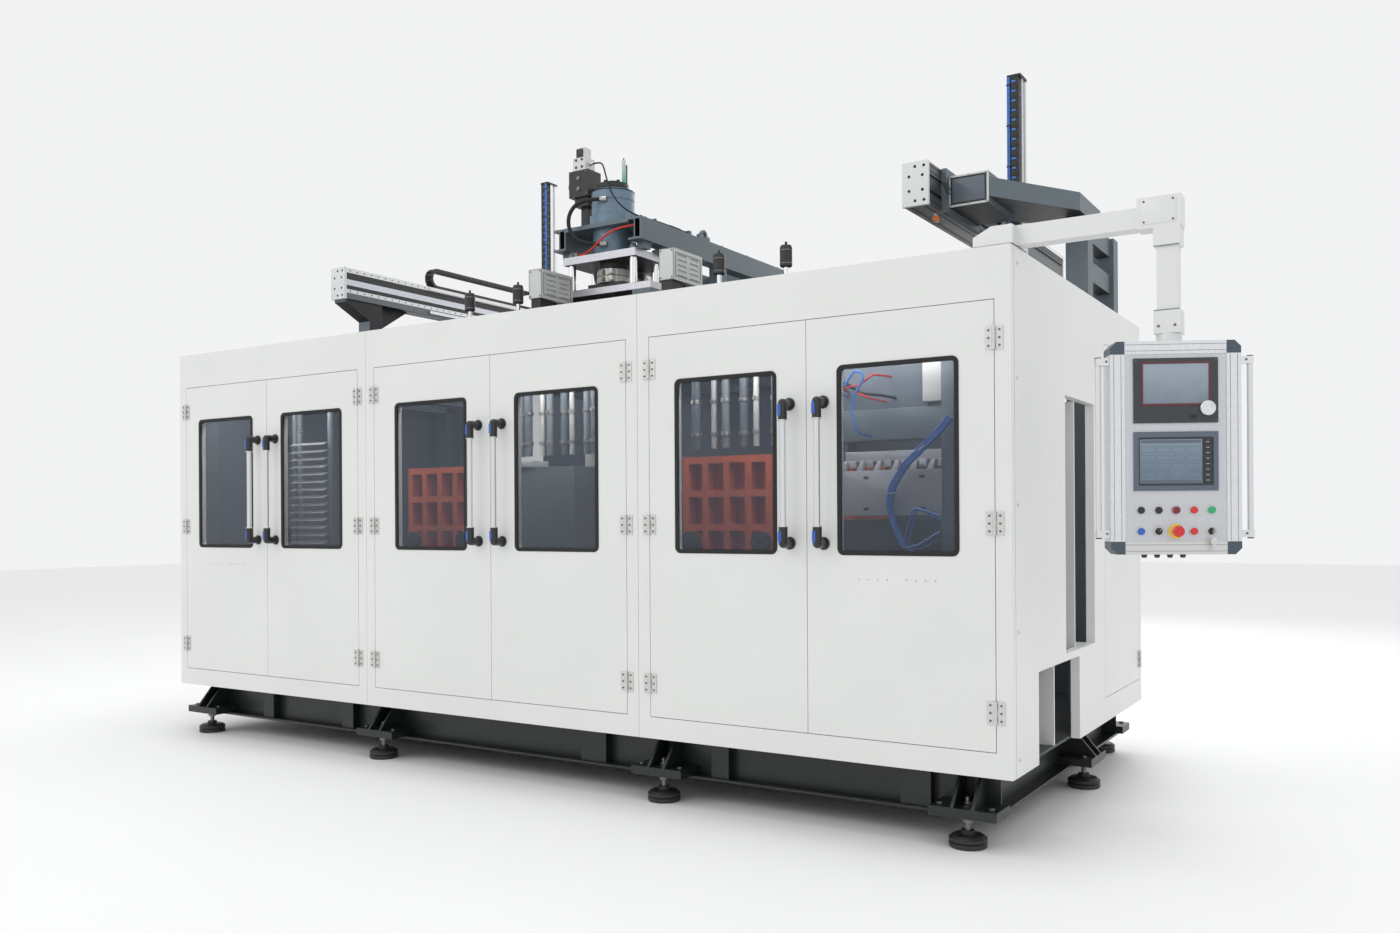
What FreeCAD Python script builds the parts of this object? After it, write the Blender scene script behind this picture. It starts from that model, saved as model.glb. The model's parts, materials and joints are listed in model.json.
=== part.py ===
"""Double-station extrusion blow moulding machine, built as a parametric FreeCAD document.

The frame of the model: +Z up, the floor at Z = 0, the long front of the machine faces -Y and
the operator's pendant hangs off its right end (+X).  The origin is the middle of the sole of
the front right levelling foot.  Lengths are in millimetres.
"""
import FreeCAD
import Part

import os
import re

import Sketcher

V = FreeCAD.Vector

SIZES = {
    # enclosure
    "foot_inset": 204,          # right face of the enclosure to the front right foot
    "foot_setback": 70,         # front face of the enclosure to the front row of feet
    "enclosure_depth": 2308,
    "panel_bottom": 293,
    "panel_height": 2040,
    "panel_thick": 40,
    "seam": 2,
    "right_module": 1740,
    "middle_module": 1820,
    "left_module": 1690,
    # front doors
    "post_margin": 64,          # module edge to the doorway
    "door_sill": 98,            # panel bottom to the doorway
    "door_height": 1739,
    "door_gap": 3,
    "door_thick": 38,
    "sheet": 3,
    "window_wide": 500,
    "window_high": 762,
    "window_sill": 762,         # doorway bottom to the window's bottom
    "window_corner": 18,
    "window_frame": 30,
    "glass_thick": 6,
    "glass_inset": 7,
    "glass_clearance": 0.3,
    # door handles
    "handle_from_edge": 78,
    "handle_sill": 780,         # doorway bottom to the handle's lower end
    "handle_length": 626,
    "handle_reach": 62,
    "handle_tube": 13,
    "handle_elbow": 19,
    "handle_sleeve": 70,
    "handle_flange": 27,
    # hinges
    "hinge_high": 90,
    "hinge_leaf": 27,
    "hinge_plate": 4,
    "hinge_knuckle": 7,
    "hinge_pin": 3,
    "hinge_run": 0.05,
    "hinge_slack": 0.4,
    "hinge_off": 0.3,
    "hinge_low": 154,
    "hinge_mid": 879,
    "hinge_top": 1589,
    # base frame
    "beam_bottom": 110,
    "flange_wide": 130,
    "flange_thick": 12,
    "web_thick": 8,
    "beam_setback": 100,
    "floor_plate": 12,
    # feet
    "foot_pad": 75,
    "foot_height": 66,
    "foot_screw": 12,
    "screw_top": 196,
    "nut_size": 22,
    "bracket_wide": 276,
    "bracket_thick": 38,
    "gusset_thick": 14,
    "gusset_apart": 84,
    "left_foot_inset": 210,
    "second_foot": 1650,
    "third_foot": 3510,
    "side_foot": 1330,
    # right side
    "outlet_start": 760,
    "outlet_wide": 510,
    "outlet_bottom": 700,
    "outlet_top": 1825,
    "jamb_start": 1060,
    "jamb_deep": 330,
    "jamb_thick": 12,
    "hatch_start": 340,
    "hatch_wide": 645,
    "hatch_top": 668,
    "hatch_jamb": 279,
    "side_door_start": 1484,
    "side_door_wide": 759,
    "side_door_bottom": 410,
    "side_door_top": 2142,
    "side_window_margin": 130,
    # back
    "takeout_wide": 640,
    "takeout_sill": 1400,
    # inner steel frame
    "tube": 120,
    "top_beam": 2130,
    "rib_high": 100,
    # take-out robots
    "beam_front": 750,
    "beam_length": 2350,
    "beam_wide": 122,
    "beam_high": 200,
    "beam_underside": 2753,
    "end_plate": 20,
    "end_plate_lip": 3,
    "rail_wide": 20,
    "rail_high": 15,
    "right_beam": 741,          # right face to the far side of the right beam
    "left_beam": 4735,
    "slot_size": 12,
    "right_mast_y": 1900,
    "left_mast_y": 2745,
    "mast_wide": 70,
    "mast_deep": 80,
    "mast_length": 1300,
    "right_mast_foot": 2385,
    "left_mast_foot": 2665,
    "slide_gap": 0.3,
    "carriage_plate": 25,
    "carriage_wide": 220,
    "carriage_high": 250,
    # head tower
    "tower_x": 2545,            # right face to the tower's middle
    "tower_y": 905,
    "platform_top": 2574,
    "platform_thick": 36,
    "platform_wide": 760,
    "platform_deep": 980,
    "platform_front": 722,
    "head_plate_bottom": 2735,
    "head_plate_thick": 42,
    "head_plate_wide": 500,
    "head_plate_deep": 420,
    "column_round": 21,
    "column_apart_x": 425,
    "column_apart_y": 210,
    "die_round": 92,
    "cylinder_round": 118,
    "cylinder_bottom": 2958,
    "cylinder_top": 3145,
    "yoke_bottom": 2815,
    "yoke_top": 2937,
    "yoke_length": 1650,
    "yoke_wide": 86,
    "yoke_apart": 520,
    # pendant and its arm
    "arm_y": 120,
    "arm_tube": 76,
    "arm_bottom": 2335,
    "arm_length": 440,
    "drop_x": 541,
    "drop_bottom": 1940,
    "pivot_inset": 80,
    "pendant_wide": 450,
    "pendant_bottom": 1158,
    "pendant_high": 757,
    "pendant_deep": 86,
    "pendant_forward": 96,      # drop tube axis to the pendant's front
    "pendant_shift": -9,
    "profile_wide": 50,
    "profile_high": 46,
    "button_round": 12.5,
    "button_row_top": 157,
    "button_row_low": 82,
    "button_pitch": 60.6,
    "button_gap": 0.3,
    # clamps
    "clamp_wide": 500,
    "right_clamp_x": 1523,
    "left_clamp_x": 3440,
    "bed_top": 430,
    "clamp_top": 1600,
    "clamp_front": 430,
    "clamp_rear": 1330,
    "platen_thick": 60,
    "platen_rib": 85,
    "tie_bar": 32,
    "tie_bar_long": 1400,
    "tie_inset": 52,
    "clamp_rail": 40,
    "barrel_round": 62,
}


class Model:
    """The document, its sheet of sizes and the calls that add bound features to it."""

    def __init__(self, title, sizes):
        self.doc = FreeCAD.newDocument(title)
        self.sheet = self.doc.addObject("Spreadsheet::Sheet", "sizes")
        self.nodes = []
        for row, (name, value) in enumerate(sizes.items(), start=1):
            self.sheet.set(f"A{row}", name)
            self.sheet.set(f"B{row}", str(value))
            self.sheet.setAlias(f"B{row}", name)
        self.doc.recompute()
        self.words = re.compile(r"\b(" + "|".join(sorted(sizes, key=len, reverse=True)) + r")\b")

    def link(self, text):
        """An expression in the sizes' plain names, as FreeCAD reads it."""
        return self.words.sub(r"sizes.\1", str(text))

    def value(self, text):
        """What an expression comes to now, in millimetres."""
        names = set(self.words.findall(str(text)))
        held = {name: float(getattr(self.sheet, name)) for name in names}
        return plain_value(str(text), held)

    def bind(self, item, prop, text):
        item.setExpression(prop, self.link(text))

    def place(self, item, x, y, z):
        for axis, text in zip("xyz", (x, y, z)):
            self.bind(item, f"Placement.Base.{axis}", text)

    def box(self, x, y, z, dx, dy, dz):
        """A block from its low corner and its three lengths."""
        item = self.doc.addObject("Part::Box", "block")
        for prop, text in (("Length", dx), ("Width", dy), ("Height", dz)):
            self.bind(item, prop, text)
        self.place(item, x, y, z)
        return item

    def rod(self, axis, x, y, z, radius, length):
        """A round bar that starts at x, y, z and runs along +X, +Y or +Z."""
        item = self.doc.addObject("Part::Cylinder", "bar")
        self.bind(item, "Radius", radius)
        self.bind(item, "Height", length)
        turns = {"X": (V(0, 1, 0), 90), "Y": (V(1, 0, 0), -90), "Z": (V(0, 0, 1), 0)}
        item.Placement.Rotation = FreeCAD.Rotation(*turns[axis])
        self.place(item, x, y, z)
        return item

    def ball(self, x, y, z, radius):
        item = self.doc.addObject("Part::Sphere", "ball")
        self.bind(item, "Radius", radius)
        self.place(item, x, y, z)
        return item

    def cone(self, x, y, z, low, high, height):
        item = self.doc.addObject("Part::Cone", "cone")
        for prop, text in (("Radius1", low), ("Radius2", high), ("Height", height)):
            self.bind(item, prop, text)
        self.place(item, x, y, z)
        return item

    def fuse(self, *items):
        whole = self.doc.addObject("Part::MultiFuse", "joined")
        whole.Shapes = list(items)
        whole.Refine = True
        return whole

    def cut(self, base, *tools):
        tool = tools[0] if len(tools) == 1 else self.fuse(*tools)
        left = self.doc.addObject("Part::Cut", "cut")
        left.Base = base
        left.Tool = tool
        return left

    def node(self, label, *items):
        """Closes a sub-part: one solid, or a group of separate solids, under its own name."""
        if len(items) == 1:
            item = items[0]
        else:
            item = self.doc.addObject("Part::Compound", "group")
            item.Links = list(items)
        item.Label = label
        self.nodes.append(item)
        return item

    def sketch(self, body, plane, loops):
        """Closed outlines on one of the body's own planes; every corner is held by two sizes."""
        draft = body.newObject("Sketcher::SketchObject", "outline")
        held = [f for f in body.Origin.OriginFeatures if f.Role == plane][0]
        draft.AttachmentSupport = [(held, "")]
        draft.MapMode = "FlatFace"
        for loop in loops:
            first = draft.GeometryCount
            spots = [(self.value(a), self.value(b)) for a, b in loop]
            for at, spot in enumerate(spots):
                after = spots[(at + 1) % len(spots)]
                draft.addGeometry(Part.LineSegment(V(*spot, 0), V(*after, 0)), False)
            for at in range(len(loop)):
                after = (at + 1) % len(loop)
                draft.addConstraint(Sketcher.Constraint("Coincident", first + at, 2, first + after, 1))
            for at, (across, up) in enumerate(loop):
                self.hold(draft, "DistanceX", first + at, across)
                self.hold(draft, "DistanceY", first + at, up)
        return draft

    def hold(self, draft, kind, line, text):
        rule = Sketcher.Constraint(kind, -1, 1, line, 1, self.value(text))
        number = draft.addConstraint(rule)
        self.bind(draft, f"Constraints[{number}]", text)

    def body(self, x, y, z):
        body = self.doc.addObject("PartDesign::Body", "body")
        self.place(body, x, y, z)
        return body

    def pad(self, body, plane, loops, length, reverse=False):
        feature = body.newObject("PartDesign::Pad", "pad")
        feature.Profile = self.sketch(body, plane, loops)
        self.bind(feature, "Length", length)
        feature.Reversed = reverse
        return feature

    def turned(self, x, y, z, profile, tilt=None):
        """A lathe part: radius and height pairs turned about its own upright axis."""
        body = self.body(x, y, z)
        if tilt:
            body.Placement.Rotation = tilt
        feature = body.newObject("PartDesign::Revolution", "turned")
        draft = self.sketch(body, "XZ_Plane", [profile])
        feature.Profile = draft
        feature.ReferenceAxis = (draft, ["V_Axis"])
        feature.Angle = 360
        return body

    def plate(self, plane, x, y, z, loops, thick, reverse=False):
        """A flat plate with any openings, cut from one outline."""
        body = self.body(x, y, z)
        self.pad(body, plane, loops, thick, reverse)
        return body


def plain_value(text, held):
    """Works out sums of names and numbers with + - * / and brackets."""
    tokens = re.findall(r"[A-Za-z_]\w*|\d+\.?\d*|[-+*/()]", text)
    return sum_of(tokens, held)


def sum_of(tokens, held):
    total = product_of(tokens, held)
    while tokens and tokens[0] in "+-":
        sign = tokens.pop(0)
        other = product_of(tokens, held)
        total = total + other if sign == "+" else total - other
    return total


def product_of(tokens, held):
    total = item_of(tokens, held)
    while tokens and tokens[0] in "*/":
        sign = tokens.pop(0)
        other = item_of(tokens, held)
        total = total * other if sign == "*" else total / other
    return total


def item_of(tokens, held):
    head = tokens.pop(0)
    if head == "-":
        return -item_of(tokens, held)
    if head == "(":
        inner = sum_of(tokens, held)
        tokens.pop(0)
        return inner
    return held[head] if head in held else float(head)


def rect(x0, y0, x1, y1):
    """The four corners of a rectangle between two expressions each way."""
    return [(x0, y0), (x1, y0), (x1, y1), (x0, y1)]


def from_right(text):
    """X of a place that lies so far left of the enclosure's right face."""
    return f"foot_inset - ({text})"


def from_front(text):
    """Y of a place that lies so far behind the enclosure's front face."""
    return f"({text}) - foot_setback"


MODULES = {
    "right": ("0", "right_module"),
    "middle": ("right_module", "middle_module"),
    "left": ("right_module + middle_module", "left_module"),
}
LENGTH = "right_module + middle_module + left_module"
PANEL_TOP = "panel_bottom + panel_height"
DOORWAY = "panel_bottom + door_sill"
HINGES = ("hinge_low", "hinge_mid", "hinge_top")


def doorway_wide(module):
    return f"({MODULES[module][1]} - 2 * post_margin)"


def leaf_wide(module):
    return f"({doorway_wide(module)} / 2 - 1.5 * door_gap)"


def front_frames(model):
    """One white welded frame round the doorway of each module."""
    frames = []
    for start, wide in MODULES.values():
        outline = rect("0", "0", f"{wide} - seam", "panel_height")
        doorway = rect("post_margin - seam / 2", "door_sill", f"{wide} - post_margin - seam / 2",
                       "door_sill + door_height")
        frames.append(model.plate("XZ_Plane", from_right(f"{start} + {wide} - seam / 2"),
                                  from_front("0"), "panel_bottom", [outline, doorway],
                                  "panel_thick", reverse=True))
    model.node("front_frames", *frames)


def window_edges(body, feature, model, wide, corner_x):
    """The four edges of a window opening that run through the panel."""
    names = []
    low = model.value("window_sill - door_gap")
    high = low + model.value("window_high")
    left = model.value(corner_x)
    right = left + model.value("window_wide")
    for number, edge in enumerate(feature.Shape.Edges, start=1):
        ends = [vertex.Point for vertex in edge.Vertexes]
        if len(ends) != 2 or abs(ends[0].y - ends[1].y) < 1:
            continue
        spot = ends[0]
        on_x = min(abs(spot.x - left), abs(spot.x - right)) < 0.01
        on_z = min(abs(spot.z - low), abs(spot.z - high)) < 0.01
        if on_x and on_z:
            names.append(f"Edge{number}")
    return names


def door_leaf(model, module, side):
    """A folded steel leaf: skin, returned edges and a boxed ring round its window."""
    start, wide = MODULES[module]
    leaf = leaf_wide(module)
    first = f"{start} + post_margin + door_gap"
    if side == "left":
        first = f"{start} + post_margin + 2 * door_gap + {leaf}"
    low_x = from_right(f"{first} + {leaf}")
    body = model.body(low_x, from_front("0"), f"{DOORWAY} + door_gap")
    tall = "(door_height - 2 * door_gap)"
    hole_x = f"({leaf} - window_wide) / 2"
    hole = rect(hole_x, "window_sill - door_gap", f"{hole_x} + window_wide",
                "window_sill - door_gap + window_high")
    pad = model.pad(body, "XZ_Plane", [rect("0", "0", leaf, tall), hole], "door_thick", reverse=True)
    model.doc.recompute()
    corners = body.newObject("PartDesign::Fillet", "window_corners")
    corners.Base = (pad, window_edges(body, pad, model, leaf, hole_x))
    model.bind(corners, "Radius", "window_corner")
    ring = rect(f"{hole_x} - window_frame", "window_sill - door_gap - window_frame",
                f"{hole_x} + window_wide + window_frame",
                "window_sill - door_gap + window_high + window_frame")
    inner = rect("sheet", "sheet", f"{leaf} - sheet", f"{tall} - sheet")
    hollow = body.newObject("PartDesign::Pocket", "hollow")
    hollow.Profile = model.sketch(body, "XZ_Plane", [inner, ring])
    model.bind(hollow, "Length", "door_thick - sheet")
    hollow.Reversed = True
    draft = hollow.Profile[0]
    model.bind(draft, "AttachmentOffset.Base.z", "-door_thick")
    hollow.Reversed = False
    return body, low_x, leaf


def door_glass(model, low_x, leaf):
    """The smoked pane, a running clearance inside the leaf's rounded hole."""
    body = model.body(f"{low_x} + ({leaf} - window_wide) / 2 + glass_clearance",
                      from_front("glass_inset"),
                      f"{DOORWAY} + window_sill + glass_clearance")
    pad = model.pad(body, "XZ_Plane",
                    [rect("0", "0", "window_wide - 2 * glass_clearance",
                          "window_high - 2 * glass_clearance")], "glass_thick", reverse=True)
    model.doc.recompute()
    names = [f"Edge{number}" for number, edge in enumerate(pad.Shape.Edges, start=1)
             if abs(edge.Vertexes[0].Point.y - edge.Vertexes[1].Point.y) > 1]
    corners = body.newObject("PartDesign::Fillet", "pane_corners")
    corners.Base = (pad, names)
    model.bind(corners, "Radius", "window_corner")
    return body


def vent_holes(model, low_x, leaf):
    """Two groups of four round holes in a row under the window."""
    holes = []
    for step in range(8):
        across = f"{low_x} + {leaf} / 2 - 164 + {step} * 41 + {step // 4} * 41"
        holes.append(model.rod("Y", across, from_front("-1"), f"{DOORWAY} + 654", "4.5", "5"))
    return holes


def door_handle(model, x):
    """A bow handle: a straight tube between two elbows that stand on round flanges."""
    low = f"{DOORWAY} + handle_sill"
    out = from_front("-handle_reach")
    parts = []
    for centre, sleeve in ((f"{low} + handle_elbow", "0"),
                           (f"{low} + handle_length - handle_elbow", "-handle_sleeve")):
        leg = model.rod("Y", x, out, centre, "handle_elbow", "handle_reach")
        bend = model.ball(x, out, centre, "handle_elbow")
        grip = model.rod("Z", x, out, f"{centre} + {sleeve}", "handle_elbow", "handle_sleeve")
        foot = model.rod("Y", x, from_front("-6"), centre, "handle_flange", 6)
        parts.append(model.fuse(leg, bend, grip, foot))
    start = f"{low} + handle_elbow + handle_sleeve"
    parts.append(model.rod("Z", x, out, start, "handle_tube",
                           "handle_length - 2 * handle_elbow - 2 * handle_sleeve"))
    return parts


def hinge_leaf(model, x, z, way, bored):
    """One leaf of a butt hinge, on the side that way (+1 or -1) points from the pin along X."""
    y = from_front("-hinge_knuckle - hinge_off")
    third = "hinge_high / 3"
    start = "hinge_knuckle + 1" if way > 0 else "-(hinge_knuckle + 1) - hinge_leaf"
    flat = model.box(f"{x} + {start}", from_front("-hinge_plate"), z, "hinge_leaf", "hinge_plate",
                     "hinge_high")
    reach = "0" if way > 0 else "-(hinge_knuckle + 1.5)"
    lifts = ("0", f"2 * {third} + hinge_slack") if bored else (f"{third} + hinge_slack",)
    tall = f"{third} - hinge_slack" if bored else f"{third} - 2 * hinge_slack"
    rolls = [flat]
    for lift in lifts:
        rolls.append(model.rod("Z", x, y, f"{z} + {lift}", "hinge_knuckle", tall))
        rolls.append(model.box(f"{x} + {reach}", from_front("-hinge_plate"), f"{z} + {lift}",
                               "hinge_knuckle + 1.5", "hinge_plate", tall))
    if not bored:
        rolls.append(model.rod("Z", x, y, z, "hinge_pin", "hinge_high"))
        return model.fuse(*rolls)
    bore = model.rod("Z", x, y, f"{z} - 1", "hinge_pin + hinge_run", "hinge_high + 2")
    return model.cut(model.fuse(*rolls), bore)


def front_doors(model):
    """Six leaves, each with its window, its handle and its half of three hinges."""
    fixed = []
    for module, (start, wide) in MODULES.items():
        for side in ("right", "left"):
            name = f"{module}_bay_{side}_door"
            body, low_x, leaf = door_leaf(model, module, side)
            if side == "right":
                pin = from_right(f"{start} + post_margin + door_gap / 2")
                handle = f"{low_x} + handle_from_edge"
                way = -1
            else:
                pin = from_right(f"{start} + {wide} - post_margin - door_gap / 2")
                handle = f"{low_x} + {leaf} - handle_from_edge"
                way = 1
            if (module, side) in (("right", "right"), ("left", "left")):
                body = model.cut(body, *vent_holes(model, low_x, leaf))
            solids = [body] + door_handle(model, handle)
            for level in HINGES:
                z = f"{DOORWAY} + {level} - hinge_high / 2"
                solids.append(hinge_leaf(model, pin, z, way, bored=True))
                fixed.append(hinge_leaf(model, pin, z, -way, bored=False))
            model.node(name, *solids)
            glass = door_glass(model, low_x, leaf)
            model.node(name.replace("door", "window"), glass)
    return fixed


def side_panels(model):
    """The right side has an outlet, a hatch and a door; the left side is closed."""
    deep = "enclosure_depth - 2 * panel_thick - 2 * seam"
    base = "(panel_thick + seam)"
    openings = [
        rect(f"outlet_start - {base}", "outlet_bottom - panel_bottom",
             f"outlet_start + outlet_wide - {base}", "outlet_top - panel_bottom"),
        rect(f"side_door_start - {base}", "side_door_bottom - panel_bottom",
             f"side_door_start + side_door_wide - {base}", "side_door_top - panel_bottom"),
    ]
    hatch = "hatch_start - panel_thick - seam"
    outline = [("0", "0"), (hatch, "0"), (hatch, "hatch_top - panel_bottom"),
               (f"{hatch} + hatch_wide", "hatch_top - panel_bottom"), (f"{hatch} + hatch_wide", "0"),
               (deep, "0"), (deep, "panel_height"), ("0", "panel_height")]
    right = model.plate("YZ_Plane", from_right("panel_thick"), from_front(base), "panel_bottom",
                        [outline] + openings, "panel_thick")
    left = model.plate("YZ_Plane", from_right(LENGTH), from_front(base), "panel_bottom",
                       [rect("0", "0", deep, "panel_height")], "panel_thick")
    model.node("side_panels", right, left, *opening_liners(model))


def back_panels(model):
    """Three rear panels; the outer two are cut down where the robots carry bottles out."""
    panels = []
    middles = {"right": "right_beam - beam_wide - mast_wide", "left": "left_beam - beam_wide - mast_wide"}
    for module, (start, wide) in MODULES.items():
        span = f"({wide} - seam)"
        if module in middles:
            centre = f"({start} + {wide} - seam / 2 - ({middles[module]}))"
            edge = "takeout_wide / 2"
            sill = "takeout_sill - panel_bottom"
            outline = [("0", "0"), (span, "0"), (span, "panel_height"),
                       (f"{centre} + {edge}", "panel_height"), (f"{centre} + {edge}", sill),
                       (f"{centre} - {edge}", sill), (f"{centre} - {edge}", "panel_height"),
                       ("0", "panel_height")]
        else:
            outline = rect("0", "0", span, "panel_height")
        panels.append(model.plate("XZ_Plane", from_right(f"{start} + {wide} - seam / 2"),
                                  from_front("enclosure_depth - panel_thick"), "panel_bottom",
                                  [outline], "panel_thick", reverse=True))
    model.node("back_panels", *panels)


def opening_liners(model):
    """Deep white jambs behind the outlet and the hatch, and the dark screens behind them."""
    inner = from_right("panel_thick + jamb_deep")
    jamb = model.box(inner, from_front("jamb_start"), "outlet_bottom - jamb_thick",
                     "jamb_deep", "jamb_thick", "outlet_top - outlet_bottom + jamb_thick")
    shelf = model.box(inner, from_front("jamb_start + jamb_thick"), "outlet_bottom - jamb_thick",
                      "jamb_deep", "outlet_start + outlet_wide - jamb_start - jamb_thick",
                      "jamb_thick")
    hatch = model.box(from_right("panel_thick + hatch_jamb"),
                      from_front("hatch_start + hatch_wide - hatch_jamb"),
                      "panel_bottom + floor_plate", "hatch_jamb", "jamb_thick",
                      "hatch_top - panel_bottom - floor_plate")
    return [model.fuse(jamb, shelf), hatch]


def side_door(model, fixed):
    """The service door at the rear of the right side, hinged at its back edge."""
    wide = "(side_door_wide - 2 * door_gap)"
    tall = "(side_door_top - side_door_bottom - 2 * door_gap)"
    low_y = from_front("side_door_start + door_gap")
    low_z = "side_door_bottom + door_gap"
    hole = rect("side_window_margin", "window_sill", f"{wide} - side_window_margin",
                "window_sill + window_high")
    leaf = model.plate("YZ_Plane", from_right("door_thick"), low_y, low_z,
                       [rect("0", "0", wide, tall), hole], "door_thick")
    pin_y = from_front("side_door_start + side_door_wide - door_gap / 2")
    solids = [leaf]
    for level in HINGES:
        z = f"{low_z} + {level} - hinge_high"
        for way in (-1, 1):
            hinge = side_hinge(model, pin_y, z, way)
            (solids if way < 0 else fixed).append(hinge)
    model.node("service_door", *solids)
    pane = model.box(from_right("glass_inset + glass_thick"),
                     f"{low_y} + side_window_margin + glass_clearance",
                     f"{low_z} + window_sill + glass_clearance", "glass_thick",
                     f"{wide} - 2 * side_window_margin - 2 * glass_clearance",
                     "window_high - 2 * glass_clearance")
    model.node("service_window", pane)


def side_hinge(model, y, z, way):
    """A hinge leaf of the service door, on the side that way points from the pin along Y."""
    x = from_right("-hinge_knuckle - hinge_off")
    third = "hinge_high / 3"
    start = "hinge_knuckle + 1" if way > 0 else "-(hinge_knuckle + 1) - hinge_leaf"
    flat = model.box(from_right("0"), f"{y} + {start}", z, "hinge_plate", "hinge_leaf", "hinge_high")
    reach = "0" if way > 0 else "-(hinge_knuckle + 1.5)"
    bored = way < 0
    lifts = ("0", f"2 * {third} + hinge_slack") if bored else (f"{third} + hinge_slack",)
    tall = f"{third} - hinge_slack" if bored else f"{third} - 2 * hinge_slack"
    rolls = [flat]
    for lift in lifts:
        rolls.append(model.rod("Z", x, y, f"{z} + {lift}", "hinge_knuckle", tall))
        rolls.append(model.box(from_right("0"), f"{y} + {reach}", f"{z} + {lift}",
                               "hinge_plate", "hinge_knuckle + 1.5", tall))
    if not bored:
        rolls.append(model.rod("Z", x, y, z, "hinge_pin", "hinge_high"))
        return model.fuse(*rolls)
    bore = model.rod("Z", x, y, f"{z} - 1", "hinge_pin + hinge_run", "hinge_high + 2")
    return model.cut(model.fuse(*rolls), bore)


def long_beam(model, y, x_start, x_long):
    """A rolled H beam along X, from its own section."""
    high = "(panel_bottom - beam_bottom)"
    mid = "(flange_wide - web_thick) / 2"
    section = [("0", "0"), ("flange_wide", "0"), ("flange_wide", "flange_thick"),
               (f"{mid} + web_thick", "flange_thick"), (f"{mid} + web_thick", f"{high} - flange_thick"),
               ("flange_wide", f"{high} - flange_thick"), ("flange_wide", high), ("0", high),
               ("0", f"{high} - flange_thick"), (mid, f"{high} - flange_thick"),
               (mid, "flange_thick"), ("0", "flange_thick")]
    return model.plate("YZ_Plane", x_start, y, "beam_bottom", [section], x_long)


def cross_beam(model, x, y_start, y_long):
    """The same H beam along Y, between the two long ones."""
    high = "(panel_bottom - beam_bottom)"
    mid = "(flange_wide - web_thick) / 2"
    section = [("0", "0"), ("flange_wide", "0"), ("flange_wide", "flange_thick"),
               (f"{mid} + web_thick", "flange_thick"), (f"{mid} + web_thick", f"{high} - flange_thick"),
               ("flange_wide", f"{high} - flange_thick"), ("flange_wide", high), ("0", high),
               ("0", f"{high} - flange_thick"), (mid, f"{high} - flange_thick"),
               (mid, "flange_thick"), ("0", "flange_thick")]
    return model.plate("XZ_Plane", x, y_start, "beam_bottom", [section], y_long, reverse=True)


def stiffeners(model):
    """Upright plates between the flanges of the front beam, on its outer side."""
    plates = []
    low = "beam_bottom + flange_thick"
    tall = "panel_bottom - beam_bottom - 2 * flange_thick"
    for reach, wide in (("4600", "90"), ("3900", "90"), ("2170", "150"), ("1420", "90"), ("505", "130")):
        plates.append(model.box(from_right(reach), from_front("beam_setback + 16"), low, wide,
                                "flange_wide / 2 - web_thick / 2 - 16", tall))
    return plates


FRONT_FEET = ("foot_inset", "second_foot", "third_foot", f"{LENGTH} - left_foot_inset")


def foot_places():
    """X, Y and the way each bracket faces, as expressions: two long rows and one at each end."""
    places = []
    for reach in FRONT_FEET:
        places.append((from_right(reach), from_front("foot_setback"), "front"))
        places.append((from_right(reach), from_front("enclosure_depth - foot_setback"), "back"))
    places.append((from_right("foot_setback"), from_front("side_foot"), "right"))
    places.append((from_right(f"{LENGTH} - foot_setback"), from_front("side_foot"), "left"))
    return places


def foot_bracket(model, x, y, facing):
    """A thick plate with two slanted gussets, standing on the beam's lower flange."""
    low = "beam_bottom + flange_thick"
    reach = "(beam_setback + flange_wide / 2 - web_thick / 2)"
    half = "bracket_wide / 2"
    hole = model.rod("Z", x, y, f"{low} - 1", "foot_screw", "bracket_thick + 2")
    tall = "(panel_bottom - beam_bottom - 2 * flange_thick - bracket_thick)"
    if facing in ("front", "back"):
        near = from_front("0") if facing == "front" else from_front(f"enclosure_depth - {reach}")
        slab = model.box(f"{x} - {half}", near, low, "bracket_wide", reach, "bracket_thick")
    else:
        near = from_right(reach) if facing == "right" else from_right(LENGTH)
        slab = model.box(near, f"{y} - {half}", low, reach, "bracket_wide", "bracket_thick")
    ribs = []
    for way in (-1, 1):
        shift = f"{way} * gusset_apart / 2 - gusset_thick / 2"
        slant = [("0", "0"), (f"{reach} - 12", "0"), (reach, "0"), (reach, tall),
                 (f"{reach} - 56", tall)]
        if facing in ("front", "left"):
            line = slant
        else:
            line = [(f"{reach} - ({a})", b) for a, b in reversed(slant)]
        if facing in ("front", "back"):
            rib = model.plate("YZ_Plane", f"{x} + {shift}", near, f"{low} + bracket_thick", [line],
                              "gusset_thick")
        else:
            rib = model.plate("XZ_Plane", near, f"{y} + {shift}", f"{low} + bracket_thick", [line],
                              "gusset_thick", reverse=True)
        ribs.append(rib)
    return model.fuse(model.cut(slab, hole), *ribs)


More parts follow.
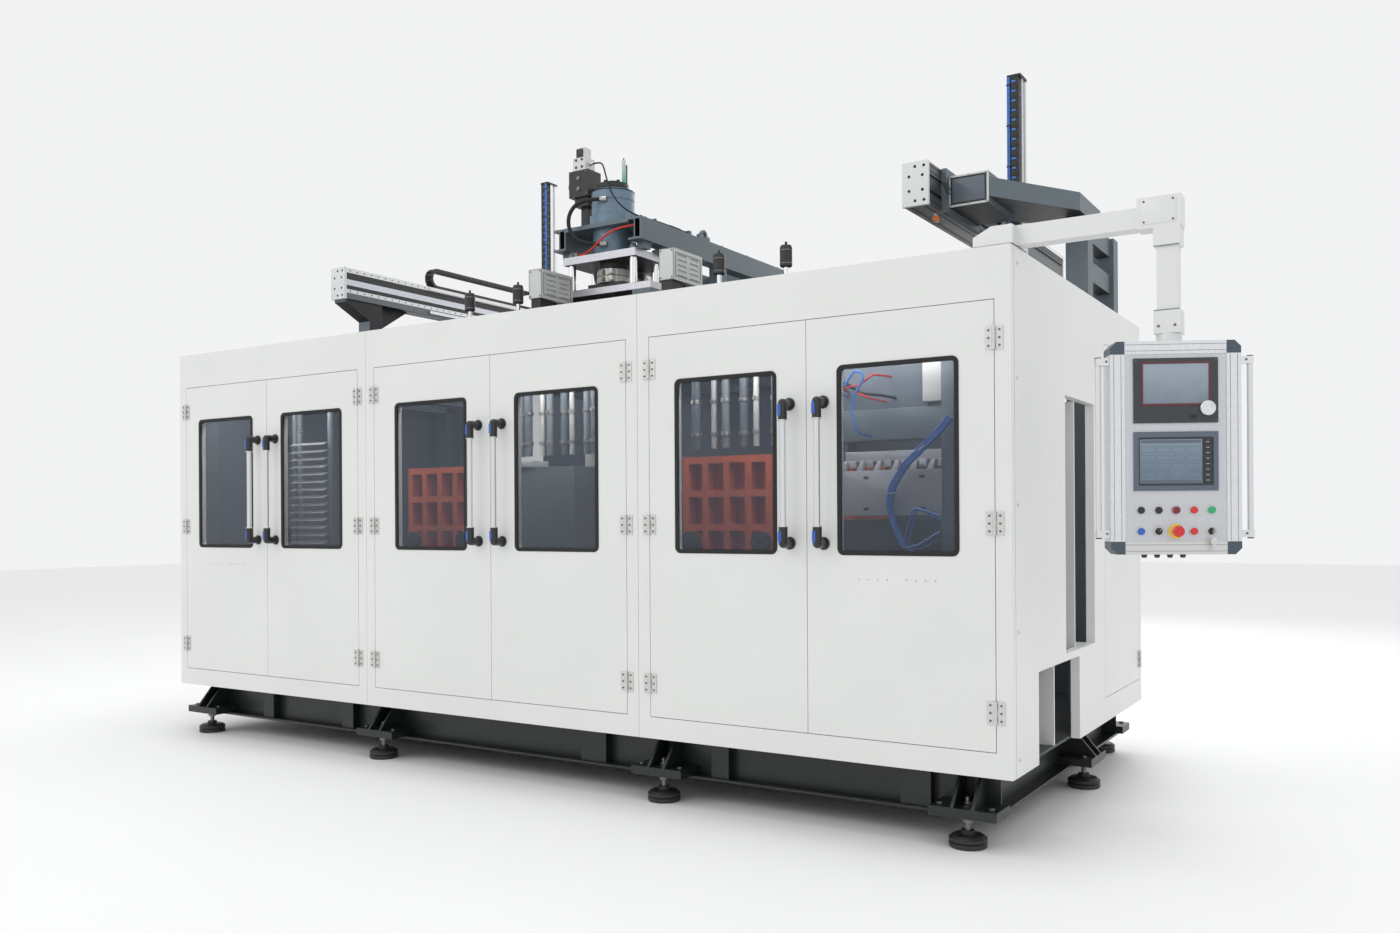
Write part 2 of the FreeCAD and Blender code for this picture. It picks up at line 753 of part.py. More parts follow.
def base(model):
    """The welded base: two long beams, six cross beams and a bracket at every foot."""
    inner = "(beam_setback + flange_wide)"
    front = long_beam(model, from_front("beam_setback"), from_right(f"{LENGTH} - beam_setback"),
                      f"{LENGTH} - 2 * beam_setback")
    rear = long_beam(model, from_front(f"enclosure_depth - {inner}"),
                     from_right(f"{LENGTH} - beam_setback"), f"{LENGTH} - 2 * beam_setback")
    beams = [front, rear]
    spots = [f"{LENGTH} - beam_setback", f"{inner}", "right_module + flange_wide / 2",
             "right_module + middle_module + flange_wide / 2", "tower_x + flange_wide / 2"]
    for spot in spots:
        beams.append(cross_beam(model, from_right(spot), from_front(inner),
                                f"enclosure_depth - 2 * {inner}"))
    plate = model.box(from_right(f"{LENGTH} - panel_thick - seam"),
                      from_front("panel_thick + seam"), "panel_bottom",
                      f"{LENGTH} - 2 * panel_thick - 2 * seam",
                      "enclosure_depth - 2 * panel_thick - 2 * seam", "floor_plate")
    brackets = [foot_bracket(model, *place) for place in foot_places()]
    model.node("base_frame", *beams, *stiffeners(model), *brackets, plate)


def feet(model):
    """Levelling feet: a stepped round pad, and a screw with its lock nut above it."""
    solids = []
    for x, y, _ in foot_places():
        pad = [("0", "0"), ("foot_pad - 4", "0"), ("foot_pad", "4"), ("foot_pad", "18"),
               ("foot_pad - 5", "22"), ("foot_pad", "26"), ("foot_pad", "38"),
               ("foot_pad - 14", "48"), ("foot_screw + 14", "50"), ("foot_screw + 14", "foot_height"),
               ("0", "foot_height")]
        solids.append(model.turned(x, y, "0", pad))
        screw = [("0", "foot_height"), ("foot_screw - 0.4", "foot_height"),
                 ("foot_screw - 0.4", "beam_bottom + flange_thick - 26"),
                 ("nut_size", "beam_bottom + flange_thick - 26"),
                 ("nut_size", "beam_bottom + flange_thick"),
                 ("foot_screw - 0.4", "beam_bottom + flange_thick"), ("foot_screw - 0.4", "screw_top"),
                 ("0", "screw_top")]
        solids.append(model.turned(x, y, "0", screw))
    model.node("levelling_feet", *solids)


def main_frame(model):
    """Columns, top beams and the pedestals that carry the head; square steel tube."""
    low = "(panel_bottom + floor_plate)"
    tall = f"top_beam - {low}"
    rear = "enclosure_depth - panel_thick - tube"
    stands = ["panel_thick", "right_module - tube / 2", "right_module + middle_module - tube / 2",
              f"{LENGTH} - panel_thick - tube"]
    parts = []
    for at, reach in enumerate(stands):
        for row, back in enumerate(("panel_thick", rear)):
            if at == 0 and row == 1:
                continue
            parts.append(model.box(from_right(f"{reach} + tube"), from_front(back), low, "tube",
                                   "tube", tall))
    run = f"{LENGTH} - 2 * panel_thick"
    parts.append(model.box(from_right(f"{LENGTH} - panel_thick"), from_front("panel_thick"),
                           "top_beam", run, "tube", "tube"))
    parts.append(model.box(from_right("right_module + middle_module + tube / 2"), from_front(rear),
                           "top_beam", "middle_module + tube", "tube", "tube"))
    sill = "takeout_sill - tube - 30"
    bays = (("right_module - tube / 2", "right_module - tube / 2 - 212"),
            (f"{LENGTH} - panel_thick - tube", "left_module - panel_thick - 1.5 * tube"))
    for reach, wide in bays:
        parts.append(model.box(from_right(reach), from_front(rear), sill, wide, "tube", "tube"))
    gap = f"enclosure_depth - 2 * panel_thick - 2 * tube"
    for reach in stands[1:]:
        parts.append(model.box(from_right(f"{reach} + tube"), from_front("panel_thick + tube"),
                               "top_beam", "tube", gap, "tube"))
    for way in (-1, 1):
        middle = f"tower_x + {way} * (platform_wide / 2 - tube / 2)"
        rail = model.box(from_right(f"{middle} + tube / 2"), from_front("panel_thick + tube"),
                         "top_beam", "tube", gap, "tube")
        riser = model.box(from_right(f"{middle} + tube / 2"),
                          from_front("platform_front"), "top_beam + tube", "tube",
                          "platform_deep", "platform_top - platform_thick - top_beam - tube")
        parts += [rail, riser]
    model.node("main_frame", *parts, *clamp_bed(model))


def gantry_supports(model):
    """What holds the robot beams: a ribbed tower and a bent arm right, gusseted posts left."""
    low = "panel_bottom + floor_plate"
    wide = "110"
    right = from_right("212")
    arm_low = "beam_underside + 55"
    tower = []
    for y in ("1600", "2160"):
        tower.append(model.box(right, from_front(y), low, wide, "100", f"{arm_low} - ({low})"))
    for lift in range(5):
        tower.append(model.box(f"{right} + 20", from_front("1700"), f"{arm_low} - 100 - {lift} * 200",
                               "70", "460", "rib_high"))
    bend = [("0", "0"), ("190", "0"), ("484", "500"), ("484", "920"), ("0", "380")]
    arm = model.plate("XY_Plane", from_right("right_beam - beam_wide - 25"), from_front("980"), arm_low,
                      [bend], "90")
    clamp = model.box(from_right("right_beam - beam_wide"), from_front("930"), "beam_underside - 5",
                      "25", "480", "beam_high + 10")
    block = model.box(from_right("right_beam - beam_wide - 25"), from_front("975"),
                      f"{arm_low} - 30", "188", "400", "150")
    pieces = [model.fuse(arm, block), clamp] + tower
    top = "top_beam + tube"
    for beam, starts in (("left_beam", ("970", "2030")), ("right_beam", ("2030",))):
        for start in starts:
            pieces.append(model.box(from_right(f"{beam} - 8"), from_front(start), top,
                                    "beam_wide - 16", "110", f"beam_underside - ({top})"))
    prop = [("0", "0"), ("0", "-20"), ("200", "-120"), ("200", "0")]
    pieces.append(model.plate("YZ_Plane", from_right("left_beam - 8"), from_front("beam_front + 20"),
                              "beam_underside", [prop], "beam_wide - 16"))
    gusset = [("0", "0"), ("0", "-150"), ("40", "-150"), ("280", "0")]
    pieces.append(model.plate("YZ_Plane", from_right("left_beam - 40"), from_front("1080"),
                              "beam_underside", [gusset], "14"))
    for reach in ("left_beam - 8", "right_beam - 8"):
        pieces.append(model.box(from_right(reach), from_front("panel_thick + tube"),
                                "top_beam", "beam_wide - 16",
                                "enclosure_depth - 2 * panel_thick - 2 * tube", "tube"))
        pieces.append(model.box(from_right(reach), from_front("2068"), low, "beam_wide - 16", "80",
                                f"top_beam - ({low})"))
    model.node("gantry_supports", *pieces)


def gantry_beams(model):
    """Two slotted aluminium beams along Y with guide rails on their right faces."""
    solids = []
    for beam in ("right_beam", "left_beam"):
        x = from_right(beam)
        start = from_front("beam_front + end_plate")
        slot = "slot_size"
        high = "beam_high"
        section = [("0", "0"), ("beam_wide", "0"), ("beam_wide", f"{high} * 0.28"),
                   (f"beam_wide - {slot}", f"{high} * 0.28"), (f"beam_wide - {slot}", f"{high} * 0.36"),
                   ("beam_wide", f"{high} * 0.36"), ("beam_wide", f"{high} * 0.64"),
                   (f"beam_wide - {slot}", f"{high} * 0.64"), (f"beam_wide - {slot}", f"{high} * 0.72"),
                   ("beam_wide", f"{high} * 0.72"), ("beam_wide", high), ("0", high),
                   ("0", f"{high} * 0.72"), (slot, f"{high} * 0.72"), (slot, f"{high} * 0.64"),
                   ("0", f"{high} * 0.64"), ("0", f"{high} * 0.36"), (slot, f"{high} * 0.36"),
                   (slot, f"{high} * 0.28"), ("0", f"{high} * 0.28")]
        solids.append(model.plate("XZ_Plane", x, start, "beam_underside", [section],
                                  "beam_length - 2 * end_plate", reverse=True))
        for lift in ("8", "beam_high - 8 - rail_wide"):
            solids.append(model.box(f"{x} + beam_wide", from_front("1500"),
                                    f"beam_underside + {lift}", "rail_high",
                                    "beam_front + beam_length - 1520", "rail_wide"))
        for spot in ("beam_front", "beam_front + beam_length - end_plate"):
            solids.append(bolted_end(model, x, spot))
    model.node("gantry_beams", *solids)


def bolted_end(model, x, spot):
    """An end plate with the counterbores of its eight screws."""
    slab = model.box(f"{x} - end_plate_lip", from_front(spot), "beam_underside - end_plate_lip",
                     "beam_wide + 2 * end_plate_lip", "end_plate", "beam_high + 2 * end_plate_lip")
    holes = []
    for across, up in ((0.5, 0.1), (0.86, 0.1), (0.26, 0.34), (0.8, 0.34), (0.26, 0.68), (0.8, 0.68),
                       (0.5, 0.9), (0.86, 0.9)):
        holes.append(model.rod("Y", f"{x} + beam_wide * {across}", from_front(f"{spot} - 1"),
                               f"beam_underside + beam_high * {up}", "5", "9"))
    return model.cut(slab, *holes)


def robot(model, side):
    """A take-out robot: the carriage that rides along its beam and the mast that it lifts."""
    beam = f"{side}_beam"
    mast_y = f"{side}_mast_y"
    rail_face = f"{from_right(beam)} + beam_wide + rail_high"
    plate_x = f"{rail_face} + slide_gap"
    mid_y = from_front(mast_y)
    plate = model.box(plate_x, f"{mid_y} - carriage_wide / 2", "beam_underside - 25",
                      "carriage_plate", "carriage_wide", "carriage_high")
    cheek = model.box(f"{plate_x} + carriage_plate", f"{mid_y} + mast_deep / 2 + slide_gap",
                      "beam_underside - 25", "mast_wide", "22", "carriage_high")
    motor = model.box(f"{plate_x} + carriage_plate", f"{mid_y} + mast_deep / 2 + 22 + slide_gap",
                      "beam_underside + 60", "60", "48", "120")
    model.node(f"{side}_robot_carriage", model.fuse(plate, cheek), motor)
    mast_x = f"{plate_x} + carriage_plate + slide_gap"
    foot = f"{side}_mast_foot"
    column = model.box(mast_x, f"{mid_y} - mast_deep / 2", f"{foot} + 14", "mast_wide",
                       "mast_deep", "mast_length - 28")
    groove = model.box(f"{mast_x} + mast_wide - 8", f"{mid_y} - 10", f"{foot} + 14", "9", "20",
                       "mast_length - 28")
    cap = model.box(f"{mast_x} - 0", f"{mid_y} - mast_deep / 2 - 36", f"{foot} + mast_length - 14",
                    "mast_wide + 4", "mast_deep + 36", "14")
    flange = model.box(mast_x, f"{mid_y} - mast_deep / 2 - 20", foot, "mast_wide + 20",
                       "mast_deep + 20", "14")
    chain = model.box(f"{mast_x} + 4", f"{mid_y} - mast_deep / 2 - 34", f"{foot} + 380",
                      "58", "34", "mast_length - 394")
    model.node(f"{side}_robot_mast", model.cut(column, groove), cap, flange, chain)


def cable_chain(model):
    """The left robot's energy chain: a lower run on the beam, a bend and an upper run."""
    x = f"{from_right('left_beam')} + 36"
    top = "beam_underside + beam_high"
    link = "28"
    low = model.box(x, from_front("1620"), top, "60", "1180", link)
    high = model.box(x, from_front("1620"), f"{top} + 122", "60", "1010", link)
    rim = model.rod("X", x, from_front("1620"), f"{top} + 75", "75", "60")
    hub = model.rod("X", f"{x} - 1", from_front("1620"), f"{top} + 75", "75 - 28", "62")
    rest = model.box(f"{x} - 1", from_front("1620"), top, "62", "100", "160")
    bend = model.cut(rim, hub, rest)
    model.node("cable_chain", model.fuse(low, bend, high))


def head_tower(model):
    """The plates and chrome columns that hold the die head over the moulds."""
    x = from_right("tower_x")
    y = from_front("tower_y")
    platform = model.box(f"{x} - platform_wide / 2", from_front("platform_front"),
                         "platform_top - platform_thick", "platform_wide", "platform_deep",
                         "platform_thick")
    mouth = model.rod("Z", x, y, "platform_top - platform_thick - 1", "die_round - 20",
                      "platform_thick + 2")
    plate = model.box(f"{x} - head_plate_wide / 2", f"{y} - head_plate_deep / 3", "head_plate_bottom",
                      "head_plate_wide", "head_plate_deep", "head_plate_thick")
    gland = model.box(f"{x} - 182", f"{y} - 130", "head_plate_bottom + head_plate_thick", "25", "24",
                      "24")
    solids = [model.cut(platform, mouth), plate, gland]
    for across in (-1, 1):
        for back in (-1, 1):
            spot_x = f"{x} + {across} * column_apart_x / 2"
            spot_y = f"{y} + {back} * column_apart_y / 2"
            shaft = [("0", "0"), ("column_round + 6", "0"), ("column_round + 6", "8"),
                     ("column_round", "10"), ("column_round", "head_plate_bottom - platform_top"),
                     ("0", "head_plate_bottom - platform_top")]
            solids.append(model.turned(spot_x, spot_y, "platform_top", shaft))
            solids.append(model.turned(spot_x, spot_y, "head_plate_bottom + head_plate_thick",
                                       [("0", "0"), ("column_round", "0"), ("column_round", "20"),
                                        ("column_round - 3", "23"), ("0", "23")]))
    model.node("head_tower", *solids)


def die_head(model):
    """The extrusion head between the plates: a square block under a round barrel."""
    x = from_right("tower_x")
    y = from_front("tower_y")
    block = model.box(f"{x} - 120", f"{y} - 80", "platform_top", "240", "165", "46")
    drum = model.turned(x, y, "platform_top + 46",
                        [("0", "0"), ("die_round", "0"), ("die_round", "80"), ("die_round - 14", "86"),
                         ("die_round - 14", "head_plate_bottom - platform_top - 46"),
                         ("0", "head_plate_bottom - platform_top - 46")])
    nozzle = model.turned(x, y, "platform_top - platform_thick - 150",
                          [("0", "0"), ("40", "0"), ("52", "60"), ("52", "platform_thick + 150"),
                           ("0", "platform_thick + 150")])
    model.node("die_head", block, drum, nozzle)


NECK = "yoke_top - 22 - head_plate_bottom - head_plate_thick"
HOSE_WAY = 210


def elbow(model, lift):
    """A hose fitting on the head's front, turned towards the hose that it carries."""
    return model.turned(f"{from_right('tower_x')} + 23", f"{from_front('tower_y')} - 128",
                        f"head_plate_bottom + head_plate_thick + {lift}",
                        [("0", "-20"), ("16", "-20"), ("16", "6"), ("14", "8"), ("14", "16"),
                         ("0", "16")],
                        tilt=FreeCAD.Rotation(V(0, 0, 1), V(*heading(HOSE_WAY), 0)))


def heading(degrees):
    """The level direction that lies so many degrees round from +X."""
    way = FreeCAD.Rotation(V(0, 0, 1), degrees).multVec(V(1, 0, 0))
    return way.x, way.y


def head_cylinder(model):
    """The parison cylinder on its flange, its top plate and the servo valve beside it."""
    x = from_right("tower_x")
    y = from_front("tower_y")
    low = "cylinder_bottom"
    tall = "(cylinder_top - cylinder_bottom)"
    barrel = model.turned(x, y, low,
                          [("0", "-21"), ("cylinder_round + 14", "-21"), ("cylinder_round + 14", "40"),
                           ("cylinder_round + 3", "44"), ("cylinder_round + 3", "118"),
                           ("cylinder_round", "121"), ("cylinder_round", "126"),
                           ("cylinder_round + 3", "129"), ("cylinder_round + 3", f"{tall} - 6"),
                           ("cylinder_round - 4", tall), ("0", tall)])
    body = model.turned(x, y, "head_plate_bottom + head_plate_thick",
                        [("0", "0"), ("cylinder_round - 3", "0"), ("cylinder_round - 3", NECK),
                         ("0", NECK)])
    boss = model.box(f"{x} + 60", f"{y} - 55", f"{low} - 21", "94", "110", "63")
    barrel = model.fuse(barrel, boss, elbow(model, "298"))
    body = model.fuse(body, elbow(model, "49"))
    lid = model.turned(x, y, "cylinder_top",
                       [("0", "0"), ("76", "0"), ("76", "14"), ("88", "14"), ("88", "40"),
                        ("56", "40"), ("56", "52"), ("0", "52")])
    bolts = []
    for across, back in ((-62, -36), (0, -72), (62, -36), (62, 36), (0, 72), (-62, 36)):
        bolts.append(model.rod("Z", f"{x} + {across}", f"{y} + {back}", "cylinder_top + 40", "10", "12"))
    sensor = model.rod("Z", f"{x} + 71", f"{y} + 6", "cylinder_top + 40", "11", "130")
    guard = model.box(f"{x} + 26", f"{y} + 52", "cylinder_top + 40", "26", "14", "122")
    model.node("head_cylinder", barrel, body, lid, sensor, guard, *bolts)


def servo_valve(model):
    """The valve block beside the head cylinder, on its post, with the servo unit on top."""
    x = f"{from_right('tower_x')} - 262"
    y = from_front("tower_y")
    block = model.box(x, f"{y} - 70", "cylinder_top - 10", "137", "120", "150")
    port = model.rod("X", f"{x} + 137", f"{y} - 10", "cylinder_top + 27", "12", "36.5")
    lower = model.box(f"{x} + 26", f"{y} - 50", "cylinder_top - 60", "96", "80", "50")
    post = model.box(f"{x} + 48", f"{y} - 20", "yoke_top", "50", "40", "cylinder_top - 60 - yoke_top")
    nose = model.rod("X", f"{x} - 24", f"{y} - 10", "cylinder_top + 65", "34", "24")
    servo = model.box(f"{x} + 24", f"{y} - 62", "cylinder_top + 140", "86", "92", "75")
    crown = model.box(f"{x} + 40", f"{y} - 50", "cylinder_top + 215", "56", "62", "60")
    model.node("servo_valve", model.fuse(block, nose, port, lower, post), servo, crown)


def yoke_beams(model):
    """Two boxed beams that hang the head cylinder and run back over the extruder."""
    x = from_right("tower_x")
    y = from_front("tower_y - 160")
    pieces = []
    high = "(yoke_top - yoke_bottom)"
    for way in (-1, 1):
        near = f"{x} + {way} * yoke_apart / 2 - yoke_wide / 2"
        block = model.box(near, y, "yoke_bottom", "yoke_wide", "yoke_length", high)
        left = model.box(f"{near} - 1", f"{y} - 1", "yoke_bottom + 12", "yoke_wide / 2 - 3", "90",
                         f"{high} - 24")
        right = model.box(f"{near} + yoke_wide / 2 + 4", f"{y} - 1", "yoke_bottom + 12",
                          "yoke_wide / 2 - 12", "90", f"{high} - 24")
        pieces.append(model.cut(block, left, right))
    inner = f"{x} - yoke_apart / 2 + yoke_wide / 2"
    span = "yoke_apart - yoke_wide"
    deck = model.box(inner, y, "yoke_top - 22", span, "380", "22")
    rear = model.box(inner, f"{y} + yoke_length - 120", "yoke_bottom", span, "100", high)
    gland = model.box(f"{x} + 270", from_front("tower_y + 330"), "yoke_top", "26", "26", "22")
    stud = model.rod("Z", f"{x} + 243", from_front("tower_y + 60"), "yoke_top", "11", "36")
    pieces += [deck, rear, gland, stud]
    for way, back in ((1, "640"), (-1, "640")):
        near = f"{x} + {way} * yoke_apart / 2"
        ear = model.fuse(model.box(f"{near} - 9", f"{y} + {back}", "yoke_top", "18", "120", "38"),
                         model.rod("X", f"{near} - 9", f"{y} + {back} + 60", "yoke_top + 38", "34", "18"))
        pieces.append(model.cut(ear, model.rod("X", f"{near} - 10", f"{y} + {back} + 60",
                                               "yoke_top + 42", "16", "20")))
    for way in (-1, 1):
        pieces.append(model.box(f"{x} + {way} * yoke_apart / 2 - 38", f"{y} + 340", "yoke_top", "44",
                                "110", "26"))
    for way in (-1, 1):
        for back in ("60", "230"):
            spot = f"{x} + {way} * yoke_apart / 2 - 25"
            pieces.append(model.box(spot, f"{y} + {back}", "head_plate_bottom + head_plate_thick",
                                    "50", "60", "yoke_bottom - head_plate_bottom - head_plate_thick"))
    for way in (-1, 1):
        spot = f"{x} + {way} * yoke_apart / 2 - 35"
        pieces.append(model.box(spot, f"{y} + 820", "platform_top", "70", "90",
                                "yoke_bottom - platform_top"))
    model.node("yoke_beams", *pieces)


def extruder(model):
    """The plasticising screw's barrel behind the head, with gearbox, motor and feed throat."""
    x = from_right("tower_x")
    z = "(platform_top + 80)"
    start = from_front("tower_y + die_round")
    barrel = model.rod("Y", x, f"{start} + 60", z, "barrel_round", "1060")
    drum = model.rod("Z", x, from_front("tower_y"), "platform_top", "die_round + 0.2", "200")
    neck = model.cut(model.rod("Y", x, f"{start} - 12", z, "38", "72"), drum)
    bands = []
    for step in range(4):
        band = model.rod("Y", x, f"{start} + 110 + {step} * 190", z, "barrel_round + 14", "150")
        hole = model.rod("Y", x, f"{start} + 109 + {step} * 190", z, "barrel_round + 0.2", "152")
        bands.append(model.cut(band, hole))
    gear = model.box(f"{x} - 190", f"{start} + 1120", f"{z} - 150", "380", "300", "290")
    motor = model.rod("Y", x, f"{start} + 1420", z, "130", "360")
    fan = model.rod("Y", x, f"{start} + 1780", z, "118", "60")
    skin = model.rod("Y", x, f"{start} + 60", z, "barrel_round", "1060")
    throat = model.box(f"{x} - 70", f"{start} + 880", f"{z} + 30", "140", "140", "90")
    cover = model.box(f"{x} - 90", f"{start} + 860", f"{z} + 120", "180", "180", "18")
    saddle = model.box(f"{x} - 60", f"{start} + 452", "platform_top", "120", "36", f"{z} - platform_top")
    seat = model.cut(saddle, model.rod("Y", x, f"{start} + 440", z, "barrel_round + 0.2", "60"))
    stand = model.box(f"{x} - 150", from_front("enclosure_depth - panel_thick - tube + 10"),
                      "top_beam + tube", "300", "tube - 20", f"{PANEL_TOP} + 10 - top_beam - tube")
    tray = model.box(f"{x} - 230", from_front("enclosure_depth - 200"), f"{PANEL_TOP} + 10", "460",
                     "390", "20")
    legs = [model.box(f"{x} - 150", from_front(f"enclosure_depth + {back}"), f"{PANEL_TOP} + 30",
                      "300", "60", f"{z} - 150 - ({PANEL_TOP}) - 30") for back in ("-170", "40")]
    model.node("extruder", model.fuse(barrel, model.cut(throat, skin)), neck, gear, motor, fan, cover,
               seat, stand, tray, *legs, *bands)


def junction_boxes(model):
    """Two grey terminal covers on dark bases, one each side of the head."""
    solids = []
    for reach, back in (("1922", "450"), ("2777", "450")):
        x = from_right(reach)
        cover = model.box(x, from_front(back), "2494", "86", "270", "158")
        slots = []
        for row in range(5):
            for side in (0, 1):
                slots.append(model.box(f"{x} + 80", from_front(f"{back} + 40 + {side} * 110"),
                                       f"2512 + {row} * 26", "10", "80", "11"))
        stand = model.box(f"{x} + 8", from_front(f"{back} + 8"), "top_beam + tube", "66", "100",
                          "2494 - top_beam - tube")
        rail = model.box(f"{x} + 8", from_front("panel_thick + tube"), "top_beam", "66",
                         f"{back} + 108 - panel_thick - tube", "tube")
        solids += [model.cut(cover, *slots), stand, rail]
    model.node("junction_boxes", *solids)


def guide_cylinders(model):
    """Four black cylinders on chrome rods, standing on a bar behind the front top beam."""
    solids = []
    low = "top_beam + tube"
    for reach, lift in (("1201", "0"), ("1569", "8"), ("2856", "4"), ("3213", "0")):
        x = from_right(reach)
        y = from_front("450")
        solids.append(model.turned(x, y, low,
                                   [("0", "0"), ("20", "0"), ("20", "12"), ("11", "14"),
                                    ("11", f"2474 + {lift} - top_beam - tube"),
                                    ("0", f"2474 + {lift} - top_beam - tube")]))
        solids.append(model.turned(x, y, f"2474 + {lift}",
                                   [("0", "0"), ("25", "0"), ("29", "4"), ("29", "90"), ("25", "100"),
                                    ("6", "102"), ("6", "118"), ("0", "118")]))
        if reach != "2856":
            solids.append(model.box(f"{x} - 35", from_front("panel_thick + tube"), "top_beam", "70",
                                    "450 + 35 - panel_thick - tube", "tube"))
    model.node("guide_cylinders", *solids)


def pendant_arm(model):
    """A fixed pivot box, and the swinging arm with its elbow, drop tube and coupling."""
    pivot_x = from_right("pivot_inset")
    y = from_front("arm_y")
    half = "arm_tube / 2"
    foot = model.box(from_right("158"), from_front("30"), PANEL_TOP, "156", "180", "8")
    post = model.rod("Z", pivot_x, y, f"{PANEL_TOP} + 8", "20", "56")
    model.node("arm_pivot", model.fuse(foot, post))
    low = f"{PANEL_TOP} + 8 + button_gap"
    side = [("0", "0"), ("154", "0"), ("154", "72"), ("72", "72"), ("0", "36")]
    housing = model.plate("XZ_Plane", from_right("156"), from_front("26"), low, [side], "180",
                          reverse=True)
    bore = model.rod("Z", pivot_x, y, f"{low} - 1", "20 + hinge_run", "61")
    shell = model.cut(housing, bore)
    tube = model.box(from_right("2"), f"{y} - {half}", "arm_bottom + 7", "arm_length + 2", "arm_tube",
                     "arm_tube")
    elbow = model.box(from_right("-arm_length"), f"{y} - {half} - 6", "arm_bottom + 1", "150",
                      "arm_tube + 12", "113")
    collar = model.box(from_right("-drop_x + 45"), f"{y} - {half} - 6", "arm_bottom - 66", "90",
                       "arm_tube + 12", "67")
    drop = model.box(from_right("-drop_x + 35"), f"{y} - {half} + 1", "drop_bottom + 96", "70",
                     "arm_tube - 2", "arm_bottom - 66 - drop_bottom - 96")
    cap = model.box(from_right("-drop_x + 45"), f"{y} - {half} - 6", "drop_bottom + 12 + button_gap",
                    "90", "arm_tube + 12", "84 - button_gap")
    pin = model.rod("Z", from_right("-drop_x"), y, "drop_bottom - 20", "18", "60")
    model.node("swing_arm", shell, tube, model.fuse(elbow, collar), drop, model.fuse(cap, pin))


PENDANT_TURN = 27.5


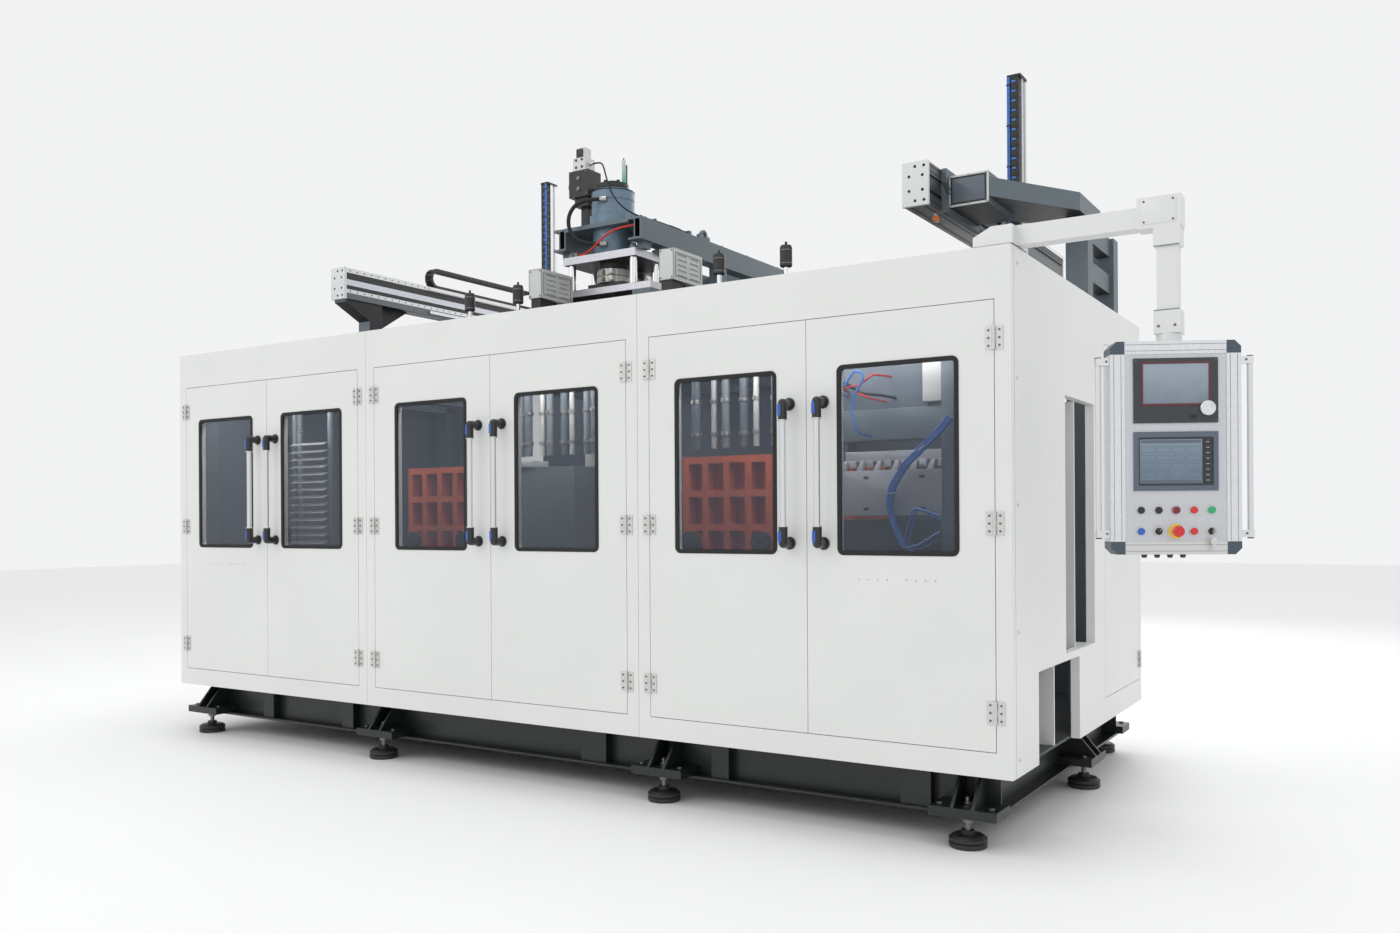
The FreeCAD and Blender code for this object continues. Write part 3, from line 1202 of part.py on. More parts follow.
class Pendant:
    """The operator's box: its own frame is turned about the drop tube's axis."""

    def __init__(self, model):
        self.model = model
        self.turn = FreeCAD.Rotation(V(0, 0, 1), PENDANT_TURN)
        self.front = "-pendant_forward"
        self.left = "pendant_shift - pendant_wide / 2"

    def settle(self, item):
        """Turns a finished piece about the drop tube and carries it there."""
        item.Placement.Rotation = self.turn
        self.model.place(item, from_right("-drop_x"), from_front("arm_y"), "pendant_bottom")
        return item

    def group(self, label, *items):
        holder = self.model.doc.addObject("Part::Compound", "group")
        holder.Links = list(items)
        self.settle(holder)
        holder.Label = label
        self.model.nodes.append(holder)

    def box(self, across, up, wide, high, back, deep):
        """A block given by its place on the front: across and up from the lower left corner."""
        return self.model.box(f"{self.left} + {across}", f"{self.front} + {back}", up, wide, deep, high)

    def case(self):
        """Extruded sides and ends, cast corners, a front sheet, a back and the swivel hub."""
        wide, high, deep = "pendant_wide", "pendant_high", "pendant_deep"
        side, end = "profile_wide", "profile_high"
        model = self.model
        solids = []
        for across in ("0", f"{wide} - {side}"):
            solids.append(self.box(across, end, side, f"{high} - 2 * {end}", "0", deep))
        for up in ("0", f"{high} - {end}"):
            solids.append(self.box(side, up, f"{wide} - 2 * {side}", end, "0", deep))
        for across, up, cuts in (("0", "0", (0, 0)), (f"{wide} - {side}", "0", (1, 0)),
                                 ("0", f"{high} - {end}", (0, 1)),
                                 (f"{wide} - {side}", f"{high} - {end}", (1, 1))):
            solids.append(self.corner(across, up, cuts))
        inner_w = f"{wide} - 2 * {side}"
        inner_h = f"{high} - 2 * {end}"
        sheet = self.box(side, end, inner_w, inner_h, "3", "4")
        holes = [model.rod("Y", f"{self.left} + {a}", f"{self.front} + 2", b, r, "6")
                 for a, b, r in control_places()]
        solids.append(model.cut(sheet, *holes))
        solids.append(self.box(side, end, inner_w, inner_h, f"{deep} - 6", "4"))
        solids += self.bezels()
        hub_y = f"{self.front} + {deep}"
        arm = model.box("-45", hub_y, f"{high} - 90", "90", f"pendant_forward - {deep} + 45", "90")
        post = model.rod("Z", "0", "0", high, "44", "drop_bottom + 12 - pendant_bottom - pendant_high")
        sleeve = model.rod("Z", "0", "0", "drop_bottom - 22 - pendant_bottom", "18 + hinge_run", "60")
        solids.append(model.cut(model.fuse(arm, post), sleeve))
        self.group("pendant_case", *solids)

    def bezels(self):
        """Round collars on the front sheet for every control, and the fixed buzzer cap."""
        rings = []
        for across, up, radius in control_places():
            rings.append(self.collar(across, up, radius, "15.5", "0.5"))
        across = "pendant_wide / 2 - 121 + 2 * button_pitch"
        profile = [("0", "-3"), ("13", "-3"), ("13", "6"), ("11", "8"), ("0", "8")]
        rings.append(self.lathe(across, "button_row_top", profile))
        return rings

    def collar(self, across, up, inner, outer, rise):
        profile = [(inner, "-3"), (outer, "-3"), (outer, rise), (f"{outer} - 1", f"{rise} + 1"),
                   (inner, f"{rise} + 1")]
        return self.lathe(across, up, profile)

    def lathe(self, across, up, profile):
        """A turned piece whose axis points out of the front sheet."""
        return self.model.turned(f"{self.left} + {across}", self.front, up, profile,
                                 tilt=FreeCAD.Rotation(V(1, 0, 0), 90))

    def corner(self, across, up, cuts):
        """A cast corner with its outer edge cut off at a slant."""
        right, top = cuts
        side, end, slant = "profile_wide", "profile_high", "22"
        spots = {(0, 0): [(slant, "0"), (side, "0"), (side, end), ("0", end), ("0", slant)],
                 (1, 0): [("0", "0"), (f"{side} - {slant}", "0"), (side, slant), (side, end), ("0", end)],
                 (0, 1): [("0", "0"), (side, "0"), (side, end), (slant, end), ("0", f"{end} - {slant}")],
                 (1, 1): [("0", "0"), (side, "0"), (side, f"{end} - {slant}"),
                          (f"{side} - {slant}", end), ("0", end)]}
        return self.model.plate("XZ_Plane", f"{self.left} + {across}", self.front, up,
                                [spots[(right, top)]], "pendant_deep", reverse=True)

    def screens(self):
        """The controller above and the touch panel below, each a bezel round a glass."""
        upper = self.box("80", "466", "290", "230", "-3", "6")
        recess = self.box("112", "534", "226", "142", "-4", "3")
        pane = self.box("112", "534", "226", "142", "-2", "1")
        socket = self.model.rod("Y", f"{self.left} + 332", f"{self.front} - 4", "517", "9", "8")
        lower = self.box("80", "226", "290", "209", "-3", "6")
        dip = self.box("98", "246", "254", "168", "-4", "3")
        glass = self.box("98", "246", "254", "168", "-2", "1")
        self.group("pendant_screens", self.model.cut(upper, recess, socket), pane,
                   self.model.cut(lower, dip), glass)

    def handles(self):
        """A tubular grip down each side on two short brackets."""
        solids = []
        for across, start, long in ((-37, "-46", "45.9"), (487, "pendant_wide + 0.1", "45.9")):
            x = f"{self.left} + {across}"
            y = f"{self.front} + 22"
            tube = self.model.rod("Z", x, y, "56", "10", "648")
            arms = [self.box(start, up, long, "26", "8", "28") for up in ("60", "674")]
            solids.append(self.model.fuse(tube, *arms))
        self.group("pendant_handles", *solids)

    def control(self, label, across, up, profile):
        """A turned control whose axis points out of the front sheet."""
        self.group(label, self.lathe(across, up, profile))


def control_spots():
    """The ten controls: name, place across, row, and radius of the hole that it works in."""
    start = "pendant_wide / 2 - 121"
    names = [("start_button", 0, 1), ("stop_button", 1, 1), ("red_button", 3, 1), ("green_button", 4, 1),
             ("blue_button", 0, 0), ("speed_dial", 1, 0), ("emergency_stop", 2, 0),
             ("reset_button", 3, 0), ("key_switch", 4, 0)]
    spots = []
    for name, column, row in names:
        up = "button_row_top" if row else "button_row_low"
        spots.append((name, f"{start} + {column} * button_pitch", up))
    return spots


def control_places():
    return [(across, up, "button_round + button_gap") for _, across, up in control_spots()]


def controls(model, pendant):
    """Push buttons, the emergency stop, the key, the dial and the jog wheel."""
    stem = "button_round"
    snug = "button_round + button_gap - hinge_run"
    cap = [("0", "-14"), (stem, "-14"), (stem, "6"), (f"{stem} - 1.5", "8"), ("0", "8")]
    shapes = {
        "emergency_stop": [("0", "-14"), (stem, "-14"), (stem, "16"), ("18", "20"), ("20", "24"),
                           ("20", "28"), ("15", "33"), ("0", "35")],
        "speed_dial": [("0", "-14"), (snug, "-14"), (snug, "3"), ("9", "4"), ("8", "16"), ("7", "17"),
                       ("0", "17")],
        "key_switch": [("0", "-14"), (snug, "-14"), (snug, "5"), (f"{stem} - 1.5", "7"), ("0", "7")],
    }
    for name, across, up in control_spots():
        pendant.control(name, across, up, shapes.get(name, cap))
    wheel = [("0", "-2"), ("9 - hinge_run", "-2"), ("9 - hinge_run", "3.4"), ("26", "3.4"), ("26", "15"),
             ("24", "17"), ("0", "17")]
    pendant.control("jog_wheel", "332", "517", wheel)


def clamp(model, side):
    """One mould clamp: a carriage on rails, a front platen with tie bars and a rear platen."""
    x = from_right(f"{side}_clamp_x + clamp_wide / 2")
    front = from_front("clamp_front")
    deck_low = "bed_top + clamp_rail + slide_gap"
    long = "clamp_rear + 430 - clamp_front"
    slab = model.box(f"{x} + 40", f"{front} + 20", deck_low, "clamp_wide - 80", long, "50")
    shoes = [model.box(f"{x} + 40", from_front(back), "bed_top + 10", "clamp_wide - 80", "24",
                       "clamp_rail - 10 + slide_gap") for back in ("546 + slide_gap", "1626 + slide_gap")]
    guides = [model.box(f"{x} + {across}", f"{front} + 20", f"{deck_low} + 50", "50", long, "30")
              for across in ("70", "clamp_wide - 120")]
    model.node(f"{side}_clamp_carriage", model.fuse(slab, *shoes), *guides)
    sole = f"{deck_low} + 80 + slide_gap"
    tall = f"clamp_top - ({sole})"
    ties = []
    bars = []
    for across in ("tie_inset", "clamp_wide - tie_inset"):
        for up in (f"{sole} + 120", "clamp_top - 415"):
            ties.append((f"{x} + {across}", up))
    faces = model.box(x, f"{front} + platen_rib", sole, "clamp_wide", "platen_thick", tall)
    ribs = []
    for step in range(7):
        ribs.append(model.box(x, front, f"{sole} + 30 + {step} * (({tall}) - 64) / 6", "clamp_wide",
                              "platen_rib", "34"))
    for across in ("0", "clamp_wide / 4 - 13", "clamp_wide / 2 - 17", "clamp_wide * 3 / 4 - 21",
                   "clamp_wide - 34"):
        ribs.append(model.box(f"{x} + {across}", front, sole, "34", "platen_rib", tall))
    for bar_x, bar_z in ties:
        ribs.append(model.rod("Y", bar_x, front, bar_z, "tie_bar + 22", "platen_rib"))
    platen = model.fuse(faces, *ribs)
    for bar_x, bar_z in ties:
        bars.append(model.rod("Y", bar_x, f"{front} + platen_rib + platen_thick", bar_z, "tie_bar",
                              "tie_bar_long - platen_rib - platen_thick - 60"))
        bars.append(model.rod("Y", bar_x, f"{front} - 26", bar_z, "tie_bar + 18", "26"))
    yoke = model.box(x, f"{front} + tie_bar_long - 60", sole, "clamp_wide", "60", tall)
    ram = model.rod("Y", f"{x} + clamp_wide / 2", f"{front} + tie_bar_long - 160",
                    f"{sole} + 420", "70", "100")
    mould = model.box(f"{x} + 150", f"{front} + platen_rib + platen_thick", f"{sole} + 260",
                      "clamp_wide - 300", "90", "480")
    model.node(f"{side}_front_platen", platen, *bars, yoke, ram, mould)
    rear_y = from_front("clamp_rear")
    plate = model.box(x, rear_y, sole, "clamp_wide", "platen_thick + 30", tall)
    bores = [model.rod("Y", bar_x, f"{rear_y} - 1", bar_z, "tie_bar + slide_gap", "platen_thick + 32")
             for bar_x, bar_z in ties]
    mould = model.box(f"{x} + 150", f"{rear_y} - 90", f"{sole} + 260", "clamp_wide - 300", "90", "480")
    model.node(f"{side}_rear_platen", model.cut(plate, *bores), mould)


def clamp_bed(model):
    """Two hardened rails along X on a pair of low beams, for both clamps."""
    solids = []
    low = "panel_bottom + floor_plate"
    for back in ("500", "1580"):
        solids.append(model.box(from_right(f"{LENGTH} - 350"), from_front(f"{back} - 30"), low,
                                f"{LENGTH} - 750", "106", f"bed_top - ({low})"))
        solids.append(model.box(from_right(f"{LENGTH} - 350"), from_front(back), "bed_top",
                                f"{LENGTH} - 750", "46", "clamp_rail"))
    return solids


def route_tube(points, radius):
    """A hose along straight runs joined by tangent arcs, and the radius of each arc."""
    spots = [V(*point) for point in points]
    edges = []
    radii = []
    last = spots[0]
    for at in range(1, len(spots) - 1):
        before = spots[at - 1] - spots[at]
        after = spots[at + 1] - spots[at]
        turn = 3.141592653589793 - before.getAngle(after)
        back = 0.45 * min(before.Length, after.Length)
        start = spots[at] + before.normalize() * back
        end = spots[at] + after.normalize() * back
        bend = back / (FreeCAD.Units.Quantity(1).Value * tangent(turn / 2))
        middle = (before + after).normalize()
        inside = spots[at] + middle * ((bend * bend + back * back) ** 0.5 - bend)
        edges.append(Part.LineSegment(last, start).toShape())
        edges.append(Part.Arc(start, inside, end).toShape())
        radii.append(bend)
        last = end
    edges.append(Part.LineSegment(last, spots[-1]).toShape())
    path = Part.Wire(edges)
    direction = (spots[1] - spots[0]).normalize()
    ring = Part.Wire(Part.makeCircle(radius, spots[0], direction))
    return path.makePipeShell([ring], True, False), path.Length, radii


def tangent(angle):
    """tan of an angle from its half-angle series in FreeCAD's own vectors."""
    arm = FreeCAD.Rotation(V(0, 0, 1), angle * 180 / 3.141592653589793).multVec(V(1, 0, 0))
    return arm.y / arm.x


HOSES = {
    # label: (radius, points from the tower's middle at the head plate's top)
    "hydraulic_hose": (11, [(9.1, -136, 298), (-80.1, -187.5, 298), (-143.2, -223.9, 225.2),
                            (-143.2, -223.9, 121.8), (-80.1, -187.5, 49), (9.1, -136, 49)]),
    "red_hose": (6, [(-157, -118, 12), (-118, -118, 12), (-72, -146, 11), (-20, -168, 22),
                     (30, -175, 52), (80, -172, 84), (130, -158, 110), (182, -140, 121),
                     (256, -140, 121)]),
    "sensor_cable": (4.5, [(-152, -16, 550), (-96, -16, 550), (-40, -52, 528), (8, -96, 484),
                           (44, -126, 424), (76, -142, 360), (110, -146, 296), (150, -134, 242),
                           (196, -104, 202), (240, -58, 181), (272, 2, 172), (281, 72, 171),
                           (285, 156, 170), (283, 243, 170), (283, 330, 170)]),
}


def hoses(model):
    """The free hoses round the head, each on its own route."""
    middle = V(model.value(from_right("tower_x")), model.value(from_front("tower_y")),
               model.value("head_plate_bottom + head_plate_thick"))
    for label, (radius, points) in HOSES.items():
        tube, length, radii = route_tube([middle + V(*point) for point in points], radius)
        expected = 3.141592653589793 * radius * radius * length
        print(label, "length", round(length), "smallest bend", round(min(radii)),
              "volume share", round(tube.Volume / expected, 4))
        item = model.doc.addObject("Part::Feature", label)
        item.Shape = tube
        model.node(label, item)


def build():
    """Adds every sub-part to one document and returns it."""
    model = Model("blow_moulding_machine", SIZES)
    front_frames(model)
    fixed_hinges = front_doors(model)
    side_panels(model)
    back_panels(model)
    side_door(model, fixed_hinges)
    model.node("frame_hinge_leaves", *fixed_hinges)
    base(model)
    feet(model)
    main_frame(model)
    gantry_supports(model)
    gantry_beams(model)
    robot(model, "right")
    robot(model, "left")
    cable_chain(model)
    head_tower(model)
    die_head(model)
    head_cylinder(model)
    servo_valve(model)
    yoke_beams(model)
    extruder(model)
    junction_boxes(model)
    guide_cylinders(model)
    pendant_arm(model)
    pendant = Pendant(model)
    pendant.case()
    pendant.screens()
    pendant.handles()
    controls(model, pendant)
    clamp(model, "right")
    clamp(model, "left")
    hoses(model)
    return model


def check(model):
    """Stops if any feature failed or any sub-part has no valid shape."""
    model.doc.recompute()
    for item in model.doc.Objects:
        if "Invalid" in item.State or "Error" in item.State:
            raise RuntimeError(f"{item.Label}: {item.State}")
    for item in model.nodes:
        if item.Shape.isNull() or not item.Shape.isValid() or not item.Shape.Solids:
            raise RuntimeError(f"{item.Label} has no valid solid")


def export(model):
    os.makedirs("parts", exist_ok=True)
    for item in model.nodes:
        item.Shape.exportStep(os.path.join("parts", f"{item.Label}.step"))
    print(len(model.nodes), "nodes,", sum(len(item.Shape.Solids) for item in model.nodes), "solids")


machine = build()
check(machine)
export(machine)
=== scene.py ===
"""Double-station blow moulding machine: its finishes, fine pieces and studio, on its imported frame.

Everything is in metres in the frame of the machine: +Z up, the long front faces -Y, and the
origin is the sole of the front right levelling foot.
"""
from __future__ import annotations

import json
import logging
import math
from dataclasses import dataclass
from enum import Enum
from typing import Callable, Sequence

import bmesh
import bpy
import numpy as np
from mathutils import Matrix, Vector

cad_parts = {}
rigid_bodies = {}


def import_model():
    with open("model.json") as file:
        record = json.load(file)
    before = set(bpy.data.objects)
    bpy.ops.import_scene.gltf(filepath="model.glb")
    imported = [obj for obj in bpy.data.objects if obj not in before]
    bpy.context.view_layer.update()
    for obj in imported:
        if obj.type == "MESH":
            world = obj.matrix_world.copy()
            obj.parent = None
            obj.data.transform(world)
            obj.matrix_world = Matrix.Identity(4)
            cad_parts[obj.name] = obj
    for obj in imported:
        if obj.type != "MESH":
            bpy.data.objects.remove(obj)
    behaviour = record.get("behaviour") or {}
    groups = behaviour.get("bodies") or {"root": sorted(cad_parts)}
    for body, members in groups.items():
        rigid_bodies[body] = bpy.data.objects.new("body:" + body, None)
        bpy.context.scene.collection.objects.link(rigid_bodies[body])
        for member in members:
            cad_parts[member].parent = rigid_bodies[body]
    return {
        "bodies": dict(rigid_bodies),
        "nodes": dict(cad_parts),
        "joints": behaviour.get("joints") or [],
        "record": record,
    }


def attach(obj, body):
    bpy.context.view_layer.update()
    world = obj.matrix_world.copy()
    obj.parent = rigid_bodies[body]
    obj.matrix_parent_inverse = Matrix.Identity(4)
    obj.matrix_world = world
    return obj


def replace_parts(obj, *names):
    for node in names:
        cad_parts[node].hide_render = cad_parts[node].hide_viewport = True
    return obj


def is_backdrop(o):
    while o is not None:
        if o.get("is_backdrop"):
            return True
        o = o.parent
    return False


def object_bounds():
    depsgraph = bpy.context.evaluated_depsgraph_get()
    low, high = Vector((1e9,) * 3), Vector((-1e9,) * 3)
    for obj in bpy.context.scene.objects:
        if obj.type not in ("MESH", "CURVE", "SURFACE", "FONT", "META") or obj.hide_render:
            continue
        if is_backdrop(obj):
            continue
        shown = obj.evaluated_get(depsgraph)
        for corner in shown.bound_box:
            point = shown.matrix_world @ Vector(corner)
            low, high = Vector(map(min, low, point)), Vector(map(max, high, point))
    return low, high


LOG = logging.getLogger("blow_moulding_machine")

Colour = tuple[float, float, float]
Spot = tuple[float, float, float]
Faces = Callable[[np.ndarray, np.ndarray], np.ndarray]

RIGHT_FACE = 0.204
FRONT_FACE = -0.070
MACHINE = "machine"


def spot(reach: float, back: float, up: float) -> Vector:
    """A place given from the enclosure's front right edge.

    Args:
        reach: Metres to the left of the right face.
        back: Metres behind the front face.
        up: Height over the floor.

    Returns:
        The same place in the frame of the machine.
    """
    return Vector((RIGHT_FACE - reach, FRONT_FACE + back, up))


class Signal:
    """One output socket of a finish, on which arithmetic adds Math nodes."""

    def __init__(self, board: Board, socket: bpy.types.NodeSocket) -> None:
        """Keeps the socket and the board that it belongs to."""
        self.board = board
        self.socket = socket

    def _math(self, operation: str, first: Signal | float, second: Signal | float) -> Signal:
        """Adds one Math node.

        Args:
            operation: The node's operation.
            first: Its first value.
            second: Its second value.

        Returns:
            The node's result.
        """
        node = self.board.add("ShaderNodeMath", {"operation": operation}, {0: first, 1: second})
        return Signal(self.board, node.outputs[0])

    def __add__(self, other: Signal | float) -> Signal:
        """Sum."""
        return self._math("ADD", self, other)

    def __radd__(self, other: float) -> Signal:
        """Sum, reflected."""
        return self._math("ADD", other, self)

    def __sub__(self, other: Signal | float) -> Signal:
        """Difference."""
        return self._math("SUBTRACT", self, other)

    def __rsub__(self, other: float) -> Signal:
        """Difference, reflected."""
        return self._math("SUBTRACT", other, self)

    def __mul__(self, other: Signal | float) -> Signal:
        """Product."""
        return self._math("MULTIPLY", self, other)

    def __rmul__(self, other: float) -> Signal:
        """Product, reflected."""
        return self._math("MULTIPLY", other, self)

    def step(self, low: float, high: float) -> Signal:
        """A soft step of this value.

        Args:
            low: The value below which the result is 0.
            high: The value above which the result is 1.

        Returns:
            The step, from 0 to 1.
        """
        node = self.board.add("ShaderNodeMapRange", {"interpolation_type": "SMOOTHSTEP"},
                              {0: self, 1: low, 2: high, 3: 0.0, 4: 1.0})
        return Signal(self.board, node.outputs[0])


class Board:
    """The node tree of one finish."""

    def __init__(self, name: str) -> None:
        """Starts a material with one Principled shader on its output.

        Args:
            name: The material's name.
        """
        self.material = bpy.data.materials.new(name)
        self.material.use_nodes = True
        self.tree = self.material.node_tree
        self.tree.nodes.clear()
        self.shader = self.add("ShaderNodeBsdfPrincipled")
        output = self.add("ShaderNodeOutputMaterial")
        self.tree.links.new(self.shader.outputs[0], output.inputs[0])
        place = self.add("ShaderNodeTexCoord")
        self.place = Signal(self, place.outputs["Object"])

    def add(self, kind: str, settings: dict[str, object] | None = None,
            inputs: dict[int | str, object] | None = None) -> bpy.types.Node:
        """Adds one node.

        Args:
            kind: The node's type.
            settings: Its properties, set before its sockets.
            inputs: A value or a Signal for each of its sockets.

        Returns:
            The node.
        """
        node = self.tree.nodes.new(kind)
        for name, value in (settings or {}).items():
            setattr(node, name, value)
        for key, value in (inputs or {}).items():
            if isinstance(value, Signal):
                self.tree.links.new(value.socket, node.inputs[key])
            else:
                node.inputs[key].default_value = value
        return node

    def feed(self, name: str, value: Signal | float | Colour) -> None:
        """Links a Signal to a socket of the shader, or sets a constant on it.

        Args:
            name: The socket's name.
            value: A Signal, a number or a colour.
        """
        if isinstance(value, Signal):
            self.tree.links.new(value.socket, self.shader.inputs[name])
        elif isinstance(value, tuple):
            self.shader.inputs[name].default_value = (*value, 1.0)
        else:
            self.shader.inputs[name].default_value = value

    def noise(self, scale: float, detail: float = 3.0,
              stretch: Spot = (1.0, 1.0, 1.0)) -> Signal:
        """Cloudy noise over the piece.

        Args:
            scale: Clouds to the metre.
            detail: Octaves of finer clouds.
            stretch: How much finer the clouds are along each axis.

        Returns:
            The noise, from 0 to 1.
        """
        place = self.place
        if stretch != (1.0, 1.0, 1.0):
            turn = self.add("ShaderNodeMapping", None, {0: self.place, 3: stretch})
            place = Signal(self, turn.outputs[0])
        node = self.add("ShaderNodeTexNoise", None,
                        {"Vector": place, "Scale": scale, "Detail": detail})
        return Signal(self, node.outputs[0])

    def cells(self, scale: float) -> Signal:
        """Distance to the nearest point of a random pattern, for grain and pits."""
        node = self.add("ShaderNodeTexVoronoi", None, {"Vector": self.place, "Scale": scale})
        return Signal(self, node.outputs[0])

    def axis(self, number: int) -> Signal:
        """One coordinate of the place on the piece, in metres."""
        node = self.add("ShaderNodeSeparateXYZ", None, {0: self.place})
        return Signal(self, node.outputs[number])

    def mix(self, amount: Signal | float, first: Signal | Colour,
            second: Signal | Colour) -> Signal:
        """Blends two colours.

        Args:
            amount: 0 for the first colour, 1 for the second.
            first: A colour or a Signal that carries one.
            second: A colour or a Signal that carries one.

        Returns:
            The blended colour.
        """
        inputs: dict[int | str, object] = {0: amount}
        for key, value in ((6, first), (7, second)):
            inputs[key] = (*value, 1.0) if isinstance(value, tuple) else value
        node = self.add("ShaderNodeMix", {"data_type": "RGBA", "clamp_factor": True}, inputs)
        return Signal(self, node.outputs[2])

    def bump(self, height: Signal, strength: float, distance: float) -> None:
        """Gives the shader a fine relief.

        Args:
            height: The relief's height, from 0 to 1.
            strength: How strongly it shows.
            distance: Its depth in metres.
        """
        node = self.add("ShaderNodeBump", None,
                        {"Strength": strength, "Distance": distance, "Height": height})
        self.feed("Normal", Signal(self, node.outputs[0]))


def shaded(colour: Colour, share: float) -> Colour:
    """The colour made lighter or darker by a share of itself."""
    return tuple(min(1.0, max(0.0, part * share)) for part in colour)  # type: ignore[return-value]


@dataclass(frozen=True)
class Paint:
    """Sprayed or powder paint on steel, with orange peel and a little dust."""

    colour: Colour
    roughness: float = 0.38
    mottle: float = 0.05
    peel: float = 0.10
    dust: float = 0.0
    coat: float = 0.0

    def lay(self, board: Board) -> None:
        """Builds the finish's nodes on the board.

        Args:
            board: The finish's node tree.
        """
        cloud = board.noise(1.7, 4.0)
        fleck = board.noise(26.0, 5.0)
        tone = board.mix(cloud.step(0.32, 0.68), shaded(self.colour, 1 - self.mottle),
                         shaded(self.colour, 1 + self.mottle))
        if self.dust:
            low = 1 - board.axis(2).step(0.02, 0.75)
            powder = low * fleck.step(0.42, 0.72) * self.dust
            tone = board.mix(powder, tone, (0.36, 0.33, 0.29))
        board.feed("Base Color", tone)
        board.feed("Roughness", (fleck - 0.5) * 0.16 + self.roughness)
        board.feed("Coat Weight", self.coat)
        board.feed("Coat Roughness", 0.12)
        board.bump(board.noise(520.0, 2.0), self.peel, 0.0006)


@dataclass(frozen=True)
class Metal:
    """Bare metal: drawn, ground, anodised or polished."""

    colour: Colour
    roughness: float = 0.32
    grain: Spot = (1.0, 1.0, 30.0)
    relief: float = 0.10
    metallic: float = 1.0
    smudge: float = 0.10

    def lay(self, board: Board) -> None:
        """Builds the finish's nodes on the board.

        Args:
            board: The finish's node tree.
        """
        lines = board.noise(45.0, 5.0, self.grain)
        hands = board.noise(9.0, 3.0)
        board.feed("Base Color", board.mix(lines.step(0.3, 0.7), shaded(self.colour, 0.88),
                                           shaded(self.colour, 1.06)))
        board.feed("Metallic", self.metallic)
        rough = (lines - 0.5) * 0.14 + hands.step(0.5, 0.75) * self.smudge + self.roughness
        board.feed("Roughness", rough)
        board.bump(lines, self.relief, 0.0004)


@dataclass(frozen=True)
class Moulded:
    """Moulded plastic or rubber with a fine grained skin."""

    colour: Colour
    roughness: float = 0.5
    grain: float = 700.0
    relief: float = 0.18
    coat: float = 0.0
    scuff: float = 0.25

    def lay(self, board: Board) -> None:
        """Builds the finish's nodes on the board.

        Args:
            board: The finish's node tree.
        """
        rub = board.noise(60.0, 4.0).step(0.55, 0.8)
        cloud = board.noise(7.0, 3.0)
        tone = board.mix(cloud, shaded(self.colour, 0.9), shaded(self.colour, 1.1))
        worn = tuple(part * 0.8 + 0.05 for part in self.colour)
        board.feed("Base Color", board.mix(rub * self.scuff, tone, worn))
        board.feed("Roughness", rub * 0.12 + self.roughness)
        board.feed("Coat Weight", self.coat)
        board.feed("Coat Roughness", 0.08)
        board.bump(board.cells(self.grain), self.relief, 0.0003)


@dataclass(frozen=True)
class Pane:
    """Smoked safety glass with faint wipe marks."""

    colour: Colour
    alpha: float = 0.5

    def lay(self, board: Board) -> None:
        """Builds the finish's nodes on the board.

        Args:
            board: The finish's node tree.
        """
        wipe = board.noise(5.0, 3.0, (1.0, 1.0, 2.5))
        haze = wipe.step(0.45, 0.8)
        board.feed("Base Color", board.mix(haze * 0.5, self.colour, shaded(self.colour, 1.35)))
        board.feed("Roughness", haze * 0.06 + 0.05)
        board.feed("Alpha", haze * 0.04 + self.alpha)
        board.feed("Coat Weight", 0.6)
        board.feed("Coat Roughness", 0.03)
        board.feed("IOR", 1.52)
        board.bump(board.noise(3.0, 1.0), 0.03, 0.002)


@dataclass(frozen=True)
class Display:
    """A flat glowing panel behind glossy glass, brighter towards its top."""

    low: Colour
    high: Colour
    glow: float = 0.15
    bottom: float = 1.4
    top: float = 1.8

    def lay(self, board: Board) -> None:
        """Builds the finish's nodes on the board.

        Args:
            board: The finish's node tree.
        """
        rise = board.axis(2).step(self.bottom, self.top)
        film = board.noise(14.0, 3.0)
        tone = board.mix(rise, self.low, self.high)
        tone = board.mix(film.step(0.4, 0.8) * 0.25, tone, shaded(self.high, 1.2))
        board.feed("Base Color", tone)
        board.feed("Emission Color", tone)
        board.feed("Emission Strength", self.glow)
        board.feed("Roughness", film * 0.1 + 0.12)
        board.feed("Coat Weight", 0.5)
        board.bump(film, 0.02, 0.0005)


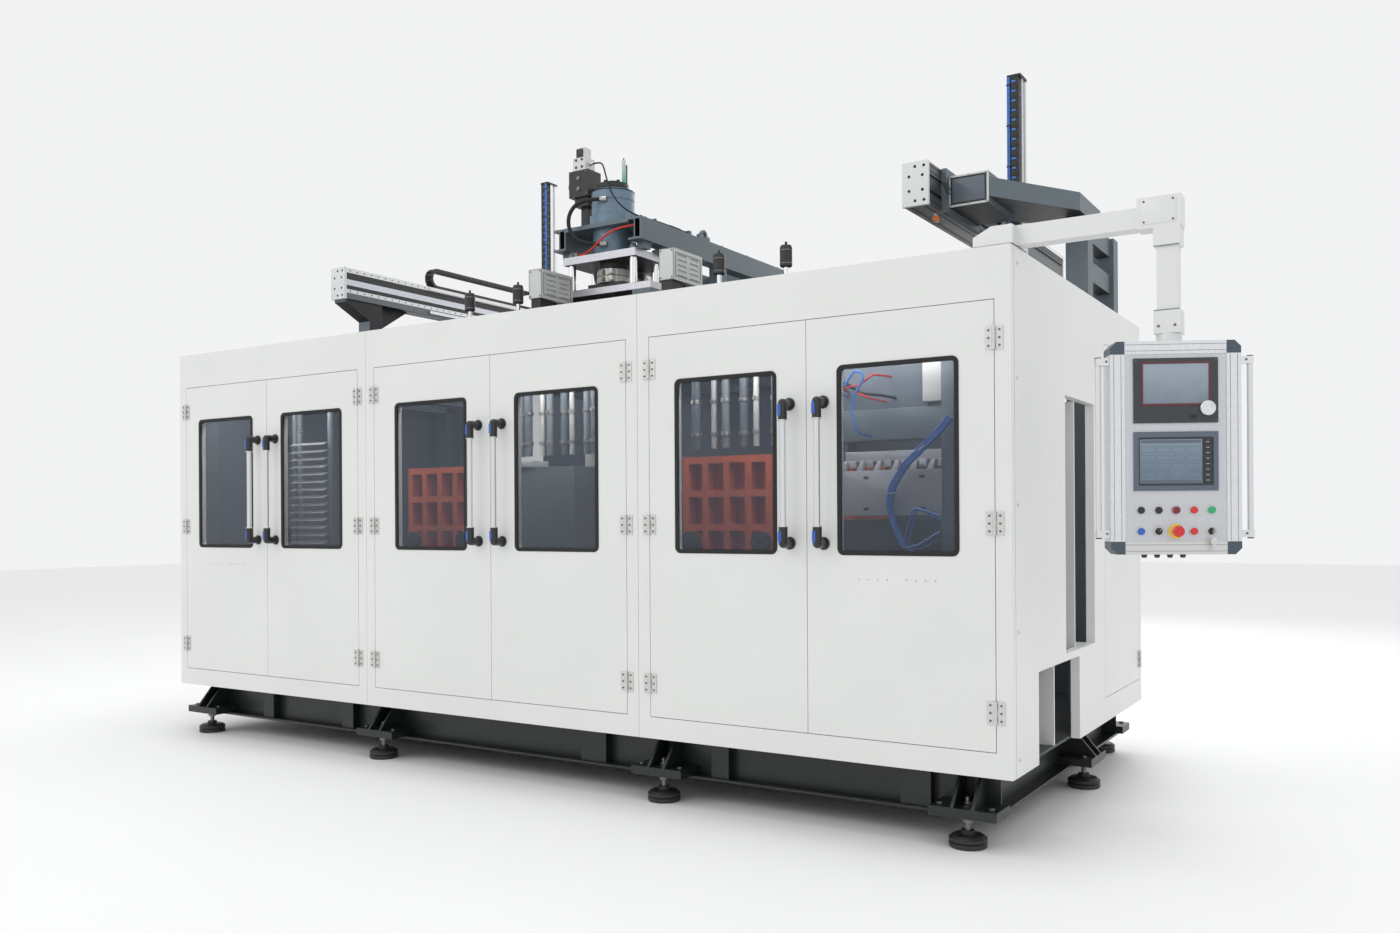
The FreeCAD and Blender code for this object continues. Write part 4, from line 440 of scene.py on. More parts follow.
class Finish(Enum):
    """Every finish on the machine: the record's slot that it belongs to, and its make-up."""

    ENCLOSURE_WHITE = ("panel_white", Paint((0.755, 0.765, 0.745), 0.34, 0.015, 0.08))
    LINER_WHITE = ("panel_white", Paint((0.70, 0.71, 0.70), 0.42, 0.03, 0.08))
    # Painted shade: a dark copy of the panel paint on the skin's inside faces, standing for the
    # shade inside the enclosure.
    INNER_PAINTED_SHADE = ("panel_white", Paint((0.085, 0.100, 0.130), 0.5, 0.10, 0.10))
    BASE_BLACK = ("frame_black", Paint((0.007, 0.011, 0.010), 0.42, 0.08, 0.04, 0.0, 0.12))
    FLOOR_PLATE = ("frame_black", Paint((0.03, 0.034, 0.036), 0.5, 0.15, 0.15, 0.05))
    FOOT_NYLON = ("foot_black", Moulded((0.02, 0.02, 0.021), 0.48, 420.0, 0.3))
    SCREW_STEEL = ("foot_black", Metal((0.20, 0.20, 0.20), 0.4, (1.0, 1.0, 20.0), 0.2))
    HINGE_STEEL = ("hinge_steel", Metal((0.62, 0.62, 0.60), 0.34, (4.0, 4.0, 12.0), 0.15))
    STEELWORK_GREY = ("steelwork_grey", Paint((0.066, 0.088, 0.108), 0.42, 0.08, 0.18))
    STEELWORK_PALE = ("steelwork_grey", Paint((0.125, 0.150, 0.180), 0.40, 0.06, 0.15))
    # Near-black steelwork; on the gantry supports' downward and right-facing faces it is painted
    # shade.
    STEELWORK_DARK = ("steelwork_grey", Paint((0.009, 0.010, 0.012), 0.5, 0.15, 0.18))
    SMOKED_PANE = ("smoked_glass", Pane((0.040, 0.054, 0.080), 0.34))
    PROFILE_SILVER = ("profile_silver", Metal((0.66, 0.67, 0.68), 0.36, (30.0, 1.0, 30.0)))
    PROFILE_PALE = ("profile_silver", Metal((0.70, 0.72, 0.78), 0.5, (30.0, 1.0, 30.0), 0.1, 0.3))
    PROFILE_DARK = ("profile_silver", Metal((0.17, 0.18, 0.19), 0.42, (30.0, 1.0, 30.0)))
    END_PLATE_WHITE = ("profile_silver", Paint((0.74, 0.75, 0.75), 0.4, 0.03, 0.1))
    CHAIN_NYLON = ("chain_black", Moulded((0.016, 0.016, 0.017), 0.46, 500.0, 0.25))
    PLATE_STEEL = ("plate_silver", Metal((0.60, 0.60, 0.64), 0.36, (3.0, 40.0, 3.0), 0.08, 0.9))
    CHROME = ("plate_silver", Metal((0.82, 0.83, 0.85), 0.09, (2.0, 2.0, 20.0), 0.02, 1.0, 0.05))
    # Black paint; on the head tower's downward faces it is painted shade.
    HEAD_BLACK = ("head_black", Paint((0.02, 0.02, 0.021), 0.55, 0.25, 0.35))
    HEATER_BAND = ("head_black", Metal((0.42, 0.40, 0.37), 0.38, (2.0, 2.0, 30.0), 0.15, 0.9))
    CYLINDER_BLUE = ("cylinder_blue", Paint((0.062, 0.086, 0.125), 0.33, 0.08, 0.14, 0.0, 0.3))
    VALVE_BLACK = ("valve_black", Paint((0.016, 0.016, 0.018), 0.34, 0.2, 0.2, 0.0, 0.2))
    COVER_GREY = ("cover_grey", Paint((0.55, 0.56, 0.57), 0.4, 0.03, 0.12))
    MOTOR_GREY = ("cover_grey", Paint((0.20, 0.23, 0.25), 0.45, 0.08, 0.2))
    HOSE_BLACK = ("hose_black", Moulded((0.014, 0.014, 0.015), 0.38, 900.0, 0.12))
    HOSE_RED = ("hose_red", Moulded((0.50, 0.025, 0.02), 0.34, 900.0, 0.08))
    FITTING_STEEL = ("hose_black", Metal((0.55, 0.54, 0.52), 0.28, (4.0, 4.0, 4.0), 0.15))
    TUBE_BLUE = ("robot_silver", Moulded((0.03, 0.16, 0.55), 0.3, 600.0, 0.05, 0.3))
    SENSOR_GREEN = ("cylinder_blue", Moulded((0.03, 0.42, 0.30), 0.35, 600.0, 0.1, 0.3))
    SENSOR_ORANGE = ("platen_orange", Moulded((0.70, 0.20, 0.03), 0.35, 600.0, 0.1, 0.3))
    ARM_LIGHT = ("arm_light", Paint((0.70, 0.715, 0.72), 0.36, 0.03, 0.1))
    PENDANT_PROFILE = ("arm_light", Metal((0.74, 0.75, 0.77), 0.42, (20.0, 20.0, 1.0), 0.06, 0.5))
    PENDANT_SHEET = ("arm_light", Metal((0.60, 0.615, 0.64), 0.44, (30.0, 30.0, 2.0), 0.05, 0.5))
    PENDANT_CORNER = ("pendant_grey", Moulded((0.055, 0.075, 0.10), 0.4, 500.0, 0.15, 0.1))
    BEZEL_CHARCOAL = ("screen_dark", Moulded((0.028, 0.032, 0.038), 0.36, 650.0, 0.12, 0.2))
    BEZEL_BLUE = ("screen_dark", Moulded((0.10, 0.125, 0.165), 0.4, 650.0, 0.12, 0.1))
    FRAME_DARK_RED = ("screen_dark", Moulded((0.10, 0.012, 0.018), 0.3, 650.0, 0.05, 0.3))
    KEY_DARK = ("screen_dark", Moulded((0.02, 0.025, 0.035), 0.35, 650.0, 0.1, 0.2))
    UPPER_DISPLAY = ("screen_dark", Display((0.16, 0.20, 0.25), (0.26, 0.31, 0.37), 0.12,
                                            1.69, 1.84))
    LOWER_DISPLAY = ("screen_dark", Display((0.10, 0.15, 0.20), (0.17, 0.23, 0.29), 0.1,
                                            1.40, 1.58))
    GRIP_SILVER = ("grip_silver", Metal((0.74, 0.75, 0.76), 0.26, (2.0, 2.0, 30.0), 0.05))
    GRIP_BLACK = ("head_black", Moulded((0.014, 0.014, 0.015), 0.36, 600.0, 0.1, 0.2))
    INSET_BLUE = ("button_blue", Moulded((0.015, 0.10, 0.50), 0.3, 600.0, 0.05, 0.3))
    BUTTON_BLACK = ("button_black", Moulded((0.012, 0.012, 0.013), 0.26, 700.0, 0.04, 0.5))
    BUTTON_RED = ("button_red", Moulded((0.55, 0.012, 0.015), 0.26, 700.0, 0.04, 0.5))
    BUZZER_RED = ("button_red", Moulded((0.20, 0.010, 0.014), 0.3, 700.0, 0.05, 0.4))
    BUTTON_GREEN = ("button_green", Moulded((0.01, 0.36, 0.13), 0.26, 700.0, 0.04, 0.5))
    BUTTON_BLUE = ("button_blue", Moulded((0.02, 0.09, 0.45), 0.26, 700.0, 0.04, 0.5))
    RING_YELLOW = ("button_black", Moulded((0.80, 0.55, 0.02), 0.4, 650.0, 0.08, 0.2))
    PLATEN_ORANGE = ("platen_orange", Paint((0.72, 0.105, 0.030), 0.42, 0.12, 0.25, 0.0, 0.1))
    MOULD_STEEL = ("plate_silver", Metal((0.50, 0.51, 0.52), 0.3, (3.0, 3.0, 30.0), 0.1))
    ROBOT_SILVER = ("robot_silver", Metal((0.62, 0.63, 0.65), 0.34, (30.0, 30.0, 1.0)))
    CABLE_TRUNK = ("cover_grey", Moulded((0.42, 0.43, 0.47), 0.55, 500.0, 0.15))

    @property
    def slot(self) -> str:
        """The record's material slot."""
        return self.value[0]

    def material(self) -> bpy.types.Material:
        """The finish's material, built when it is first asked for."""
        name = self.name.lower()
        held = bpy.data.materials.get(name)
        if held is None:
            board = Board(name)
            self.value[1].lay(board)
            held = board.material
        return held


def block(low: Sequence[float], high: Sequence[float], bevel: float = 0.0,
          rounds: int = 2) -> bmesh.types.BMesh:
    """A block between two corners.

    Args:
        low: Its lowest corner.
        high: Its highest corner.
        bevel: The width of its edges' bevel.
        rounds: The bevel's segments.

    Returns:
        The part.
    """
    part = bmesh.new()
    size = Vector(high) - Vector(low)
    middle = (Vector(high) + Vector(low)) / 2
    bmesh.ops.create_cube(part, size=1.0,
                          matrix=Matrix.Translation(middle) @ Matrix.Diagonal((*size, 1.0)))
    if bevel:
        bmesh.ops.bevel(part, geom=part.edges[:], offset=bevel, affect="EDGES", segments=rounds,
                        profile=0.5, material=-1)
    return part


def rod(radius: float, length: float, rim: float = 0.0, sides: int = 24,
        end: float | None = None) -> bmesh.types.BMesh:
    """An upright round bar that stands on the origin.

    Args:
        radius: Its radius at the foot.
        length: Its length.
        rim: The bevel of its two rims.
        sides: The sides of its circle.
        end: Its radius at the top, where that differs.

    Returns:
        The part.
    """
    part = bmesh.new()
    bmesh.ops.create_cone(part, cap_ends=True, cap_tris=False, segments=sides, radius1=radius,
                          radius2=radius if end is None else end, depth=length,
                          matrix=Matrix.Translation((0, 0, length / 2)))
    if rim:
        rims = [edge for edge in part.edges
                if abs(edge.verts[0].co.z - edge.verts[1].co.z) < 1e-7]
        bmesh.ops.bevel(part, geom=rims, offset=rim, affect="EDGES", segments=2, profile=0.5,
                        material=-1)
    return part


def lathe(profile: Sequence[tuple[float, float]], sides: int = 36) -> bmesh.types.BMesh:
    """A turned part about the Z axis.

    Args:
        profile: Radius and height of each point of its outline, in order.
        sides: The steps of the full turn.

    Returns:
        The part.
    """
    part = bmesh.new()
    points = [part.verts.new((radius, 0.0, up)) for radius, up in profile]
    lines = [part.edges.new(pair) for pair in zip(points, points[1:])]
    if profile[0][0] > 0 and profile[-1][0] > 0:
        lines.append(part.edges.new((points[-1], points[0])))
    bmesh.ops.spin(part, geom=points + lines, cent=(0, 0, 0), axis=(0, 0, 1), dvec=(0, 0, 0),
                   angle=math.tau, steps=sides, use_merge=True)
    bmesh.ops.remove_doubles(part, verts=part.verts[:], dist=1e-6)
    return part


def frame(wide: float, high: float, band: float, thick: float, corner: float,
          edge: float = 0.0) -> bmesh.types.BMesh:
    """A flat frame with round corners, in the XZ plane, its back on Y = 0 and its front on -Y.

    Args:
        wide: Its outer width.
        high: Its outer height.
        band: The width of its band; 0 makes a full plate.
        thick: Its thickness.
        corner: The radius of its outer corners.
        edge: The bevel of its front edges.

    Returns:
        The part.
    """
    part = bmesh.new()
    upright = Matrix.Rotation(math.radians(90), 4, "X") @ Matrix.Diagonal((wide, high, 1.0, 1.0))
    bmesh.ops.create_grid(part, x_segments=1, y_segments=1, size=0.5, matrix=upright)
    if corner:
        bmesh.ops.bevel(part, geom=part.verts[:], offset=corner, affect="VERTICES", segments=6,
                        profile=0.5, material=-1)
    if band:
        middle = part.faces[:]
        bmesh.ops.inset_region(part, faces=middle, thickness=band, use_even_offset=True,
                               use_boundary=True)
        bmesh.ops.delete(part, geom=middle, context="FACES")
    grown = bmesh.ops.extrude_face_region(part, geom=part.faces[:])
    front = [item for item in grown["geom"] if isinstance(item, bmesh.types.BMVert)]
    bmesh.ops.translate(part, verts=front, vec=(0, -thick, 0))
    if edge:
        rim = [line for line in part.edges if len(line.link_faces) == 2
               and all(vert.co.y < -thick + 1e-6 for vert in line.verts)
               and abs(line.link_faces[0].normal.dot(line.link_faces[1].normal)) < 0.5]
        bmesh.ops.recalc_face_normals(part, faces=part.faces[:])
        bmesh.ops.bevel(part, geom=rim, offset=edge, affect="EDGES", segments=2, profile=0.5,
                        material=-1)
    return part


def screw_head(radius: float, height: float, sides: int = 12) -> bmesh.types.BMesh:
    """A socket screw's head that stands on the origin.

    Args:
        radius: The head's radius.
        height: Its height.
        sides: The sides of its circle.

    Returns:
        The part.
    """
    part = rod(radius, height, radius * 0.12, sides)
    top = max(part.faces, key=lambda face: face.calc_center_median().z)
    bmesh.ops.inset_individual(part, faces=[top], thickness=radius * 0.4, use_even_offset=True)
    grown = bmesh.ops.extrude_discrete_faces(part, faces=[top])
    sunk = grown["faces"][0]
    bmesh.ops.inset_individual(part, faces=[sunk], thickness=1e-5, depth=-height * 0.55)
    return part


def hex_head(radius: float, height: float) -> bmesh.types.BMesh:
    """A hexagon head or nut that stands on the origin."""
    return rod(radius, height, radius * 0.08, 6)


def torus(ring: float, wire: float, sides: int = 32, angle: float = math.tau) -> bmesh.types.BMesh:
    """A round wire bent about the Z axis.

    Args:
        ring: The radius of the bend.
        wire: The radius of the wire.
        sides: The steps of the bend.
        angle: How far it is bent.

    Returns:
        The part.
    """
    part = bmesh.new()
    stand = Matrix.Translation((ring, 0, 0)) @ Matrix.Rotation(math.radians(90), 4, "X")
    made = bmesh.ops.create_circle(part, cap_ends=angle < math.tau, segments=12, radius=wire,
                                   matrix=stand)
    bmesh.ops.spin(part, geom=made["verts"] + part.edges[:] + part.faces[:], cent=(0, 0, 0),
                   axis=(0, 0, 1), dvec=(0, 0, 0), angle=angle, steps=sides,
                   use_merge=angle >= math.tau)
    return part


def prism(outline: Sequence[tuple[float, float]], thick: float,
          bevel: float = 0.0) -> bmesh.types.BMesh:
    """A plate of any outline in the XZ plane, its back on Y = 0 and its front on -Y.

    Args:
        outline: X and Z of each corner, in order.
        thick: Its thickness.
        bevel: The bevel of all its edges.

    Returns:
        The part.
    """
    part = bmesh.new()
    part.faces.new([part.verts.new((across, 0.0, up)) for across, up in outline])
    grown = bmesh.ops.extrude_face_region(part, geom=part.faces[:])
    front = [item for item in grown["geom"] if isinstance(item, bmesh.types.BMVert)]
    bmesh.ops.translate(part, verts=front, vec=(0, -thick, 0))
    if bevel:
        bmesh.ops.recalc_face_normals(part, faces=part.faces[:])
        bmesh.ops.bevel(part, geom=part.edges[:], offset=bevel, affect="EDGES", segments=2,
                        profile=0.5, material=-1)
    return part


def pipe(points: Sequence[Sequence[float]], radius: float, bend: float,
         sides: int = 14) -> bmesh.types.BMesh:
    """A rigid pipe along straight runs, with a round bend at each corner.

    Args:
        points: The corners of its line.
        radius: Its radius.
        bend: The radius of its bends.
        sides: The sides of its circle.

    Returns:
        The part.
    """
    spots = [Vector(point) for point in points]
    stations: list[tuple[Vector, Vector]] = [(spots[0], (spots[1] - spots[0]).normalized())]
    for before, corner, after in zip(spots, spots[1:], spots[2:]):
        inward, outward = (corner - before).normalized(), (after - corner).normalized()
        turn = inward.angle(outward)
        back = bend * math.tan(turn / 2)
        axis = inward.cross(outward).normalized()
        start = corner - inward * back
        centre = start + axis.cross(inward) * bend
        for step in range(7):
            swing = Matrix.Rotation(turn * step / 6, 3, axis)
            stations.append((centre + swing @ (start - centre), swing @ inward))
    stations.append((spots[-1], (spots[-1] - spots[-2]).normalized()))
    part = bmesh.new()
    ring = bmesh.ops.create_circle(part, cap_ends=True, segments=sides, radius=radius,
                                   matrix=towards(*stations[0]))["verts"]
    for before, after in zip(stations, stations[1:]):
        swing = before[1].rotation_difference(after[1]).to_matrix().to_4x4()
        move = Matrix.Translation(after[0]) @ swing @ Matrix.Translation(-before[0])
        lines = [line for line in {line for vert in ring for line in vert.link_edges}
                 if all(vert in ring for vert in line.verts)]
        grown = bmesh.ops.extrude_edge_only(part, edges=lines)
        ring = [item for item in grown["geom"] if isinstance(item, bmesh.types.BMVert)]
        bmesh.ops.transform(part, matrix=move, verts=ring)
    bmesh.ops.contextual_create(part, geom=ring)
    return part


def moved(place: Vector | Spot) -> Matrix:
    """The move to a place, without a turn."""
    return Matrix.Translation(place)


def towards(start: Sequence[float], way: Sequence[float]) -> Matrix:
    """The matrix that carries a part made upright at the origin to start, standing along way."""
    turn = Vector(way).normalized().to_track_quat("Z", "Y").to_matrix().to_4x4()
    return moved(Vector(start)) @ turn


class Piece:
    """A piece in the making: the parts that it is put together from, and their finishes."""

    def __init__(self, name: str, body: str, placing: Matrix | None = None) -> None:
        """Starts an empty piece.

        Args:
            name: The piece's name.
            body: The body that it rides on.
            placing: Where its parts' own frame lies in the machine's.
        """
        self.name = name
        self.body = body
        self.placing = placing or Matrix.Identity(4)
        self.draft = bmesh.new()
        self.finishes: list[Finish] = []

    def take(self, part: bmesh.types.BMesh, finish: Finish,
             *matrices: Matrix) -> Piece:
        """Takes in a part, once for each matrix.

        Args:
            part: The part, which is freed.
            finish: Its finish.
            matrices: Its places; one at the origin if there is none.

        Returns:
            The piece itself.
        """
        if finish not in self.finishes:
            self.finishes.append(finish)
        number = self.finishes.index(finish)
        bmesh.ops.remove_doubles(part, verts=part.verts[:], dist=1e-6)
        bmesh.ops.recalc_face_normals(part, faces=part.faces[:])
        for face in part.faces:
            face.material_index = number
        mesh = bpy.data.meshes.new("part")
        part.to_mesh(mesh)
        part.free()
        for matrix in matrices or (Matrix.Identity(4),):
            placed = self.placing @ matrix
            mesh.transform(placed)
            self.draft.from_mesh(mesh)
            mesh.transform(placed.inverted())
        bpy.data.meshes.remove(mesh)
        return self

    def done(self, angle: float = 34.0) -> bpy.types.Object:
        """Makes the object, which rides on its body.

        Args:
            angle: The angle in degrees past which an edge stays sharp.

        Returns:
            The object.
        """
        mesh = bpy.data.meshes.new(self.name)
        self.draft.to_mesh(mesh)
        self.draft.free()
        for finish in self.finishes:
            mesh.materials.append(finish.material())
        mesh.polygons.foreach_set("use_smooth", [True] * len(mesh.polygons))
        mesh.set_sharp_from_angle(angle=math.radians(angle))
        made = bpy.data.objects.new(self.name, mesh)
        bpy.context.scene.collection.objects.link(made)
        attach(made, self.body)
        LOG.info("piece %s on %s, %d faces", self.name, self.body, len(mesh.polygons))
        return made


class Dresser:
    """Gives the CAD nodes their finishes, face by face where a node has more than one."""

    def __init__(self, nodes: dict[str, bpy.types.Object]) -> None:
        """Keeps the nodes of the frame."""
        self.nodes = nodes

    def dress(self, name: str, base: Finish, *zones: tuple[Finish, Faces]) -> None:
        """Sets a node's materials.

        Args:
            name: The node.
            base: The finish of every face that no zone takes.
            zones: A finish and the test, on the faces' centres and normals, of where it lies.
        """
        mesh = self.nodes[name].data
        mesh.materials.clear()
        mesh.materials.append(base.material())
        count = len(mesh.polygons)
        centres = np.empty(count * 3, np.float32)
        normals = np.empty(count * 3, np.float32)
        mesh.polygons.foreach_get("center", centres)
        mesh.polygons.foreach_get("normal", normals)
        centres, normals = centres.reshape(-1, 3), normals.reshape(-1, 3)
        index = np.zeros(count, np.int32)
        for number, (finish, test) in enumerate(zones, start=1):
            mesh.materials.append(finish.material())
            index[test(centres, normals)] = number
        mesh.polygons.foreach_set("material_index", index)
        mesh.update()
        LOG.info("node %s in %s", name, base.name.lower())


def above(height: float) -> Faces:
    """Faces over a height."""
    return lambda at, out: at[:, 2] > height


def below(height: float) -> Faces:
    """Faces under a height."""
    return lambda at, out: at[:, 2] < height


def inside(low: Sequence[float], high: Sequence[float]) -> Faces:
    """Faces whose centres lie between two corners."""
    return lambda at, out: np.all((at > np.array(low)) & (at < np.array(high)), axis=1)


def around(middle: Sequence[float], radius: float, low: float = -1e9, high: float = 1e9) -> Faces:
    """Faces near an upright axis, between two heights."""
    return lambda at, out: ((at[:, 0] - middle[0]) ** 2 + (at[:, 1] - middle[1]) ** 2
                            < radius ** 2) & (at[:, 2] > low) & (at[:, 2] < high)


@dataclass
class Hose:
    """A hose or cable held at both ends, along the control points of its smooth line."""

    name: str
    radius: float
    length: float
    finish: Finish
    stiffness: str
    points: tuple[Spot, ...]
    middle: Spot = (-2.341, 0.835, 2.777)

    def build(self) -> None:
        """Makes the hose, which stands for the node of its own name."""
        line = bpy.data.curves.new(self.name, "CURVE")
        line.dimensions = "3D"
        line.resolution_u = 10
        line.bevel_depth = self.radius
        line.bevel_resolution = 5
        line.use_fill_caps = True
        spline = line.splines.new("NURBS")
        spline.points.add(len(self.points) - 1)
        for held, point in zip(spline.points, self.points):
            place = Vector(self.middle) + Vector(point) / 1000
            held.co = (*place, 1.0)
        spline.order_u = 3
        spline.use_endpoint_u = True
        line.materials.append(self.finish.material())
        made = bpy.data.objects.new(self.name + "_run", line)
        bpy.context.scene.collection.objects.link(made)
        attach(made, MACHINE)
        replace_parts(made, self.name)
        LOG.info("cord %s, %.3f m", self.name, self.length)


HOSES = (Hose("hydraulic_hose", 0.011, 0.496, Finish.HOSE_BLACK, "stiff",
    ((9.1, -136, 298), (-80.1, -187.5, 298), (-143.2, -223.9, 225.2), (-143.2, -223.9, 121.8),
    (-80.1, -187.5, 49), (9.1, -136, 49))), Hose("red_hose", 0.006, 0.454, Finish.HOSE_RED,
    "medium", ((-157, -118, 12), (-118, -118, 12), (-72, -146, 11), (-20, -168, 22), (30, -175, 52),
    (80, -172, 84), (130, -158, 110), (182, -140, 121), (256, -140, 121))),
    Hose("sensor_cable", 0.0045, 1.021, Finish.HOSE_BLACK, "medium", ((-152, -16, 550), (-96, -16,
    550), (-40, -52, 528), (8, -96, 484), (44, -126, 424), (76, -142, 360), (110, -146, 296),
    (150, -134, 242), (196, -104, 202), (240, -58, 181), (272, 2, 172), (281, 72, 171),
    (285, 156, 170), (283, 243, 170), (283, 330, 170))),)


@dataclass
class Studio:
    """The floor, the soft lights and the camera."""

    eye: Spot = (1.528, -4.358, 1.287)
    aim: Spot = (90.0, 0.334, 32.438)
    lens: float = 29.38
    shift: float = 0.0388
    floor: float = 60.0

    def build(self) -> None:
        """Makes all three."""
        self.camera()
        self.ground()
        self.lamps()

    def camera(self) -> None:
        """Sets up the camera."""
        data = bpy.data.cameras.new("view")
        data.lens = self.lens
        data.sensor_width = 36.0
        data.shift_y = self.shift
        data.clip_end = 200.0
        made = bpy.data.objects.new("view", data)
        made.location = self.eye
        made.rotation_euler = [math.radians(angle) for angle in self.aim]
        bpy.context.scene.collection.objects.link(made)
        bpy.context.scene.camera = made

    def ground(self) -> None:
        """Lays a pale floor, and an even pale world over it."""
        board = Board("studio_floor")
        cloud = board.noise(0.6, 2.0)
        board.feed("Base Color", board.mix(cloud, (0.88, 0.88, 0.88), (0.91, 0.91, 0.91)))
        board.feed("Roughness", cloud * 0.1 + 0.55)
        part = bmesh.new()
        bmesh.ops.create_grid(part, x_segments=1, y_segments=1, size=self.floor / 2,
                              matrix=moved((-2.4, 1.0, 0.0)))
        mesh = bpy.data.meshes.new("studio_floor")
        part.to_mesh(mesh)
        part.free()
        mesh.materials.append(board.material)
        made = bpy.data.objects.new("studio_floor", mesh)
        bpy.context.scene.collection.objects.link(made)
        made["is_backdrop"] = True
        world = bpy.data.worlds.new("studio")
        world.use_nodes = True
        back = world.node_tree.nodes["Background"]
        back.inputs[0].default_value = (0.985, 0.992, 1.0, 1.0)
        back.inputs[1].default_value = 0.90
        bpy.context.scene.world = world
        bpy.context.scene.view_settings.view_transform = "Standard"

    def lamps(self) -> None:
        """Hangs the soft boxes."""
        for name, place, target, size, power in (
                ("key", (-5.5, -7.5, 6.5), (-2.4, 0.5, 1.2), 5.0, 90.0),
                ("fill", (5.5, -4.0, 4.5), (0.2, 1.0, 1.3), 4.0, 15.0),
                ("top", (-2.4, 1.2, 9.0), (-2.4, 1.0, 0.0), 6.0, 200.0),
                ("rear", (-2.4, 9.0, 5.5), (-2.4, 2.0, 1.5), 5.0, 150.0)):
            data = bpy.data.lights.new(name, "AREA")
            data.shape = "SQUARE"
            data.size = size
            data.energy = power
            made = bpy.data.objects.new(name, data)
            made.location = place
            way = Vector(target) - Vector(place)
            made.rotation_euler = way.to_track_quat("-Z", "Y").to_euler()
            bpy.context.scene.collection.objects.link(made)
        for name, reach in (("inner_right", 0.95), ("inner_middle", 2.65), ("inner_left", 4.40)):
            data = bpy.data.lights.new(name, "AREA")
            data.shape = "RECTANGLE"
            data.size, data.size_y = 1.3, 0.25
            data.energy = 19.0
            made = bpy.data.objects.new(name, data)
            made.location = spot(reach, 0.16, 2.16)
            made.rotation_euler = (math.radians(42), 0.0, 0.0)
            made.visible_camera = False
            bpy.context.scene.collection.objects.link(made)


